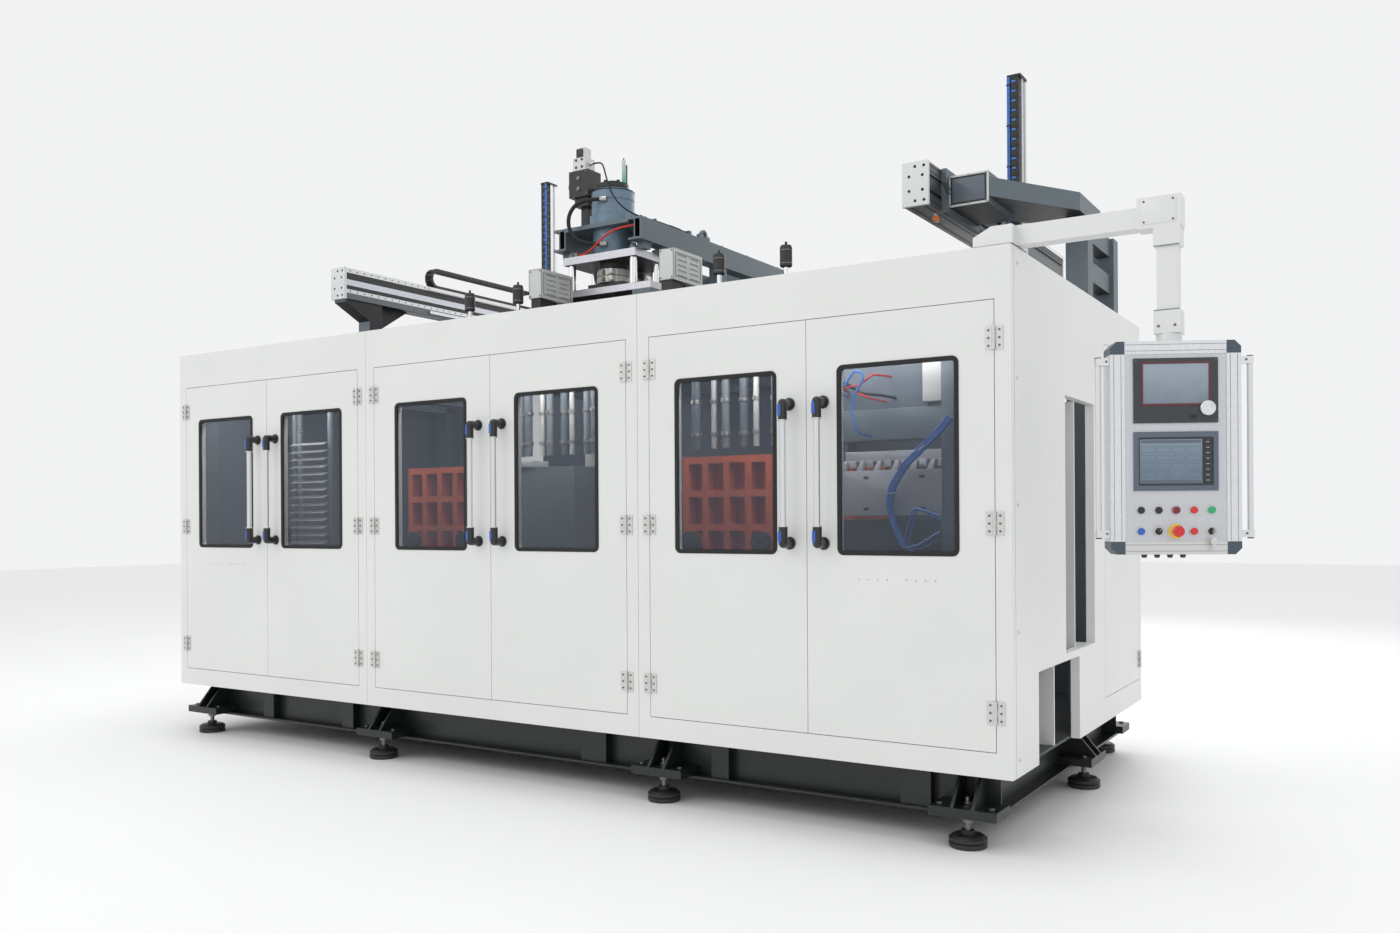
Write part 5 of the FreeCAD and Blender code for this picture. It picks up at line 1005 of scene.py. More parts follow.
@dataclass
class FrontDoors:
    """The three front bays: frames, six leaves, their windows, handles and hinges."""

    bays: tuple[tuple[str, float, float], ...] = (("right", 0.0, 1.740), ("middle", 1.740, 1.820),
                                                  ("left", 3.560, 1.690))
    margin: float = 0.064
    gap: float = 0.003
    window: tuple[float, float] = (0.500, 0.762)
    window_foot: float = 1.153
    handle_from_edge: float = 0.078
    handle_foot: float = 1.171
    handle_head: float = 1.797
    hinges: tuple[float, ...] = (0.545, 1.270, 1.980)

    def leaf(self, start: float, wide: float, side: str) -> tuple[float, float]:
        """Where a leaf lies.

        Args:
            start: Where its bay starts, from the right face.
            wide: The bay's width.
            side: "right" or "left".

        Returns:
            The reach of the leaf's right edge, and its width.
        """
        width = (wide - 2 * self.margin) / 2 - 1.5 * self.gap
        first = start + self.margin + self.gap
        return (first if side == "right" else first + self.gap + width), width

    def build(self, dresser: Dresser) -> None:
        """Dresses the nodes and adds the gaskets, screws and sleeves.

        Args:
            dresser: Gives the CAD nodes their finishes.
        """
        dresser.dress("front_frames", Finish.ENCLOSURE_WHITE)
        dresser.dress("frame_hinge_leaves", Finish.HINGE_STEEL)
        fixed = Piece("frame_hinge_screws", MACHINE)
        for bay, start, wide in self.bays:
            for side in ("right", "left"):
                first, width = self.leaf(start, wide, side)
                name = f"{bay}_bay_{side}_door"
                self.dress_leaf(dresser, name, first, width, side)
                dresser.dress(name.replace("door", "window"), Finish.SMOKED_PANE)
                self.gasket(name, first + width / 2)
                pin = first - self.gap / 2 if side == "right" else first + width + self.gap / 2
                self.hinge_screws(name, pin, side, fixed)
                self.grip(name, first, width, side)
        fixed.done()

    def dress_leaf(self, dresser: Dresser, name: str, first: float, width: float,
                   side: str) -> None:
        """Dresses one leaf with its bow handle and its hinge leaves.

        Args:
            dresser: Gives the CAD nodes their finishes.
            name: The leaf's node.
            first: The reach of the leaf's right edge.
            width: The leaf's width.
            side: "right" or "left".
        """
        reach = first + width - self.handle_from_edge if side == "right" \
            else first + self.handle_from_edge
        middle = RIGHT_FACE - reach
        front = FRONT_FACE - 0.00005

        def handle(at: np.ndarray, out: np.ndarray) -> np.ndarray:
            """Faces of the leaf's bow handle."""
            return (np.abs(at[:, 0] - middle) < 0.03) & (at[:, 1] < front)

        def tube(at: np.ndarray, out: np.ndarray) -> np.ndarray:
            """Faces of the handle's straight tube."""
            up = at[:, 2]
            return handle(at, out) & (up > self.handle_foot + 0.0895) \
                & (up < self.handle_head - 0.0895)

        def hinge(at: np.ndarray, out: np.ndarray) -> np.ndarray:
            """Faces of the leaf's hinge halves."""
            return (np.abs(at[:, 0] - middle) > 0.05) & (at[:, 1] < front)

        dresser.dress(name, Finish.ENCLOSURE_WHITE, (Finish.HINGE_STEEL, hinge),
                      (Finish.GRIP_BLACK, handle), (Finish.GRIP_SILVER, tube))

    def gasket(self, door: str, centre: float) -> None:
        """A rubber gasket round a window, with a lip on the skin and a wall down to the pane.

        Args:
            door: The leaf's node.
            centre: The reach of the window's middle.
        """
        wide, high = self.window
        middle = spot(centre, 0.0, self.window_foot + high / 2)
        made = Piece(door.replace("door", "gasket"), door)
        lip = frame(wide + 0.022, high + 0.022, 0.019, 0.0032, 0.028, 0.0012)
        made.take(lip, Finish.HOSE_BLACK, moved(middle + Vector((0, -0.0002, 0))))
        wall = frame(wide - 0.0008, high - 0.0008, 0.0072, 0.0066, 0.0176)
        made.take(wall, Finish.HOSE_BLACK, moved(middle + Vector((0, 0.0066, 0))))
        made.done()

    def hinge_screws(self, door: str, pin: float, side: str, fixed: Piece) -> None:
        """Three screws in each half of the three hinges of a leaf.

        Args:
            door: The leaf's node.
            pin: The reach of the hinges' pins.
            side: "right" or "left".
            fixed: The piece that takes the frames' screws.
        """
        moving = Piece(door.replace("door", "hinge_screws"), door)
        way = -1 if side == "right" else 1
        for piece, shift in ((moving, way), (fixed, -way)):
            places = [towards(spot(pin, -0.004, up + lift) + Vector((shift * 0.0215, 0, 0)),
                              (0, -1, 0))
                      for up in self.hinges for lift in (-0.030, 0.0, 0.030)]
            piece.take(screw_head(0.0048, 0.0022), Finish.SCREW_STEEL, *places)
        moving.done()

    def grip(self, door: str, first: float, width: float, side: str) -> None:
        """The silver rings between a handle's sleeves and its tube, and its flanges' caps.

        Args:
            door: The leaf's node.
            first: The reach of the leaf's right edge.
            width: The leaf's width.
            side: "right" or "left".
        """
        reach = first + width - self.handle_from_edge if side == "right" \
            else first + self.handle_from_edge
        made = Piece(door.replace("door", "handle_rings"), door)
        ring = [(0.0128, 0.0), (0.0196, 0.0), (0.0202, 0.001), (0.0202, 0.0035),
                (0.0196, 0.0045), (0.0128, 0.0045)]
        low, high = self.handle_foot + 0.089, self.handle_head - 0.089
        places = [moved(spot(reach, -0.062, up))
                  for up in (low - 0.001, high - 0.0035)]
        made.take(lathe(ring, 32), Finish.HINGE_STEEL, *places)
        for up, way in ((self.handle_foot + 0.019, -1), (self.handle_head - 0.019, 1)):
            outer = reach + 0.0066
            line = (spot(outer, -0.014, up + way * 0.0078), spot(outer, -0.0698, up + way * 0.0078),
                    spot(outer, -0.0698, up - way * 0.052))
            made.take(pipe(line, 0.0130, 0.024, 20), Finish.INSET_BLUE)
        collar = [(0.0188, 0.0), (0.0262, 0.0), (0.0266, 0.001), (0.0250, 0.0024),
                  (0.0200, 0.0030), (0.0188, 0.0030)]
        places = [towards(spot(reach, -0.006, up), (0, -1, 0))
                  for up in (self.handle_foot + 0.019, self.handle_head - 0.019)]
        made.take(lathe(collar, 36), Finish.HEAD_BLACK, *places)
        made.done()


@dataclass
class SideAndBack:
    """The right side with its outlet, hatch and service door, the left side and the back."""

    outlet: tuple[float, float, float, float] = (0.760, 0.510, 0.700, 1.825)
    hatch: tuple[float, float, float] = (0.340, 0.645, 0.668)
    door: tuple[float, float, float, float] = (1.484, 0.759, 0.410, 2.142)
    pane_margin: float = 0.130
    pane_foot: float = 1.175
    hinges: tuple[float, ...] = (0.522, 1.247, 1.957)

    def build(self, dresser: Dresser) -> None:
        """Dresses the panels and adds gaskets, screws and the latch.

        Args:
            dresser: Gives the CAD nodes their finishes.
        """
        # The inside faces of both side panels are painted dark: painted shade of the enclosure's
        # interior.
        dresser.dress("side_panels", Finish.ENCLOSURE_WHITE, (Finish.LINER_WHITE, lambda at,
            out: (at[:, 0] > RIGHT_FACE - 0.38) & (at[:, 0] < RIGHT_FACE - 0.0401)),
            (Finish.INNER_PAINTED_SHADE, lambda at, out: ((out[:, 0] < -0.5) & (at[:,
            0] > RIGHT_FACE - 0.0402)) | ((out[:, 0] > 0.5) & (at[:, 0] < RIGHT_FACE - 5.2))))
        # The inside faces of the back panels are painted dark the same way: painted shade of the
        # interior.
        dresser.dress("back_panels", Finish.ENCLOSURE_WHITE,
                      (Finish.INNER_PAINTED_SHADE, lambda at, out: out[:, 1] < -0.5))
        dresser.dress("service_door", Finish.ENCLOSURE_WHITE,
                      (Finish.HINGE_STEEL, lambda at, out: at[:, 0] > RIGHT_FACE + 0.00005))
        dresser.dress("service_window", Finish.SMOKED_PANE)
        start, wide, _, _ = self.door
        high = 0.762
        across = wide - 0.006 - 2 * self.pane_margin
        turn = Matrix.Rotation(math.radians(90), 4, "Z")
        middle = Vector((RIGHT_FACE, FRONT_FACE + start + wide / 2, self.pane_foot + high / 2))
        made = Piece("service_window_gasket", "service_door")
        made.take(frame(across + 0.022, high + 0.022, 0.019, 0.0032, 0.021, 0.0012),
                  Finish.HOSE_BLACK, moved(middle + Vector((0.0002, 0, 0))) @ turn)
        made.take(frame(across - 0.0008, high - 0.0008, 0.0072, 0.0066, 0.008),
                  Finish.HOSE_BLACK, moved(middle + Vector((-0.0066, 0, 0))) @ turn)
        made.done()
        pin = FRONT_FACE + start + wide - 0.0015
        low = self.door[2] + 0.003
        for name, body, way in (("service_door_screws", "service_door", -1),
                                ("service_frame_screws", MACHINE, 1)):
            piece = Piece(name, body)
            places = [towards((RIGHT_FACE + 0.004, pin + way * 0.0215, low + level + lift),
                              (1, 0, 0))
                      for level in (0.109, 0.834, 1.544) for lift in (-0.030, 0.0, 0.030)]
            piece.take(screw_head(0.0048, 0.0022), Finish.SCREW_STEEL, *places)
            piece.done()
        self.latch()
        self.panel_screws()

    def latch(self) -> None:
        """A recessed pull with a lock on the service door's free edge."""
        start = self.door[0]
        made = Piece("service_door_latch", "service_door")
        middle = Vector((RIGHT_FACE, FRONT_FACE + start + 0.062, 1.28))
        turn = Matrix.Rotation(math.radians(90), 4, "Z")
        made.take(frame(0.052, 0.150, 0.009, 0.006, 0.012, 0.002), Finish.HEAD_BLACK,
                  moved(middle) @ turn)
        made.take(frame(0.036, 0.134, 0.0, 0.0025, 0.006), Finish.VALVE_BLACK,
                  moved(middle) @ turn)
        made.take(lathe([(0.0, 0.0), (0.011, 0.0), (0.011, 0.005), (0.009, 0.007), (0.0, 0.007)],
                        28), Finish.HINGE_STEEL,
                  towards(middle + Vector((0.002, 0, 0.045)), (1, 0, 0)))
        made.done()

    def panel_screws(self) -> None:
        """Button-headed screws along the edges of the side and back panels."""
        made = Piece("panel_screws", MACHINE)
        places = []
        for up in (0.36, 0.85, 1.34, 1.83, 2.27):
            places.append(towards((RIGHT_FACE, FRONT_FACE + 0.075, up), (1, 0, 0)))
            places.append(towards((RIGHT_FACE - 5.25, FRONT_FACE + 0.075, up), (-1, 0, 0)))
            places.append(towards((RIGHT_FACE - 5.25, FRONT_FACE + 2.233, up), (-1, 0, 0)))
        for reach in (0.05, 1.69, 1.79, 3.51, 3.61, 5.20):
            for up in (0.36, 0.85, 1.34, 1.83, 2.27):
                places.append(towards(spot(reach, 2.308, up), (0, 1, 0)))
        head = lathe([(0.0, 0.0), (0.008, 0.0), (0.008, 0.0012), (0.006, 0.0034), (0.0028, 0.004),
                      (0.0028, 0.002), (0.0, 0.002)], 16)
        made.take(head, Finish.HINGE_STEEL, *places)
        made.done()


@dataclass
class BaseFrame:
    """The black welded base on its levelling feet, with its bolts."""

    feet: tuple[tuple[float, float, str], ...] = (
        (0.204, 0.070, "front"), (1.650, 0.070, "front"), (3.510, 0.070, "front"),
        (5.040, 0.070, "front"), (0.204, 2.238, "back"), (1.650, 2.238, "back"),
        (3.510, 2.238, "back"), (5.040, 2.238, "back"), (0.070, 1.330, "right"),
        (5.180, 1.330, "left"))

    def build(self, dresser: Dresser) -> None:
        """Dresses the nodes and adds bolts, washers and foot rings.

        Args:
            dresser: Gives the CAD nodes their finishes.
        """
        dresser.dress("base_frame", Finish.BASE_BLACK, (Finish.FLOOR_PLATE, above(0.2935)))
        dresser.dress("levelling_feet", Finish.FOOT_NYLON, (Finish.SCREW_STEEL, above(0.0665)))
        ways = {"front": (0, -1), "back": (0, 1), "right": (1, 0), "left": (-1, 0)}
        made = Piece("foot_nuts", MACHINE)
        washers, nuts, ribs = [], [], []
        for reach, back, _ in self.feet:
            place = spot(reach, back, 0.160)
            washers.append(moved(place))
            nuts.append(moved(place + Vector((0, 0, 0.003))))
            for step in range(12):
                turn = Matrix.Rotation(math.tau * step / 12, 4, "Z")
                ribs.append(moved(spot(reach, back, 0.0)) @ turn)
        made.take(lathe([(0.0122, 0.0), (0.026, 0.0), (0.026, 0.0025), (0.0122, 0.003)], 28),
                  Finish.SCREW_STEEL, *washers)
        made.take(hex_head(0.021, 0.014), Finish.SCREW_STEEL, *nuts)
        made.take(block((0.050, -0.003, 0.030), (0.0725, 0.003, 0.0405), 0.0012),
                  Finish.FOOT_NYLON, *ribs)
        made.done()
        bolts = Piece("bracket_bolts", MACHINE)
        heads = []
        for reach, back, facing in self.feet:
            way = Vector((*ways[facing], 0))
            across = Vector((way.y, -way.x, 0))
            for side in (-0.105, 0.105):
                heads.append(moved(spot(reach, back, 0.160) + across * side + way * 0.028))
        bolts.take(hex_head(0.0125, 0.009), Finish.SCREW_STEEL, *heads)
        bolts.done()


@dataclass
class RobotGantry:
    """The two robot beams, what holds them up, the robots and their chains."""

    beams: tuple[tuple[str, float, float, float], ...] = (("right", 0.741, 1.900, 2.385),
        ("left", 4.735, 2.745, 2.665))
    beam_wide: float = 0.122
    beam_high: float = 0.200
    beam_low: float = 2.753
    beam_front: float = 0.750
    beam_back: float = 3.100
    mast_long: float = 1.300
    end_holes: tuple[tuple[float, float], ...] = (
        (0.5, 0.1), (0.86, 0.1), (0.26, 0.34), (0.8, 0.34), (0.26, 0.68), (0.8, 0.68),
        (0.5, 0.9), (0.86, 0.9))

    def build(self, dresser: Dresser) -> None:
        """Dresses the nodes and adds screws, covers, tubes and chain links.

        Args:
            dresser: Gives the CAD nodes their finishes.
        """
        # Painted shade: the supports' downward faces over 2.4 m, and the right-facing faces of the
        # left support, are painted near black.
        dresser.dress("gantry_supports", Finish.STEELWORK_GREY,
                      (Finish.STEELWORK_DARK,
                       lambda at, out: ((out[:, 2] < -0.5) & (at[:, 2] > 2.4))
                       | ((at[:, 0] < -3.0) & (at[:, 2] > 2.4) & (out[:, 0] > 0.5))))
        front, back = FRONT_FACE + self.beam_front, FRONT_FACE + self.beam_back
        faces = [RIGHT_FACE - reach + self.beam_wide for _, reach, _, _ in self.beams]
        dresser.dress("gantry_beams", Finish.PROFILE_DARK, (Finish.CHROME, lambda at,
            out: ((at[:, 0] > faces[0] + 0.0001) | ((at[:, 0] > faces[1] + 0.0001) & (at[:,
            0] < -3.0)))), (Finish.END_PLATE_WHITE, lambda at, out: (at[:,
            1] < front + 0.0201) | (at[:, 1] > back - 0.0201)))
        self.end_screws()
        self.arm_cover()
        self.sensors()
        for side, reach, mid, foot in self.beams:
            self.robot(dresser, side, reach, mid, foot)
        self.chain()

    def end_screws(self) -> None:
        """Socket screws down in the counterbores of the end plates."""
        made = Piece("end_plate_screws", MACHINE)
        places = []
        for _, reach, _, _ in self.beams:
            for across, up in self.end_holes:
                x = RIGHT_FACE - reach + self.beam_wide * across
                z = self.beam_low + self.beam_high * up
                places.append(towards((x, FRONT_FACE + self.beam_front + 0.0078, z), (0, -1, 0)))
        made.take(screw_head(0.0047, 0.0045), Finish.HEAD_BLACK, *places)
        rims = [place @ moved((0, 0, 0.0076)) for place in places]
        made.take(lathe([(0.0034, 0.0), (0.0072, 0.0), (0.0072, 0.0007), (0.0034, 0.0007)], 20),
                  Finish.HEAD_BLACK, *rims)
        made.done()
        self.strips()

    def strips(self) -> None:
        """The cover strips, slots and screws along the beams' running sides and soles."""
        made = Piece("beam_strips", MACHINE)
        near, far = FRONT_FACE + self.beam_front + 0.0205, FRONT_FACE + self.beam_back - 0.0205
        layers = {"left": ((0.170, 0.199, Finish.PROFILE_SILVER), (0.126, 0.170, Finish.HEAD_BLACK),
            (0.088, 0.126, Finish.PROFILE_PALE), (0.062, 0.088, Finish.HEAD_BLACK),
            (0.038, 0.062, Finish.PROFILE_SILVER)), "right": ((0.182, 0.190, Finish.HEAD_BLACK),
            (0.156, 0.164, Finish.HEAD_BLACK), (0.126, 0.134, Finish.HEAD_BLACK),
            (0.020, 0.028, Finish.HEAD_BLACK))}
        for side, reach, _, _ in self.beams:
            face = RIGHT_FACE - reach + self.beam_wide
            for low, high, finish in layers[side]:
                made.take(block((face, near, self.beam_low + low),
                                (face + 0.0012, far, self.beam_low + high)), finish)
            for across in (0.020, 0.088):
                made.take(block((face - across - 0.014, near, self.beam_low - 0.0010),
                                (face - across, far, self.beam_low)), Finish.HEAD_BLACK)
            heads = [towards((face + 0.0012, near + 0.03 + 0.06 * step, self.beam_low + up),
                             (1, 0, 0)) for step in range(38) for up in (0.050, 0.184)]
            if side == "left":
                made.take(screw_head(0.0050, 0.0012, 10), Finish.HEAD_BLACK, *heads)
        made.done()

    def arm_cover(self) -> None:
        """The gasketed cover on the front of the bent arm, and screws on the clamp plate."""
        made = Piece("arm_cover", MACHINE)
        middle = spot(0.500, 0.975, 2.853)
        made.take(frame(0.196, 0.150, 0.010, 0.005, 0.012, 0.0015), Finish.COVER_GREY,
                  moved(middle))
        made.take(frame(0.177, 0.131, 0.010, 0.004, 0.011), Finish.HEAD_BLACK,
                  moved(middle))
        made.take(frame(0.158, 0.112, 0.0, 0.0060, 0.004, 0.0015), Finish.STEELWORK_PALE,
                  moved(middle))
        places = [towards(middle + Vector((across, -0.004, up)), (0, -1, 0))
                  for across in (-0.085, 0.0, 0.085) for up in (-0.064, 0.064)]
        made.take(screw_head(0.0052, 0.0032), Finish.SCREW_STEEL, *places)
        slots = [moved(spot(0.588 + 0.012 * step, 0.9305, 2.86 + 0.004 * step))
                 @ Matrix.Rotation(math.radians(-22), 4, "Y") for step in range(-1, 2)]
        made.take(frame(0.005, 0.070, 0.0, 0.0022, 0.002), Finish.HEAD_BLACK, *slots)
        made.done()

    def sensors(self) -> None:
        """Orange end-stop sensors under the two beams' front ends."""
        made = Piece("end_stop_sensors", MACHINE)
        for _, reach, _, _ in self.beams:
            middle = spot(reach - self.beam_wide + 0.030, self.beam_front + 0.18,
                          self.beam_low - 0.030)
            made.take(block(middle + Vector((-0.004, -0.014, 0.010)),
                            middle + Vector((0.010, 0.014, 0.0298)), 0.002), Finish.HINGE_STEEL)
            made.take(block(middle + Vector((-0.006, -0.024, -0.012)),
                            middle + Vector((0.014, 0.024, 0.012)), 0.003),
                      Finish.SENSOR_ORANGE)
            made.take(rod(0.0045, 0.020, 0.001, 16), Finish.HEAD_BLACK,
                      towards(middle + Vector((0.006, 0.024, 0.0)), (0, 1, 0)))
        made.done()

    def robot(self, dresser: Dresser, side: str, reach: float, mid: float,
              foot: float) -> None:
        """Dresses a robot, and adds its tubes, links, rack and screws.

        Args:
            dresser: Gives the CAD nodes their finishes.
            side: "right" or "left".
            reach: How far the beam's middle is from the right face.
            mid: How far back the carriage stands at rest.
            foot: The height of the mast's lower end.
        """
        plate_x = RIGHT_FACE - reach + self.beam_wide + 0.0153
        mast_x = plate_x + 0.0253
        y = FRONT_FACE + mid
        low, high = foot, foot + self.mast_long
        dresser.dress(f"{side}_robot_carriage", Finish.ROBOT_SILVER,
                      (Finish.MOTOR_GREY, lambda at, out: at[:, 1] > y + 0.0624))
        dresser.dress(
            f"{side}_robot_mast", Finish.ROBOT_SILVER,
            (Finish.CHAIN_NYLON, lambda at, out: (at[:, 1] < y - 0.0401)
             & (at[:, 2] > low + 0.02) & (at[:, 2] < high - 0.0139)),
            (Finish.STEELWORK_DARK, lambda at, out: (at[:, 2] < low + 0.0141)
             | (at[:, 2] > high - 0.0141)))
        mast = Piece(f"{side}_mast_chain", f"{side}_robot_mast")
        start = low + 0.386
        count = int((high - 0.02 - start) / 0.052)
        links = [moved((mast_x + 0.033, y - 0.0575, start + 0.052 * step))
                 for step in range(count)]
        mast.take(block((-0.0300, -0.0180, 0.0), (0.0300, 0.0172, 0.036), 0.0035),
                  Finish.CHAIN_NYLON, *links)
        mast.take(block((-0.0080, -0.0200, 0.038), (0.0150, -0.0160, 0.050), 0.0015),
                  Finish.TUBE_BLUE, *links)
        pins = [matrix @ towards((0.0292, 0.0, 0.018), (1, 0, 0)) for matrix in links]
        mast.take(rod(0.006, 0.0022, 0.0006, 12), Finish.SCREW_STEEL, *pins)
        mast.done()
        tubes = Piece(f"{side}_mast_tubes", f"{side}_robot_mast")
        strip = 0.0085 if side == "right" else 0.0545
        for across in (strip - 0.0040, strip + 0.0040):
            tubes.take(rod(0.0042, high - 0.0141 - low - 0.30, 0.001, 12), Finish.TUBE_BLUE,
                       moved((mast_x + across, y - 0.0795, low + 0.30)))
        clips = [moved((mast_x + strip, y, low + 0.36 + 0.22 * step))
                 for step in range(5)]
        tubes.take(block((-0.0105, -0.0850, 0.0), (0.0105, -0.0740, 0.010), 0.002),
                   Finish.HEAD_BLACK, *clips)
        rack = [moved((mast_x + 0.063, y, low + 0.02 + 0.0125 * step))
                for step in range(int((self.mast_long - 0.04) / 0.0125))]
        tubes.take(block((-0.0005, -0.0095, 0.0), (0.0060, 0.0095, 0.0065), 0.0012),
                   Finish.HINGE_STEEL, *rack)
        feet = [towards((mast_x + across, y + back, low + 0.0001), (0, 0, -1))
                for across in (0.018, 0.072) for back in (-0.044, 0.026)]
        tubes.take(screw_head(0.0065, 0.005), Finish.SCREW_STEEL, *feet)
        tubes.done()
        self.carriage(side, plate_x, y)

    def carriage(self, side: str, plate_x: float, y: float) -> None:
        """Screws on the carriage plate, and the fins and plug of its motor.

        Args:
            side: "right" or "left".
            plate_x: The face that the carriage's plate runs on.
            y: The carriage's middle along the beam.
        """
        made = Piece(f"{side}_carriage_parts", f"{side}_robot_carriage")
        low = self.beam_low - 0.025
        screws = [towards((plate_x + 0.025, y + back, low + up), (1, 0, 0))
                  for back in (-0.095, 0.095) for up in (0.025, 0.075, 0.175, 0.225)]
        made.take(screw_head(0.0065, 0.006), Finish.SCREW_STEEL, *screws)
        fins = [moved((plate_x + 0.055, y + 0.0863, low + 0.098 + 0.010 * step))
                for step in range(8)]
        made.take(block((-0.032, -0.0225, 0.0), (0.032, 0.0262, 0.004), 0.001),
                  Finish.MOTOR_GREY, *fins)
        made.take(rod(0.013, 0.018, 0.002, 20), Finish.HEAD_BLACK,
                  towards((plate_x + 0.055, y + 0.1103, low + 0.175), (0, 1, 0)))
        made.done()

    def chain(self) -> None:
        """The left robot's energy chain, link by link, with its cables."""
        middle = RIGHT_FACE - 4.735 + 0.036 + 0.030
        top = self.beam_low + self.beam_high
        near, low_end, high_end = (FRONT_FACE + back for back in (1.62, 2.80, 2.63))
        low, high, turn = top + 0.014, top + 0.136, 0.061
        pitch = 0.0310
        stations: list[tuple[float, float, float]] = []
        steps = int((low_end - near) / pitch)
        for step in range(steps):
            stations.append((low_end - pitch * (step + 0.5), low, math.pi))
        for step in range(6):
            angle = math.pi * (step + 0.5) / 6
            stations.append((near - turn * math.sin(angle), top + 0.075 - turn * math.cos(angle),
                             math.pi - angle))
        for step in range(int((high_end - near) / pitch)):
            stations.append((near + pitch * (step + 0.5), high, 0.0))
        places = [moved((middle, along, up)) @ Matrix.Rotation(angle, 4, "X")
                  for along, up, angle in stations]
        made = Piece("energy_chain", MACHINE)
        for side in (-1, 1):
            cheek = block((side * 0.0272 - 0.0026, -0.0168, -0.0135),
                          (side * 0.0272 + 0.0026, 0.0168, 0.0135), 0.0024)
            made.take(cheek, Finish.CHAIN_NYLON, *places)
        bars = [place @ moved((0, 0, up)) for place in places
                for up in (-0.0120, 0.0120)]
        made.take(block((-0.0255, -0.0060, -0.0014), (0.0255, 0.0060, 0.0014), 0.0008),
                  Finish.CHAIN_NYLON, *bars)
        for across, radius in ((-0.014, 0.0080), (0.004, 0.0070), (0.017, 0.0055)):
            x = middle + across
            line = ((x, low_end - 0.005, low), (x, near - turn, low), (x, near - turn, high),
                    (x, high_end - 0.005, high))
            made.take(pipe(line, radius, turn - 0.0002), Finish.HOSE_BLACK)
        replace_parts(made.done(), "cable_chain")


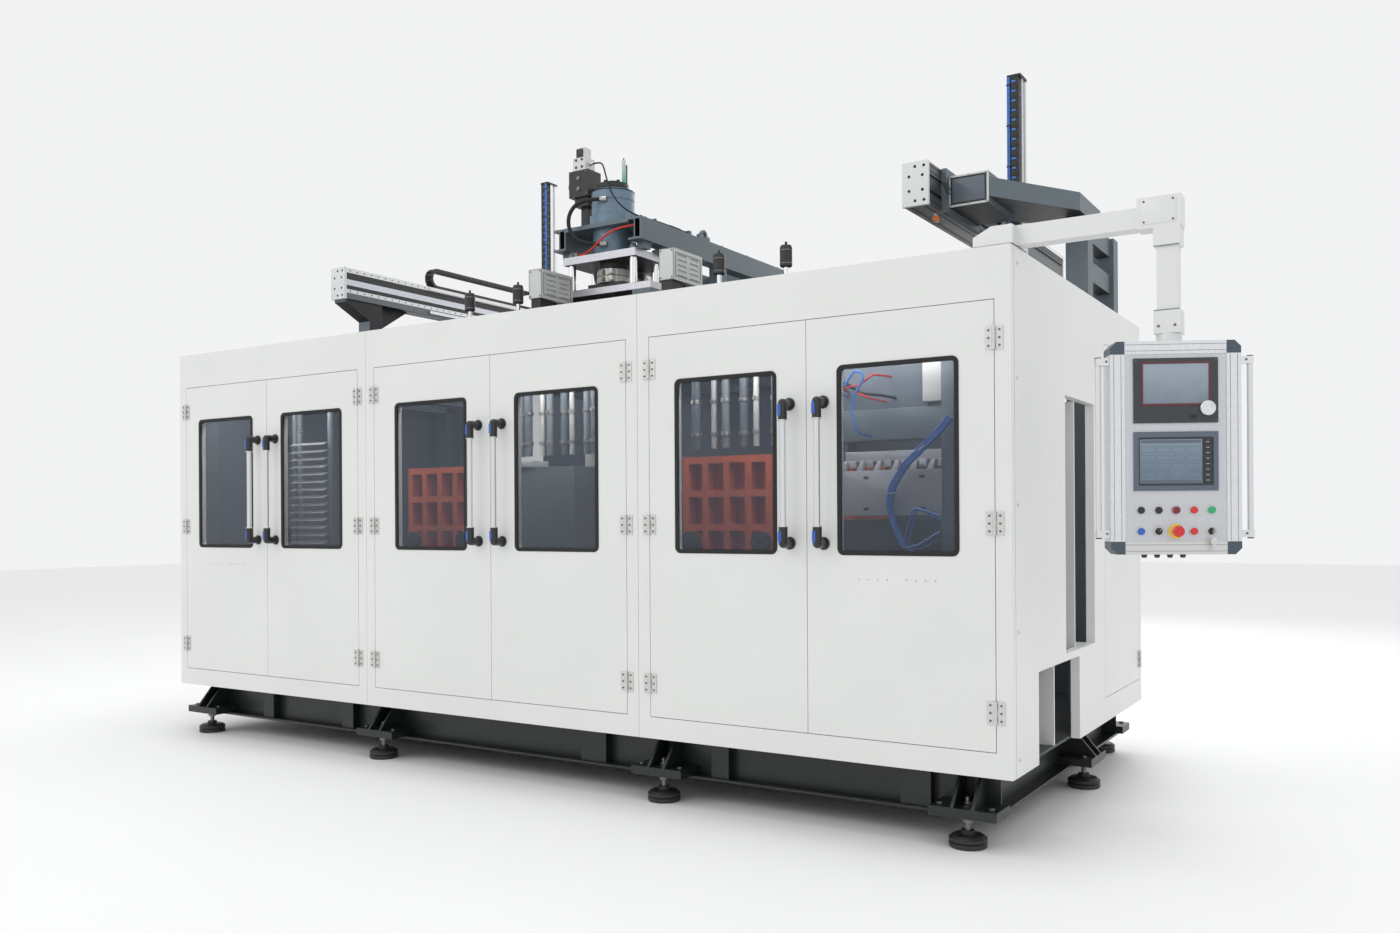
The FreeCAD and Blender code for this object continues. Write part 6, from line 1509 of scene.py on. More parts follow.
@dataclass
class HeadTower:
    """The extrusion head between its plates, its cylinder, valve, yoke and extruder."""

    middle: tuple[float, float] = (-2.341, 0.835)
    platform: float = 2.574
    plate: float = 2.777
    flange: float = 2.998
    lid: float = 3.145
    yoke: float = 2.937

    def at(self, across: float, back: float, up: float) -> Vector:
        """A place from the tower's middle, in millimetres across and back, with its height."""
        return Vector((self.middle[0] + across / 1000, self.middle[1] + back / 1000, up))

    def build(self, dresser: Dresser) -> None:
        """Dresses the nodes and adds the fittings.

        Args:
            dresser: Gives the CAD nodes their finishes.
        """
        columns = [(self.middle[0] + across * 0.2125, self.middle[1] + back * 0.105)
                   for across in (-1, 1) for back in (-1, 1)]

        def shafts(at: np.ndarray, out: np.ndarray) -> np.ndarray:
            """Faces of the four columns between the plates."""
            found = np.zeros(len(at), bool)
            for column in columns:
                found |= around(column, 0.0285, self.platform, self.plate - 0.042)(at, out)
            return found

        # Painted shade: the tower's downward faces over 2.53 m, under its plates, are painted black.
        dresser.dress(
            "head_tower", Finish.PLATE_STEEL, (Finish.CHROME, shafts),
            (Finish.HEAD_BLACK, lambda at, out: (out[:, 2] < -0.5) & (at[:, 2] > 2.53)),
            (Finish.SCREW_STEEL, above(self.plate + 0.0001)))
        dresser.dress("die_head", Finish.HEAD_BLACK)
        guard = self.at(39, 59, 0)
        probe = self.at(71, 6, 0)
        dresser.dress(
            "head_cylinder", Finish.CYLINDER_BLUE, (Finish.HEAD_BLACK, above(self.lid + 0.0002)),
            (Finish.SENSOR_GREEN, around(probe, 0.0115, self.lid + 0.08, self.lid + 0.125)),
            (Finish.COVER_GREY, around(probe, 0.0115, self.lid + 0.125)),
            (Finish.VALVE_BLACK, around(guard, 0.021, self.lid + 0.041)),
            (Finish.FITTING_STEEL, lambda at, out: (at[:, 1] < self.middle[1] - 0.1215)
             & (np.hypot(at[:, 0] - self.middle[0], at[:, 1] - self.middle[1]) > 0.1225)
             & (at[:, 0] < self.middle[0] + 0.045)
             & ((at[:, 2] < 2.86) | (at[:, 2] > 3.03))))
        dresser.dress("servo_valve", Finish.VALVE_BLACK, (Finish.COVER_GREY, above(3.2851)))
        dresser.dress("yoke_beams", Finish.STEELWORK_GREY,
                      (Finish.STEELWORK_DARK, lambda at, out: (at[:, 1] > 0.676)
                       & (at[:, 1] < 0.7651) & (at[:, 2] > 2.8275) & (at[:, 2] < 2.9245)
                       & (np.abs(np.abs(at[:, 0] - self.middle[0]) - 0.26) < 0.0425)))
        dresser.dress("guide_cylinders", Finish.HEAD_BLACK,
                      (Finish.CHROME, lambda at, out: (at[:, 2] > 2.2625) & (at[:, 2] < 2.4735)))
        dresser.dress("junction_boxes", Finish.COVER_GREY, (Finish.HEAD_BLACK, below(2.4939)))
        dresser.dress("main_frame", Finish.STEELWORK_GREY,
                      (Finish.CHROME, lambda at, out: (at[:, 2] > 0.4301) & (at[:, 2] < 0.475)
                       & (np.abs(out[:, 0]) < 0.5)))
        self.cylinder_parts()
        self.valve_parts()
        self.die_parts()
        self.yoke_parts()
        self.box_parts()
        self.extruder(dresser)

    def cylinder_parts(self) -> None:
        """Flange screws, hose nuts and the probe's cable stub."""
        made = Piece("head_cylinder_parts", MACHINE)
        ring = [moved(self.at(126.2 * math.cos(turn), 126.2 * math.sin(turn), self.flange - 0.0006))
            for turn in (math.tau * (step + 0.5) / 20 for step in range(20)) if not (math.cos(turn)
            > 0.83)]
        made.take(screw_head(0.0052, 0.0065), Finish.SCREW_STEEL, *ring)
        way = (math.cos(math.radians(210)), math.sin(math.radians(210)), 0)
        for lift in (298, 49):
            start = self.at(23, -128, self.plate + lift / 1000) + Vector(way) * 0.0065
            made.take(hex_head(0.0185, 0.008), Finish.FITTING_STEEL, towards(start, way))
        tip = self.at(71, 6, self.lid + 0.17)
        made.take(rod(0.0035, 0.014, 0.0008, 12), Finish.HEAD_BLACK,
                  moved(tip))
        band = lathe([(0.1209, 0.0), (0.1222, 0.0008), (0.1222, 0.0072), (0.1209, 0.008)], 64)
        made.take(band, Finish.STEELWORK_DARK,
                  moved((*self.middle, self.lid - 0.012)))
        made.done()

    def valve_parts(self) -> None:
        """Cap screws, port plugs, the servo's plug and the cable's gland."""
        made = Piece("servo_valve_parts", MACHINE)
        front = -70.0
        screws = [towards(self.at(across, front, up), (0, -1, 0))
                  for across in (-250, -137) for up in (3.150, 3.270)]
        made.take(screw_head(0.0058, 0.005), Finish.SCREW_STEEL, *screws)
        plugs = [towards(self.at(-193.5, front, up), (0, -1, 0)) for up in (3.180, 3.240)]
        made.take(hex_head(0.014, 0.006), Finish.SCREW_STEEL, *plugs)
        collar = [towards(self.at(-286, -10, 3.210) + Vector((0.0002, 0, 0)), (-1, 0, 0))]
        made.take(lathe([(0.0, 0.0), (0.030, 0.0), (0.030, 0.004), (0.024, 0.006), (0.010, 0.006),
                         (0.010, 0.003), (0.0, 0.003)], 32), Finish.SCREW_STEEL, *collar)
        ports = [towards(self.at(-195 + 21 * across, -62, 3.322 + 0.026 * up), (0, -1, 0))
                 for across in (-1, 1) for up in (-0.6, 1)]
        made.take(rod(0.0075, 0.0025, 0.0006, 18), Finish.HEAD_BLACK, *ports)
        made.take(block(self.at(-219, -58, 3.360), self.at(-174, -49.8, 3.412), 0.003),
                  Finish.HEAD_BLACK)
        gland = towards(self.at(-152, -16, self.plate + 0.550), (1, 0, 0))
        made.take(lathe([(0.0047, 0.0), (0.0105, 0.0), (0.0105, 0.008), (0.0085, 0.012),
                         (0.0085, 0.020), (0.0060, 0.024), (0.0047, 0.024)], 24),
                  Finish.FITTING_STEEL, gland)
        foot = towards(self.at(270, 330, self.plate + 0.170), (0, -1, 0))
        made.take(lathe([(0.0047, -0.0005), (0.0098, -0.0005), (0.0098, 0.008), (0.0080, 0.012),
                         (0.0047, 0.016)], 24), Finish.FITTING_STEEL, foot)
        made.done()

    def die_parts(self) -> None:
        """Heater bands with their clamps and plugs, and the plates' screws."""
        made = Piece("die_head_parts", MACHINE)
        for low in (2.624, 2.663):
            made.take(lathe([(0.0921, 0.0), (0.0946, 0.0), (0.0946, 0.034), (0.0921, 0.034)], 64),
                      Finish.HEATER_BAND, moved((*self.middle, low)))
            made.take(block(self.at(-8, -106, low + 0.004), self.at(8, -93, low + 0.030), 0.0015),
                      Finish.SCREW_STEEL)
            made.take(block(self.at(40, -104, low + 0.003), self.at(66, -70, low + 0.031), 0.003),
                      Finish.COVER_GREY)
        nuts = [moved(self.at(across * 212.5, back * 105, self.plate + 0.0228))
                for across in (-1, 1) for back in (-1, 1)]
        made.take(hex_head(0.017, 0.010), Finish.SCREW_STEEL, *nuts)
        holds = [moved(self.at(across, back, self.platform - 0.0001))
                 for across in (-355, 355) for back in (-155, 60, 300, 520, 740)]
        made.take(screw_head(0.009, 0.008), Finish.SCREW_STEEL, *holds)
        clips = [moved(self.at(across, -150, self.platform - 0.0001))
                 for across in (-240, -80, 80, 240)]
        made.take(screw_head(0.0065, 0.006), Finish.SCREW_STEEL, *clips)
        line = (self.at(-300, -150, 2.5795), self.at(300, -150, 2.5795))
        made.take(pipe(line, 0.0040, 0.01), Finish.HOSE_BLACK)
        line = (self.at(340, -165, 2.5800), self.at(340, -130, 2.5800), self.at(150, -130, 2.5800),
                self.at(150, -95, 2.5800))
        made.take(pipe(line, 0.0045, 0.012), Finish.HOSE_RED)
        made.done()

    def yoke_parts(self) -> None:
        """Screws on the yoke's tops and the cable clips."""
        made = Piece("yoke_parts", MACHINE)
        tops = [moved(self.at(way * 260 + across, back, self.yoke - 0.0001))
                for way in (-1, 1) for across in (-30, 30)
                for back in (-140, -100, 110, 700, 1000, 1400)]
        made.take(screw_head(0.0078, 0.007), Finish.SCREW_STEEL, *tops)
        deck = [moved(self.at(across, back, self.yoke - 0.0001))
                for across in (-190, 190) for back in (-135, 190)]
        made.take(screw_head(0.0065, 0.006), Finish.SCREW_STEEL, *deck)
        lips = [moved(self.at(283, back, self.yoke)) for back in (90, 240)]
        made.take(block((-0.0095, -0.008, 0.0), (0.0095, 0.008, 0.0052), 0.0015),
                  Finish.HEAD_BLACK, *lips)
        made.done()

    def box_parts(self) -> None:
        """Lid seams, screws and glands of the two terminal boxes, and the cylinders' rings."""
        made = Piece("junction_box_parts", MACHINE)
        for reach in (1.922, 2.777):
            low = spot(reach, 0.450, 2.494)
            made.take(frame(0.0864, 0.156, 0.0016, 0.0012, 0.003), Finish.HEAD_BLACK,
                      moved(low + Vector((0.043, 0.0, 0.079))))
            heads = [towards(low + Vector((across, 0.0, up)), (0, -1, 0))
                     for across in (0.010, 0.076) for up in (0.012, 0.146)]
            made.take(screw_head(0.0042, 0.0028), Finish.SCREW_STEEL, *heads)
            glands = [towards(low + Vector((0.043, 0.060 + 0.05 * step, 0.0001)), (0, 0, -1))
                      for step in (1, 2)]
            made.take(rod(0.011, 0.016, 0.002, 16), Finish.HEAD_BLACK, *glands)
            seam = frame(0.232, 0.120, 0.0018, 0.0012, 0.006)
            turn = Matrix.Rotation(math.radians(90), 4, "Z")
            made.take(seam, Finish.STEELWORK_DARK,
                      moved(low + Vector((0.0861, 0.135, 0.079))) @ turn)
        rings = [moved(spot(reach, 0.450, 2.474 + lift + up))
                 for reach, lift in ((1.201, 0.0), (1.569, 0.008), (2.856, 0.004), (3.213, 0.0))
                 for up in (0.012, 0.074)]
        made.take(lathe([(0.0288, 0.0), (0.0298, 0.0008), (0.0298, 0.0052), (0.0288, 0.006)], 32),
                  Finish.SCREW_STEEL, *rings)
        made.done()

    def extruder(self, dresser: Dresser) -> None:
        """The barrel's bands, the gearbox, the finned motor and the feed throat.

        Args:
            dresser: Gives the CAD nodes their finishes.
        """
        axis = self.platform + 0.080
        start = self.middle[1] + 0.092
        dresser.dress("extruder", Finish.STEELWORK_GREY, (Finish.HEATER_BAND, lambda at,
            out: (np.hypot(at[:, 0] - self.middle[0], at[:, 2] - axis) < 0.077) & (at[:,
            1] > start + 0.1) & (at[:, 1] < start + 0.84)), (Finish.MOTOR_GREY, lambda at,
            out: at[:, 1] > start + 1.4205))
        made = Piece("extruder_parts", MACHINE)
        fins = [towards((self.middle[0], start + 1.440 + 0.020 * step, axis), (0, 1, 0))
                for step in range(16)]
        made.take(lathe([(0.1298, 0.0), (0.1345, 0.001), (0.1345, 0.005), (0.1298, 0.006)], 48),
                  Finish.MOTOR_GREY, *fins)
        cowl = towards((self.middle[0], start + 1.8398, axis), (0, 1, 0))
        made.take(lathe([(0.0, 0.0), (0.112, 0.0), (0.112, 0.003), (0.104, 0.004), (0.104, 0.0015),
                         (0.0, 0.0015)], 48), Finish.MOTOR_GREY, cowl)
        grille = cowl @ moved((0, 0, 0.0024))
        for radius in (0.025, 0.045, 0.065, 0.085):
            made.take(torus(radius, 0.0018, 40), Finish.HEAD_BLACK, grille)
        clamps = [moved((self.middle[0], start + 0.110 + 0.190 * step + reach, axis))
                  for step in range(4) for reach in (0.030, 0.120)]
        made.take(lathe([(0.0758, -0.004), (0.0775, -0.004), (0.0775, 0.004), (0.0758, 0.004)], 48),
                  Finish.SCREW_STEEL,
                  *[matrix @ Matrix.Rotation(math.radians(-90), 4, "X") for matrix in clamps])
        made.take(block((-0.010, -0.008, 0.0755), (0.010, 0.008, 0.090), 0.002),
                  Finish.SCREW_STEEL, *clamps)
        bolts = [towards((self.middle[0] + across, start + 1.1202, axis + up), (0, -1, 0))
                 for across in (-0.165, 0.0, 0.165) for up in (-0.125, 0.115)]
        made.take(hex_head(0.013, 0.009), Finish.SCREW_STEEL, *bolts)
        lid = [moved((self.middle[0] + across, start + 0.950 + back, axis + 0.1379))
               for across in (-0.075, 0.075) for back in (-0.075, 0.075)]
        made.take(screw_head(0.0075, 0.006), Finish.SCREW_STEEL, *lid)
        made.done()


@dataclass
class OperatorPendant:
    """The swinging arm and the operator's box that hangs from it."""

    axis: tuple[float, float] = (0.745, 0.050)
    turn: float = 27.5
    foot: float = 1.158
    left: float = -0.234
    front: float = -0.096
    first: float = 0.104
    pitch: float = 0.0606
    rows: tuple[float, float] = (0.082, 0.157)

    @property
    def placing(self) -> Matrix:
        """Carries the front's own frame, across, out to the front and up, into the machine's."""
        return moved((*self.axis, self.foot)) \
            @ Matrix.Rotation(math.radians(self.turn), 4, "Z") \
            @ moved((self.left, self.front, 0.0))

    def local(self, at: np.ndarray) -> np.ndarray:
        """Face centres in the front's own frame: across, back and up."""
        held = np.array(self.placing.inverted())
        return at @ held[:3, :3].T + held[:3, 3]

    def build(self, dresser: Dresser) -> None:
        """Dresses the nodes and adds the fine pieces.

        Args:
            dresser: Gives the CAD nodes their finishes.
        """
        self.dress(dresser)
        self.screens()
        self.surround()
        self.controls()
        self.arm()

    def dress(self, dresser: Dresser) -> None:
        """Dresses the arm, the case, the screens, the handles and the controls.

        Args:
            dresser: Gives the CAD nodes their finishes.
        """
        dresser.dress("arm_pivot", Finish.SCREW_STEEL)
        dresser.dress("swing_arm", Finish.ARM_LIGHT)

        def corners(at: np.ndarray, out: np.ndarray) -> np.ndarray:
            """Faces of the case's four corner pieces."""
            held = self.local(at)
            wide = (held[:, 0] < 0.0501) | (held[:, 0] > 0.3999)
            tall = (held[:, 2] < 0.0461) | (held[:, 2] > 0.7109)
            return wide & tall & (held[:, 1] > -0.0001) & (held[:, 1] < 0.0861)

        def sheet(at: np.ndarray, out: np.ndarray) -> np.ndarray:
            """Faces of the front sheet."""
            held = self.local(at)
            return (held[:, 0] > 0.0499) & (held[:, 0] < 0.4001) & (held[:, 2] > 0.0459) \
                & (held[:, 2] < 0.7111) & (held[:, 1] < 0.0075) & (held[:, 1] > 0.0025)

        def collars(at: np.ndarray, out: np.ndarray) -> np.ndarray:
            """Faces of the controls' fixed collars."""
            held = self.local(at)
            return (held[:, 1] < 0.00295) & (held[:, 0] > 0.06) & (held[:, 0] < 0.39) \
                & (held[:, 2] < 0.2)

        def buzzer(at: np.ndarray, out: np.ndarray) -> np.ndarray:
            """Faces of the buzzer."""
            held = self.local(at)
            reach = np.hypot(held[:, 0] - self.first - 2 * self.pitch, held[:, 2] - self.rows[1])
            return (reach < 0.0135) & (held[:, 1] < 0.0031)

        dresser.dress("pendant_case", Finish.PENDANT_PROFILE, (Finish.PENDANT_CORNER, corners),
                      (Finish.PENDANT_SHEET, sheet), (Finish.HINGE_STEEL, collars),
                      (Finish.BUZZER_RED, buzzer),
                      (Finish.ARM_LIGHT, lambda at, out: self.local(at)[:, 2] > 0.7572))

        def upper_glass(at: np.ndarray, out: np.ndarray) -> np.ndarray:
            """Faces of the upper screen's glass."""
            held = self.local(at)
            return (held[:, 1] > -0.00205) & (held[:, 1] < -0.0009) & (held[:, 2] > 0.53) \
                & (held[:, 0] > 0.1119) & (held[:, 0] < 0.3381)

        def lower_glass(at: np.ndarray, out: np.ndarray) -> np.ndarray:
            """Faces of the lower screen's glass."""
            held = self.local(at)
            return (held[:, 1] > -0.00205) & (held[:, 1] < -0.0009) & (held[:, 2] < 0.42) \
                & (held[:, 0] > 0.0979) & (held[:, 0] < 0.3521)

        def lower(at: np.ndarray, out: np.ndarray) -> np.ndarray:
            """Faces of the lower screen's bezel."""
            return self.local(at)[:, 2] < 0.45

        dresser.dress("pendant_screens", Finish.BEZEL_CHARCOAL, (Finish.BEZEL_BLUE, lower),
                      (Finish.UPPER_DISPLAY, upper_glass), (Finish.KEY_DARK, lower_glass))
        dresser.dress("pendant_handles", Finish.GRIP_SILVER)
        for name, finish in (("start_button", Finish.BUTTON_BLACK), ("stop_button",
                Finish.BUTTON_BLACK), ("red_button", Finish.BUTTON_RED), ("green_button",
                Finish.BUTTON_GREEN), ("blue_button", Finish.BUTTON_BLUE), ("speed_dial",
                Finish.BUTTON_BLACK), ("emergency_stop", Finish.BUTTON_RED), ("reset_button",
                Finish.BUTTON_RED), ("key_switch", Finish.BUTTON_BLACK), ("jog_wheel",
                Finish.GRIP_SILVER)):
            dresser.dress(name, finish)

    def face(self, across: float, up: float, out: float) -> Matrix:
        """Stands a part on the front, its own Z towards the operator."""
        return towards((across, -out, up), (0, -1, 0))

    def flat(self, across: float, up: float, out: float) -> Matrix:
        """Lays a flat frame on the front."""
        return moved((across, -out, up))

    def screens(self) -> None:
        """The red frame, the film of the lower screen, its keys and its widgets."""
        made = Piece("pendant_screen_parts", "pendant", self.placing)
        made.take(frame(0.2400, 0.1560, 0.0075, 0.0018, 0.009, 0.0006), Finish.FRAME_DARK_RED,
                  self.flat(0.225, 0.605, 0.0029))
        made.take(frame(0.0160, 0.0100, 0.0, 0.0008, 0.001), Finish.HOSE_BLACK,
                  self.flat(0.285, 0.488, 0.0029))
        made.take(frame(0.0260, 0.0200, 0.0020, 0.0014, 0.003, 0.0004), Finish.KEY_DARK,
                  self.flat(0.285, 0.488, 0.0029))
        made.take(frame(0.2140, 0.1560, 0.0, 0.0006, 0.001), Finish.LOWER_DISPLAY,
                  self.flat(0.2075, 0.330, 0.0020))
        made.take(frame(0.2580, 0.1720, 0.0040, 0.0010, 0.005, 0.0004), Finish.BEZEL_CHARCOAL,
                  self.flat(0.225, 0.330, 0.0026))
        keys = [self.flat(0.333, 0.2625 + 0.0193 * step, 0.0020) for step in range(8)]
        made.take(frame(0.0250, 0.0150, 0.0, 0.0020, 0.002, 0.0005), Finish.KEY_DARK, *keys)
        marks = [self.flat(0.333, 0.2625 + 0.0193 * step, 0.0040) for step in range(8)]
        made.take(frame(0.0120, 0.0014, 0.0, 0.0002, 0.0004), Finish.COVER_GREY, *marks)
        bars = [self.flat(0.2075, 0.400, 0.0026), self.flat(0.2075, 0.2585, 0.0026)]
        made.take(frame(0.2060, 0.0100, 0.0, 0.0002, 0.0005), Finish.BEZEL_BLUE, *bars)
        fields = [self.flat(0.128 + 0.053 * column, 0.283 + 0.0295 * row, 0.0026)
                  for column in range(4) for row in range(4)]
        made.take(frame(0.0460, 0.0215, 0.0010, 0.0002, 0.0015), Finish.BEZEL_BLUE, *fields)
        screws = [self.face(across, up, 0.0030) for across in (0.0875, 0.3625)
                  for up in (0.2335, 0.4275, 0.4735, 0.6885)]
        made.take(screw_head(0.0026, 0.0011), Finish.SCREW_STEEL, *screws)
        made.done()

    def surround(self) -> None:
        """Grooves down the profiles, cap screws in the corners and the sheet's rivets."""
        made = Piece("pendant_trim", "pendant", self.placing)
        sides = [self.flat(across, 0.3785, 0.0001) for across in (0.0125, 0.0375, 0.4125, 0.4375)]
        made.take(frame(0.0014, 0.660, 0.0, 0.0004, 0.0003), Finish.STEELWORK_GREY, *sides)
        ends = [self.flat(0.225, up, 0.0001) for up in (0.012, 0.034, 0.723, 0.745)]
        made.take(frame(0.348, 0.0014, 0.0, 0.0004, 0.0003), Finish.STEELWORK_GREY, *ends)
        caps = [self.face(across, up, 0.0) for across in (0.028, 0.422) for up in (0.026, 0.731)]
        made.take(lathe([(0.0, 0.0), (0.0062, 0.0), (0.0062, 0.0006), (0.0050, 0.0014),
                         (0.0, 0.0018)], 20), Finish.PENDANT_CORNER, *caps)
        rivets = [self.face(across, up, -0.003) for across in (0.058, 0.392)
                  for up in (0.056, 0.210, 0.450, 0.701)]
        made.take(lathe([(0.0, 0.0), (0.0030, 0.0), (0.0026, 0.0010), (0.0, 0.0014)], 14),
                  Finish.HINGE_STEEL, *rivets)
        back = [towards((across, 0.0840, up), (0, 1, 0)) for across in (0.07, 0.225, 0.38)
                for up in (0.07, 0.45, 0.66)]
        made.take(screw_head(0.0040, 0.0022), Finish.SCREW_STEEL, *back)
        ribs = [moved((0.150 + 0.012 * step, 0.0848, 0.28)) for step in range(13)]
        made.take(frame(0.0050, 0.110, 0.0, 0.0008, 0.0024), Finish.HEAD_BLACK, *ribs)
        glands = [towards((0.130 + 0.045 * step, 0.055, 0.0), (0, 0, -1)) for step in range(4)]
        made.take(lathe([(0.0, 0.0), (0.0105, 0.0), (0.0105, 0.006), (0.0085, 0.009),
                         (0.0085, 0.013), (0.0, 0.013)], 20), Finish.HEAD_BLACK, *glands)
        made.done()
        grips = Piece("pendant_grips", "pendant", self.placing)
        for across in (-0.037, 0.487):
            for up in (0.056, 0.7005):
                grips.take(lathe([(0.0, 0.0), (0.0104, 0.0), (0.0110, 0.0008), (0.0110, 0.0032),
                                  (0.0104, 0.004), (0.0, 0.004)], 28), Finish.HEAD_BLACK,
                           moved((across, 0.022, up - 0.0005)))
            for up in (0.074, 0.688):
                grips.take(screw_head(0.0042, 0.0030), Finish.SCREW_STEEL,
                           towards((across * 0.3 if across < 0 else 0.470, 0.008, up), (0, -1, 0)))
        grips.done()

    def controls(self) -> None:
        """Rings, the dial's scale and pointer, the buzzer's holes, the key and the wheel's rim."""
        made = Piece("control_marks", "pendant", self.placing)
        stop = (self.first + 2 * self.pitch, self.rows[0])
        made.take(lathe([(0.0157, 0.0), (0.0262, 0.0), (0.0262, 0.0012), (0.0250, 0.0020),
                         (0.0157, 0.0020)], 48), Finish.RING_YELLOW,
                  self.face(stop[0], stop[1], -0.0029))
        dial = (self.first + self.pitch, self.rows[0])
        ticks = []
        for step in range(11):
            angle = math.radians(-135 + 27 * step)
            ticks.append(self.flat(dial[0] + 0.0195 * math.sin(angle),
                                   dial[1] + 0.0195 * math.cos(angle), -0.0029)
                         @ Matrix.Rotation(angle, 4, "Y"))
        made.take(frame(0.0011, 0.0040, 0.0, 0.0003, 0.0003), Finish.HEAD_BLACK, *ticks)
        holes = [self.face(self.first + 2 * self.pitch + across, self.rows[1] + up, 0.0080)
                 for across in (-0.0035, 0.0035) for up in (-0.0035, 0.0035)]
        made.take(rod(0.0013, 0.0003, 0.0, 10), Finish.HOSE_BLACK, *holes)
        made.done()
        pointer = Piece("dial_pointer", "speed_dial", self.placing)
        pointer.take(block((-0.0007, -0.0175, 0.0), (0.0007, -0.0168, 0.0065), 0.0002),
                     Finish.COVER_GREY, moved((*dial[:1], 0.0, dial[1])))
        ridges = [self.face(*dial, 0.0045) @ Matrix.Rotation(math.tau * step / 18, 4, "Z")
                  for step in range(18)]
        pointer.take(block((0.0076, -0.0006, 0.0), (0.0090, 0.0006, 0.0112), 0.0003),
                     Finish.BUTTON_BLACK, *ridges)
        pointer.done()
        self.mushroom(stop)
        self.key()
        self.wheel()

    def mushroom(self, place: tuple[float, float]) -> None:
        """The emergency stop's grip ring under its cap.

        Args:
            place: The control's place on the front sheet.
        """
        made = Piece("emergency_stop_rim", "emergency_stop", self.placing)
        made.take(lathe([(0.0195, 0.0), (0.0204, 0.0010), (0.0204, 0.0034), (0.0195, 0.0044)], 48),
                  Finish.BUTTON_RED, self.face(*place, 0.0238))
        made.take(torus(0.0095, 0.0007, 36), Finish.BUTTON_RED, self.face(*place, 0.0345))
        made.done()

    def key(self) -> None:
        """The key in its switch, and the spare that hangs from its ring."""
        made = Piece("key", "key_switch", self.placing)
        across, up = self.first + 4 * self.pitch, self.rows[0]
        made.take(frame(0.0026, 0.0100, 0.0, 0.0060, 0.0006), Finish.HINGE_STEEL,
                  self.flat(across, up, 0.0070))
        bow = frame(0.0200, 0.0230, 0.0, 0.0022, 0.0070, 0.0005)
        turn = Matrix.Rotation(math.radians(90), 4, "Z")
        made.take(bow, Finish.HINGE_STEEL,
                  moved((across - 0.0011, -0.0225, up)) @ turn)
        made.take(torus(0.0085, 0.0007, 28), Finish.HINGE_STEEL,
                  self.face(across, up - 0.0170, 0.0225) @ Matrix.Rotation(0.3, 4, "X"))
        made.take(frame(0.0200, 0.0230, 0.0, 0.0020, 0.0070, 0.0005), Finish.HINGE_STEEL,
                  self.flat(across, up - 0.0350, 0.0215))
        made.take(frame(0.0068, 0.0260, 0.0, 0.0018, 0.0012, 0.0003), Finish.HINGE_STEEL,
                  self.flat(across, up - 0.0560, 0.0216))
        made.done()

    def wheel(self) -> None:
        """The jog wheel's ribbed rim and finger dimple."""
        made = Piece("jog_wheel_rim", "jog_wheel", self.placing)
        place = self.face(0.332, 0.517, 0.0045)
        ribs = [place @ Matrix.Rotation(math.tau * step / 48, 4, "Z") for step in range(48)]
        made.take(block((0.0256, -0.0007, 0.0), (0.0268, 0.0007, 0.0098), 0.0004),
                  Finish.GRIP_SILVER, *ribs)
        made.take(lathe([(0.0, 0.0006), (0.0040, 0.0008), (0.0052, 0.0016), (0.0062, 0.0008),
                         (0.0062, 0.0)], 28), Finish.HINGE_STEEL,
                  self.face(0.332 + 0.0135, 0.517 + 0.0075, 0.0170))
        made.done()

    def arm(self) -> None:
        """Cover plates, screws and seams on the swinging arm."""
        made = Piece("swing_arm_parts", "swing_arm")
        plates = [moved((0.719, 0.0059, 2.396))]
        made.take(frame(0.120, 0.092, 0.0, 0.0025, 0.006, 0.0008), Finish.ARM_LIGHT, *plates)
        heads = [towards((0.719 + across, 0.0036, 2.396 + up), (0, -1, 0))
                 for across in (-0.050, 0.050) for up in (-0.037, 0.037)]
        made.take(screw_head(0.0040, 0.0024), Finish.SCREW_STEEL, *heads)
        tops = [moved((x, y, 2.4134)) for x in (0.135, 0.188)
                for y in (-0.028, 0.120)]
        made.take(screw_head(0.0070, 0.006), Finish.SCREW_STEEL, *tops)
        seams = [moved((0.745, 0.0059, up)) for up in (2.0365, 2.2685)]
        made.take(frame(0.0895, 0.0030, 0.0, 0.0006, 0.0004), Finish.STEELWORK_GREY, *seams)
        grub = [towards((0.745 + across, 0.0061, 1.979), (0, -1, 0)) for across in (-0.028, 0.028)]
        made.take(screw_head(0.0052, 0.0020), Finish.SCREW_STEEL, *grub)
        made.done()


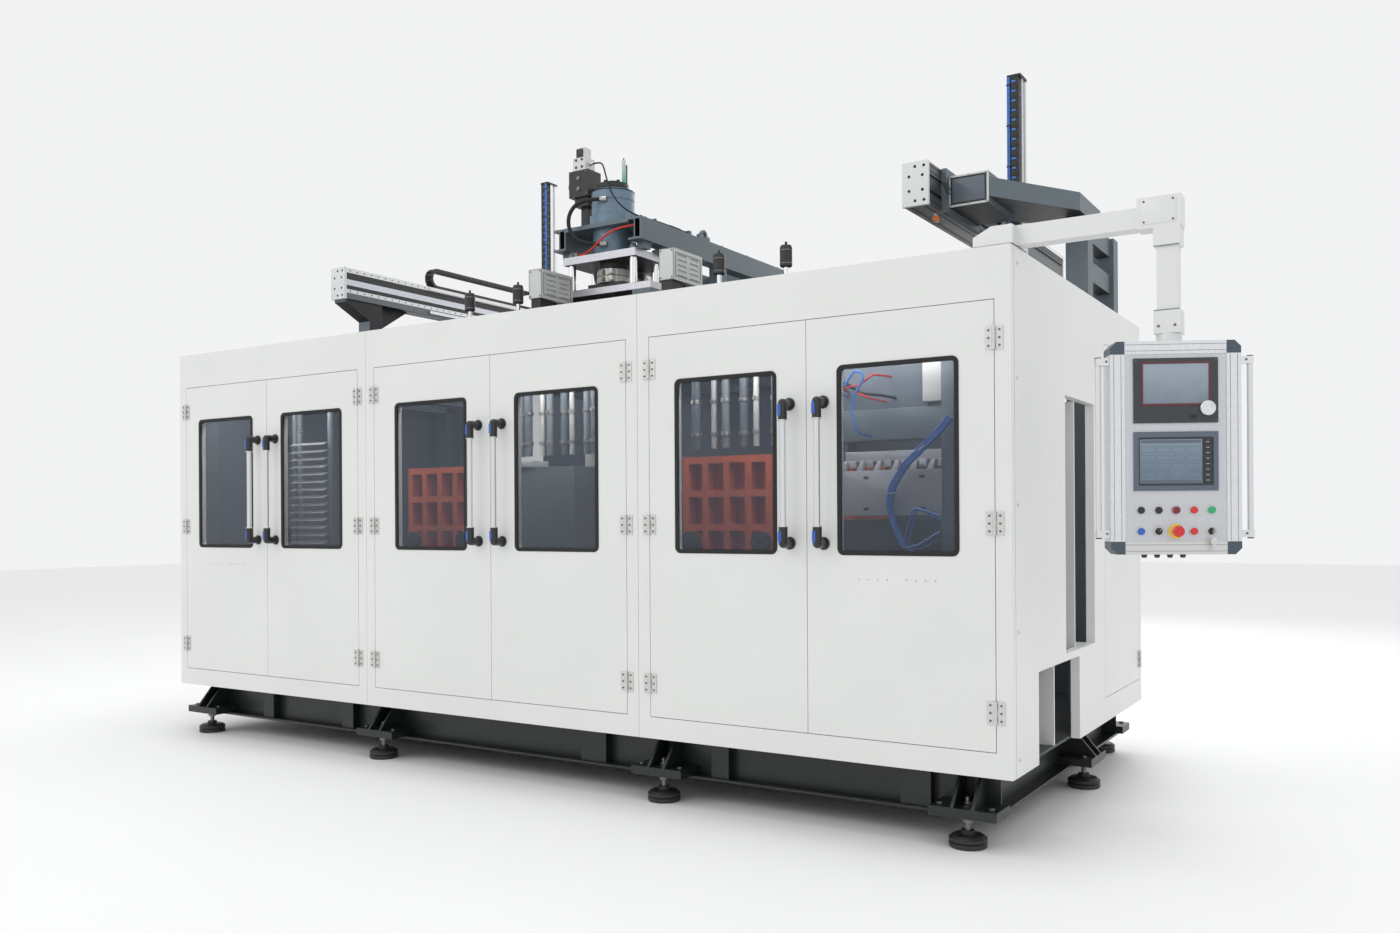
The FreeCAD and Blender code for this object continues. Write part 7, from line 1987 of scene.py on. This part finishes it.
@dataclass
class MouldClamps:
    """The two clamps: carriages, ribbed platens, tie bars and moulds."""

    sides: tuple[tuple[str, float], ...] = (("right", 1.523), ("left", 3.440))
    front: float = 0.430
    wide: float = 0.500
    sole: float = 0.5506
    top: float = 1.600

    def build(self, dresser: Dresser) -> None:
        """Dresses the nodes and adds the nuts' caps.

        Args:
            dresser: Gives the CAD nodes their finishes.
        """
        for side, reach in self.sides:
            y = FRONT_FACE + self.front
            low_x = RIGHT_FACE - reach - self.wide / 2
            mould_front = inside((low_x + 0.149, y + 0.1451, self.sole + 0.25),
                                 (low_x + self.wide - 0.149, y + 0.2360, self.sole + 0.75))
            bars = [(low_x + across, up) for across in (0.052, 0.448)
                    for up in (self.sole + 0.120, self.top - 0.415)]

            def ties(at: np.ndarray, out: np.ndarray, bars: list = bars,
                     y: float = y) -> np.ndarray:
                """Faces of the four tie bars."""
                found = np.zeros(len(at), bool)
                for x, z in bars:
                    found |= (np.hypot(at[:, 0] - x, at[:, 2] - z) < 0.0335) \
                        & (at[:, 1] > y + 0.1452) & (at[:, 1] < y + 1.3399)
                return found

            dresser.dress(f"{side}_clamp_carriage", Finish.STEELWORK_GREY,
                          (Finish.CHROME, above(0.5205)))
            dresser.dress(f"{side}_front_platen", Finish.PLATEN_ORANGE, (Finish.CHROME, ties),
                          (Finish.MOULD_STEEL, mould_front),
                          (Finish.HEAD_BLACK, lambda at, out, y=y: at[:, 1] < y - 0.00005))
            rear = FRONT_FACE + 1.330
            dresser.dress(f"{side}_rear_platen", Finish.PLATEN_ORANGE,
                          (Finish.MOULD_STEEL, lambda at, out, rear=rear: at[:, 1] < rear - 0.0001))
            self.nuts(side, y, bars)

    def nuts(self, side: str, y: float, bars: list[tuple[float, float]]) -> None:
        """The tie-bar nuts' faces, with their ring of screws.

        Args:
            side: "right" or "left".
            y: The front of the front platen.
            bars: The tie bars' places across and up.
        """
        made = Piece(f"{side}_tie_bar_caps", f"{side}_front_platen")
        faces = [towards((x, y - 0.0260, z), (0, -1, 0)) for x, z in bars]
        made.take(lathe([(0.0, 0.0), (0.046, 0.0), (0.046, 0.0008), (0.030, 0.0028),
                         (0.012, 0.0028), (0.010, 0.0010), (0.0, 0.0010)], 36),
                  Finish.HEAD_BLACK, *faces)
        rims = [matrix @ Matrix.Rotation(math.tau * step / 6, 4, "Z")
                @ moved((0.038, 0, 0.0010)) for matrix in faces for step in range(6)]
        made.take(screw_head(0.0044, 0.0026), Finish.SCREW_STEEL, *rims)
        made.done()


@dataclass
class InnerServices:
    """What stands still behind the windows: pipes, boxes, slats and tube bundles."""

    head: float = 2.128

    def build(self) -> None:
        """Makes the services of the three bays."""
        self.pipes()
        self.boxes()
        self.comb()
        self.bundles()

    def pipes(self) -> None:
        """Upright pipes with their clamps, over the platens and beside them."""
        made = Piece("service_pipes", MACHINE)
        runs = [(1.02 + 0.085 * step, 0.44 + 0.03 * (step % 2), 1.64) for step in range(9)]
        runs += [(2.16 + 0.075 * step, 0.42 + 0.03 * (step % 2), 1.64) for step in range(10)]
        runs += [(2.98, 0.46, 1.64), (3.10, 0.44, 1.64), (4.66, 0.43, 0.306), (4.98, 0.44, 0.306)]
        for step, (reach, back, foot) in enumerate(runs):
            radius = (0.019, 0.014, 0.022)[step % 3]
            finish = (Finish.MOTOR_GREY, Finish.COVER_GREY, Finish.STEELWORK_PALE)[step % 3]
            made.take(rod(radius, self.head - foot, 0.001, 18), finish,
                      moved(spot(reach, back, foot)))
            clips = [moved(spot(reach, back, up)) for up in (1.70, 1.86, 2.04)]
            made.take(lathe([(radius - 0.0005, 0.0), (radius + 0.005, 0.0),
                             (radius + 0.005, 0.018), (radius - 0.0005, 0.018)], 18),
                      Finish.FITTING_STEEL, *clips)
        made.done()

    def boxes(self) -> None:
        """The standing case of the middle bay, the side post and the slatted guard."""
        made = Piece("inner_cases", MACHINE)
        for low, high, finish in (
                (spot(1.700, 0.400, 2.128), spot(0.039, 0.490, 2.178), Finish.STEELWORK_GREY),
                (spot(3.510, 0.400, 2.128), spot(1.790, 0.490, 2.178), Finish.STEELWORK_GREY),
                (spot(5.211, 0.400, 2.128), spot(3.610, 0.490, 2.178), Finish.STEELWORK_GREY),
                (spot(2.735, 0.300, 0.306), spot(2.350, 0.560, 1.572), Finish.STEELWORK_GREY),
                (spot(2.750, 0.290, 1.572), spot(2.620, 0.420, 1.608), Finish.COVER_GREY),
                (spot(2.440, 0.500, 1.500), spot(2.150, 0.660, 1.660), Finish.COVER_GREY),
                (spot(0.392, 0.300, 0.700), spot(0.290, 0.530, 2.129), Finish.STEELWORK_PALE),
                (spot(0.520, 0.420, 1.800), spot(0.385, 0.520, 2.080), Finish.COVER_GREY),
                (spot(0.930, 0.480, 1.781), spot(0.519, 0.520, 2.100), Finish.STEELWORK_PALE),
                (spot(0.930, 0.440, 1.640), spot(0.385, 0.520, 1.780), Finish.STEELWORK_GREY),
                (spot(0.930, 0.420, 0.700), spot(0.385, 0.500, 1.290), Finish.STEELWORK_DARK)):
            made.take(block(low, high, 0.003), finish)
        slats = [moved(spot(4.435, 0.320, 1.170 + 0.046 * step))
                 @ Matrix.Rotation(math.radians(24), 4, "X") for step in range(14)]
        made.take(block((-0.155, -0.020, 0.0), (0.155, 0.020, 0.0030), 0.001),
                  Finish.PROFILE_SILVER, *slats)
        posts = [moved(spot(reach, 0.352, 0.306)) for reach in (4.275, 4.600)]
        made.take(block((-0.014, -0.010, 0.0), (0.014, 0.010, 1.78), 0.002),
                  Finish.STEELWORK_GREY, *posts)
        made.done()

    def comb(self) -> None:
        """The slotted plate of the right bay, with the toothed bar that stands over it."""
        made = Piece("slotted_plate", MACHINE)
        made.take(frame(0.490, 0.196, 0.0, 0.006, 0.004, 0.001), Finish.CABLE_TRUNK,
                  moved(spot(0.622, 0.306, 1.403)))
        slots = [moved(spot(reach, 0.2999, up))
                 for reach in (0.477, 0.734) for up in (1.334, 1.470)]
        made.take(frame(0.026, 0.012, 0.0, 0.0006, 0.0058), Finish.HOSE_BLACK, *slots)
        made.take(frame(0.480, 0.044, 0.0, 0.008, 0.003, 0.001), Finish.CABLE_TRUNK,
                  moved(spot(0.620, 0.372, 1.566)))
        teeth = [moved(spot(0.440 + 0.082 * step, 0.362, 1.500)) for step in range(6)]
        made.take(prism(((-0.034, 0.0), (-0.002, 0.0), (0.006, 0.046), (-0.010, 0.046)), 0.020,
                        0.001), Finish.COVER_GREY, *teeth)
        made.take(block((0.012, -0.010, 0.016), (0.044, 0.0, 0.048), 0.002), Finish.CABLE_TRUNK,
                  *teeth)
        made.done()

    def bundles(self) -> None:
        """The blue air tubes that loop down past the slotted plate, and the small loops over it."""
        made = Piece("air_tubes", MACHINE)
        trunk = ((0.340, 1.712), (0.383, 1.662), (0.463, 1.589), (0.539, 1.520), (0.599, 1.427),
                 (0.613, 1.350), (0.591, 1.264), (0.548, 1.170), (0.470, 1.132), (0.386, 1.122))
        for step in range(9):
            shift, back = 0.0088 * (step % 3 - 1), 0.262 + 0.0082 * (step // 3)
            line = [spot(reach + shift, back, up + shift * 0.6) for reach, up in trunk]
            made.take(pipe(line, 0.0046, 0.05, 10), Finish.TUBE_BLUE)
        for back, run in ((0.262, ((0.548, 1.180), (0.500, 1.340), (0.385, 1.301))),
                          (0.270, ((0.530, 1.180), (0.488, 1.345), (0.385, 1.280))),
                          (0.262, ((0.548, 1.166), (0.480, 1.180), (0.385, 1.235))),
                          (0.270, ((0.540, 1.160), (0.470, 1.165), (0.385, 1.205)))):
            line = [spot(reach, back, up) for reach, up in run]
            made.take(pipe(line, 0.0042, 0.022, 10), Finish.TUBE_BLUE)
        for finish, radius, line in ((Finish.TUBE_BLUE, 0.0052, ((0.905, 0.481, 1.850), (0.860,
                0.300, 1.850), (0.783, 0.300, 1.943), (0.735, 0.300, 1.920), (0.790, 0.300, 1.830),
                (0.800, 0.300, 1.760), (0.771, 0.300, 1.670), (0.771, 0.441, 1.660))),
                (Finish.HOSE_RED, 0.0048, ((0.900, 0.481, 1.868), (0.850, 0.310, 1.868),
                (0.769, 0.310, 1.877), (0.703, 0.310, 1.920), (0.690, 0.481, 1.925))),
                (Finish.HOSE_RED, 0.0048, ((0.800, 0.481, 1.852), (0.790, 0.310, 1.850),
                (0.722, 0.310, 1.817), (0.715, 0.481, 1.817))), (Finish.HOSE_BLACK, 0.0060, ((0.890,
                0.481, 1.900), (0.860, 0.320, 1.900), (0.760, 0.320, 1.840), (0.680, 0.320, 1.830),
                (0.670, 0.481, 1.830)))):
            made.take(pipe([spot(*place) for place in line], radius, 0.022, 10), finish)
        ties = [moved(spot(reach, 0.271, up)) @ Matrix.Rotation(angle, 4, "Y")
                for reach, up, angle in ((0.463, 1.589, -0.75), (0.600, 1.400, -0.1))]
        made.take(block((-0.017, -0.016, -0.002), (0.017, 0.016, 0.002), 0.001),
                  Finish.COVER_GREY, *ties)
        made.done()


def corners() -> list[list[float]]:
    """The box of all that is shown, as plain lists of numbers."""
    low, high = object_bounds()
    return [[float(part) for part in low], [float(part) for part in high]]


def main() -> None:
    """Loads the frame, builds the studio, the hoses and every sub-assembly, and works out the sizes
    before and after.
    """
    logging.basicConfig(level=logging.INFO, format="%(name)s: %(message)s")
    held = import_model()
    box = corners()
    Studio().build()
    for hose in HOSES:
        hose.build()
    dresser = Dresser(held["nodes"])
    FrontDoors().build(dresser)
    SideAndBack().build(dresser)
    BaseFrame().build(dresser)
    RobotGantry().build(dresser)
    HeadTower().build(dresser)
    OperatorPendant().build(dresser)
    MouldClamps().build(dresser)
    InnerServices().build()
    {"cad_box": box, "visual_box": corners()}


if __name__ == "__main__":
    main()
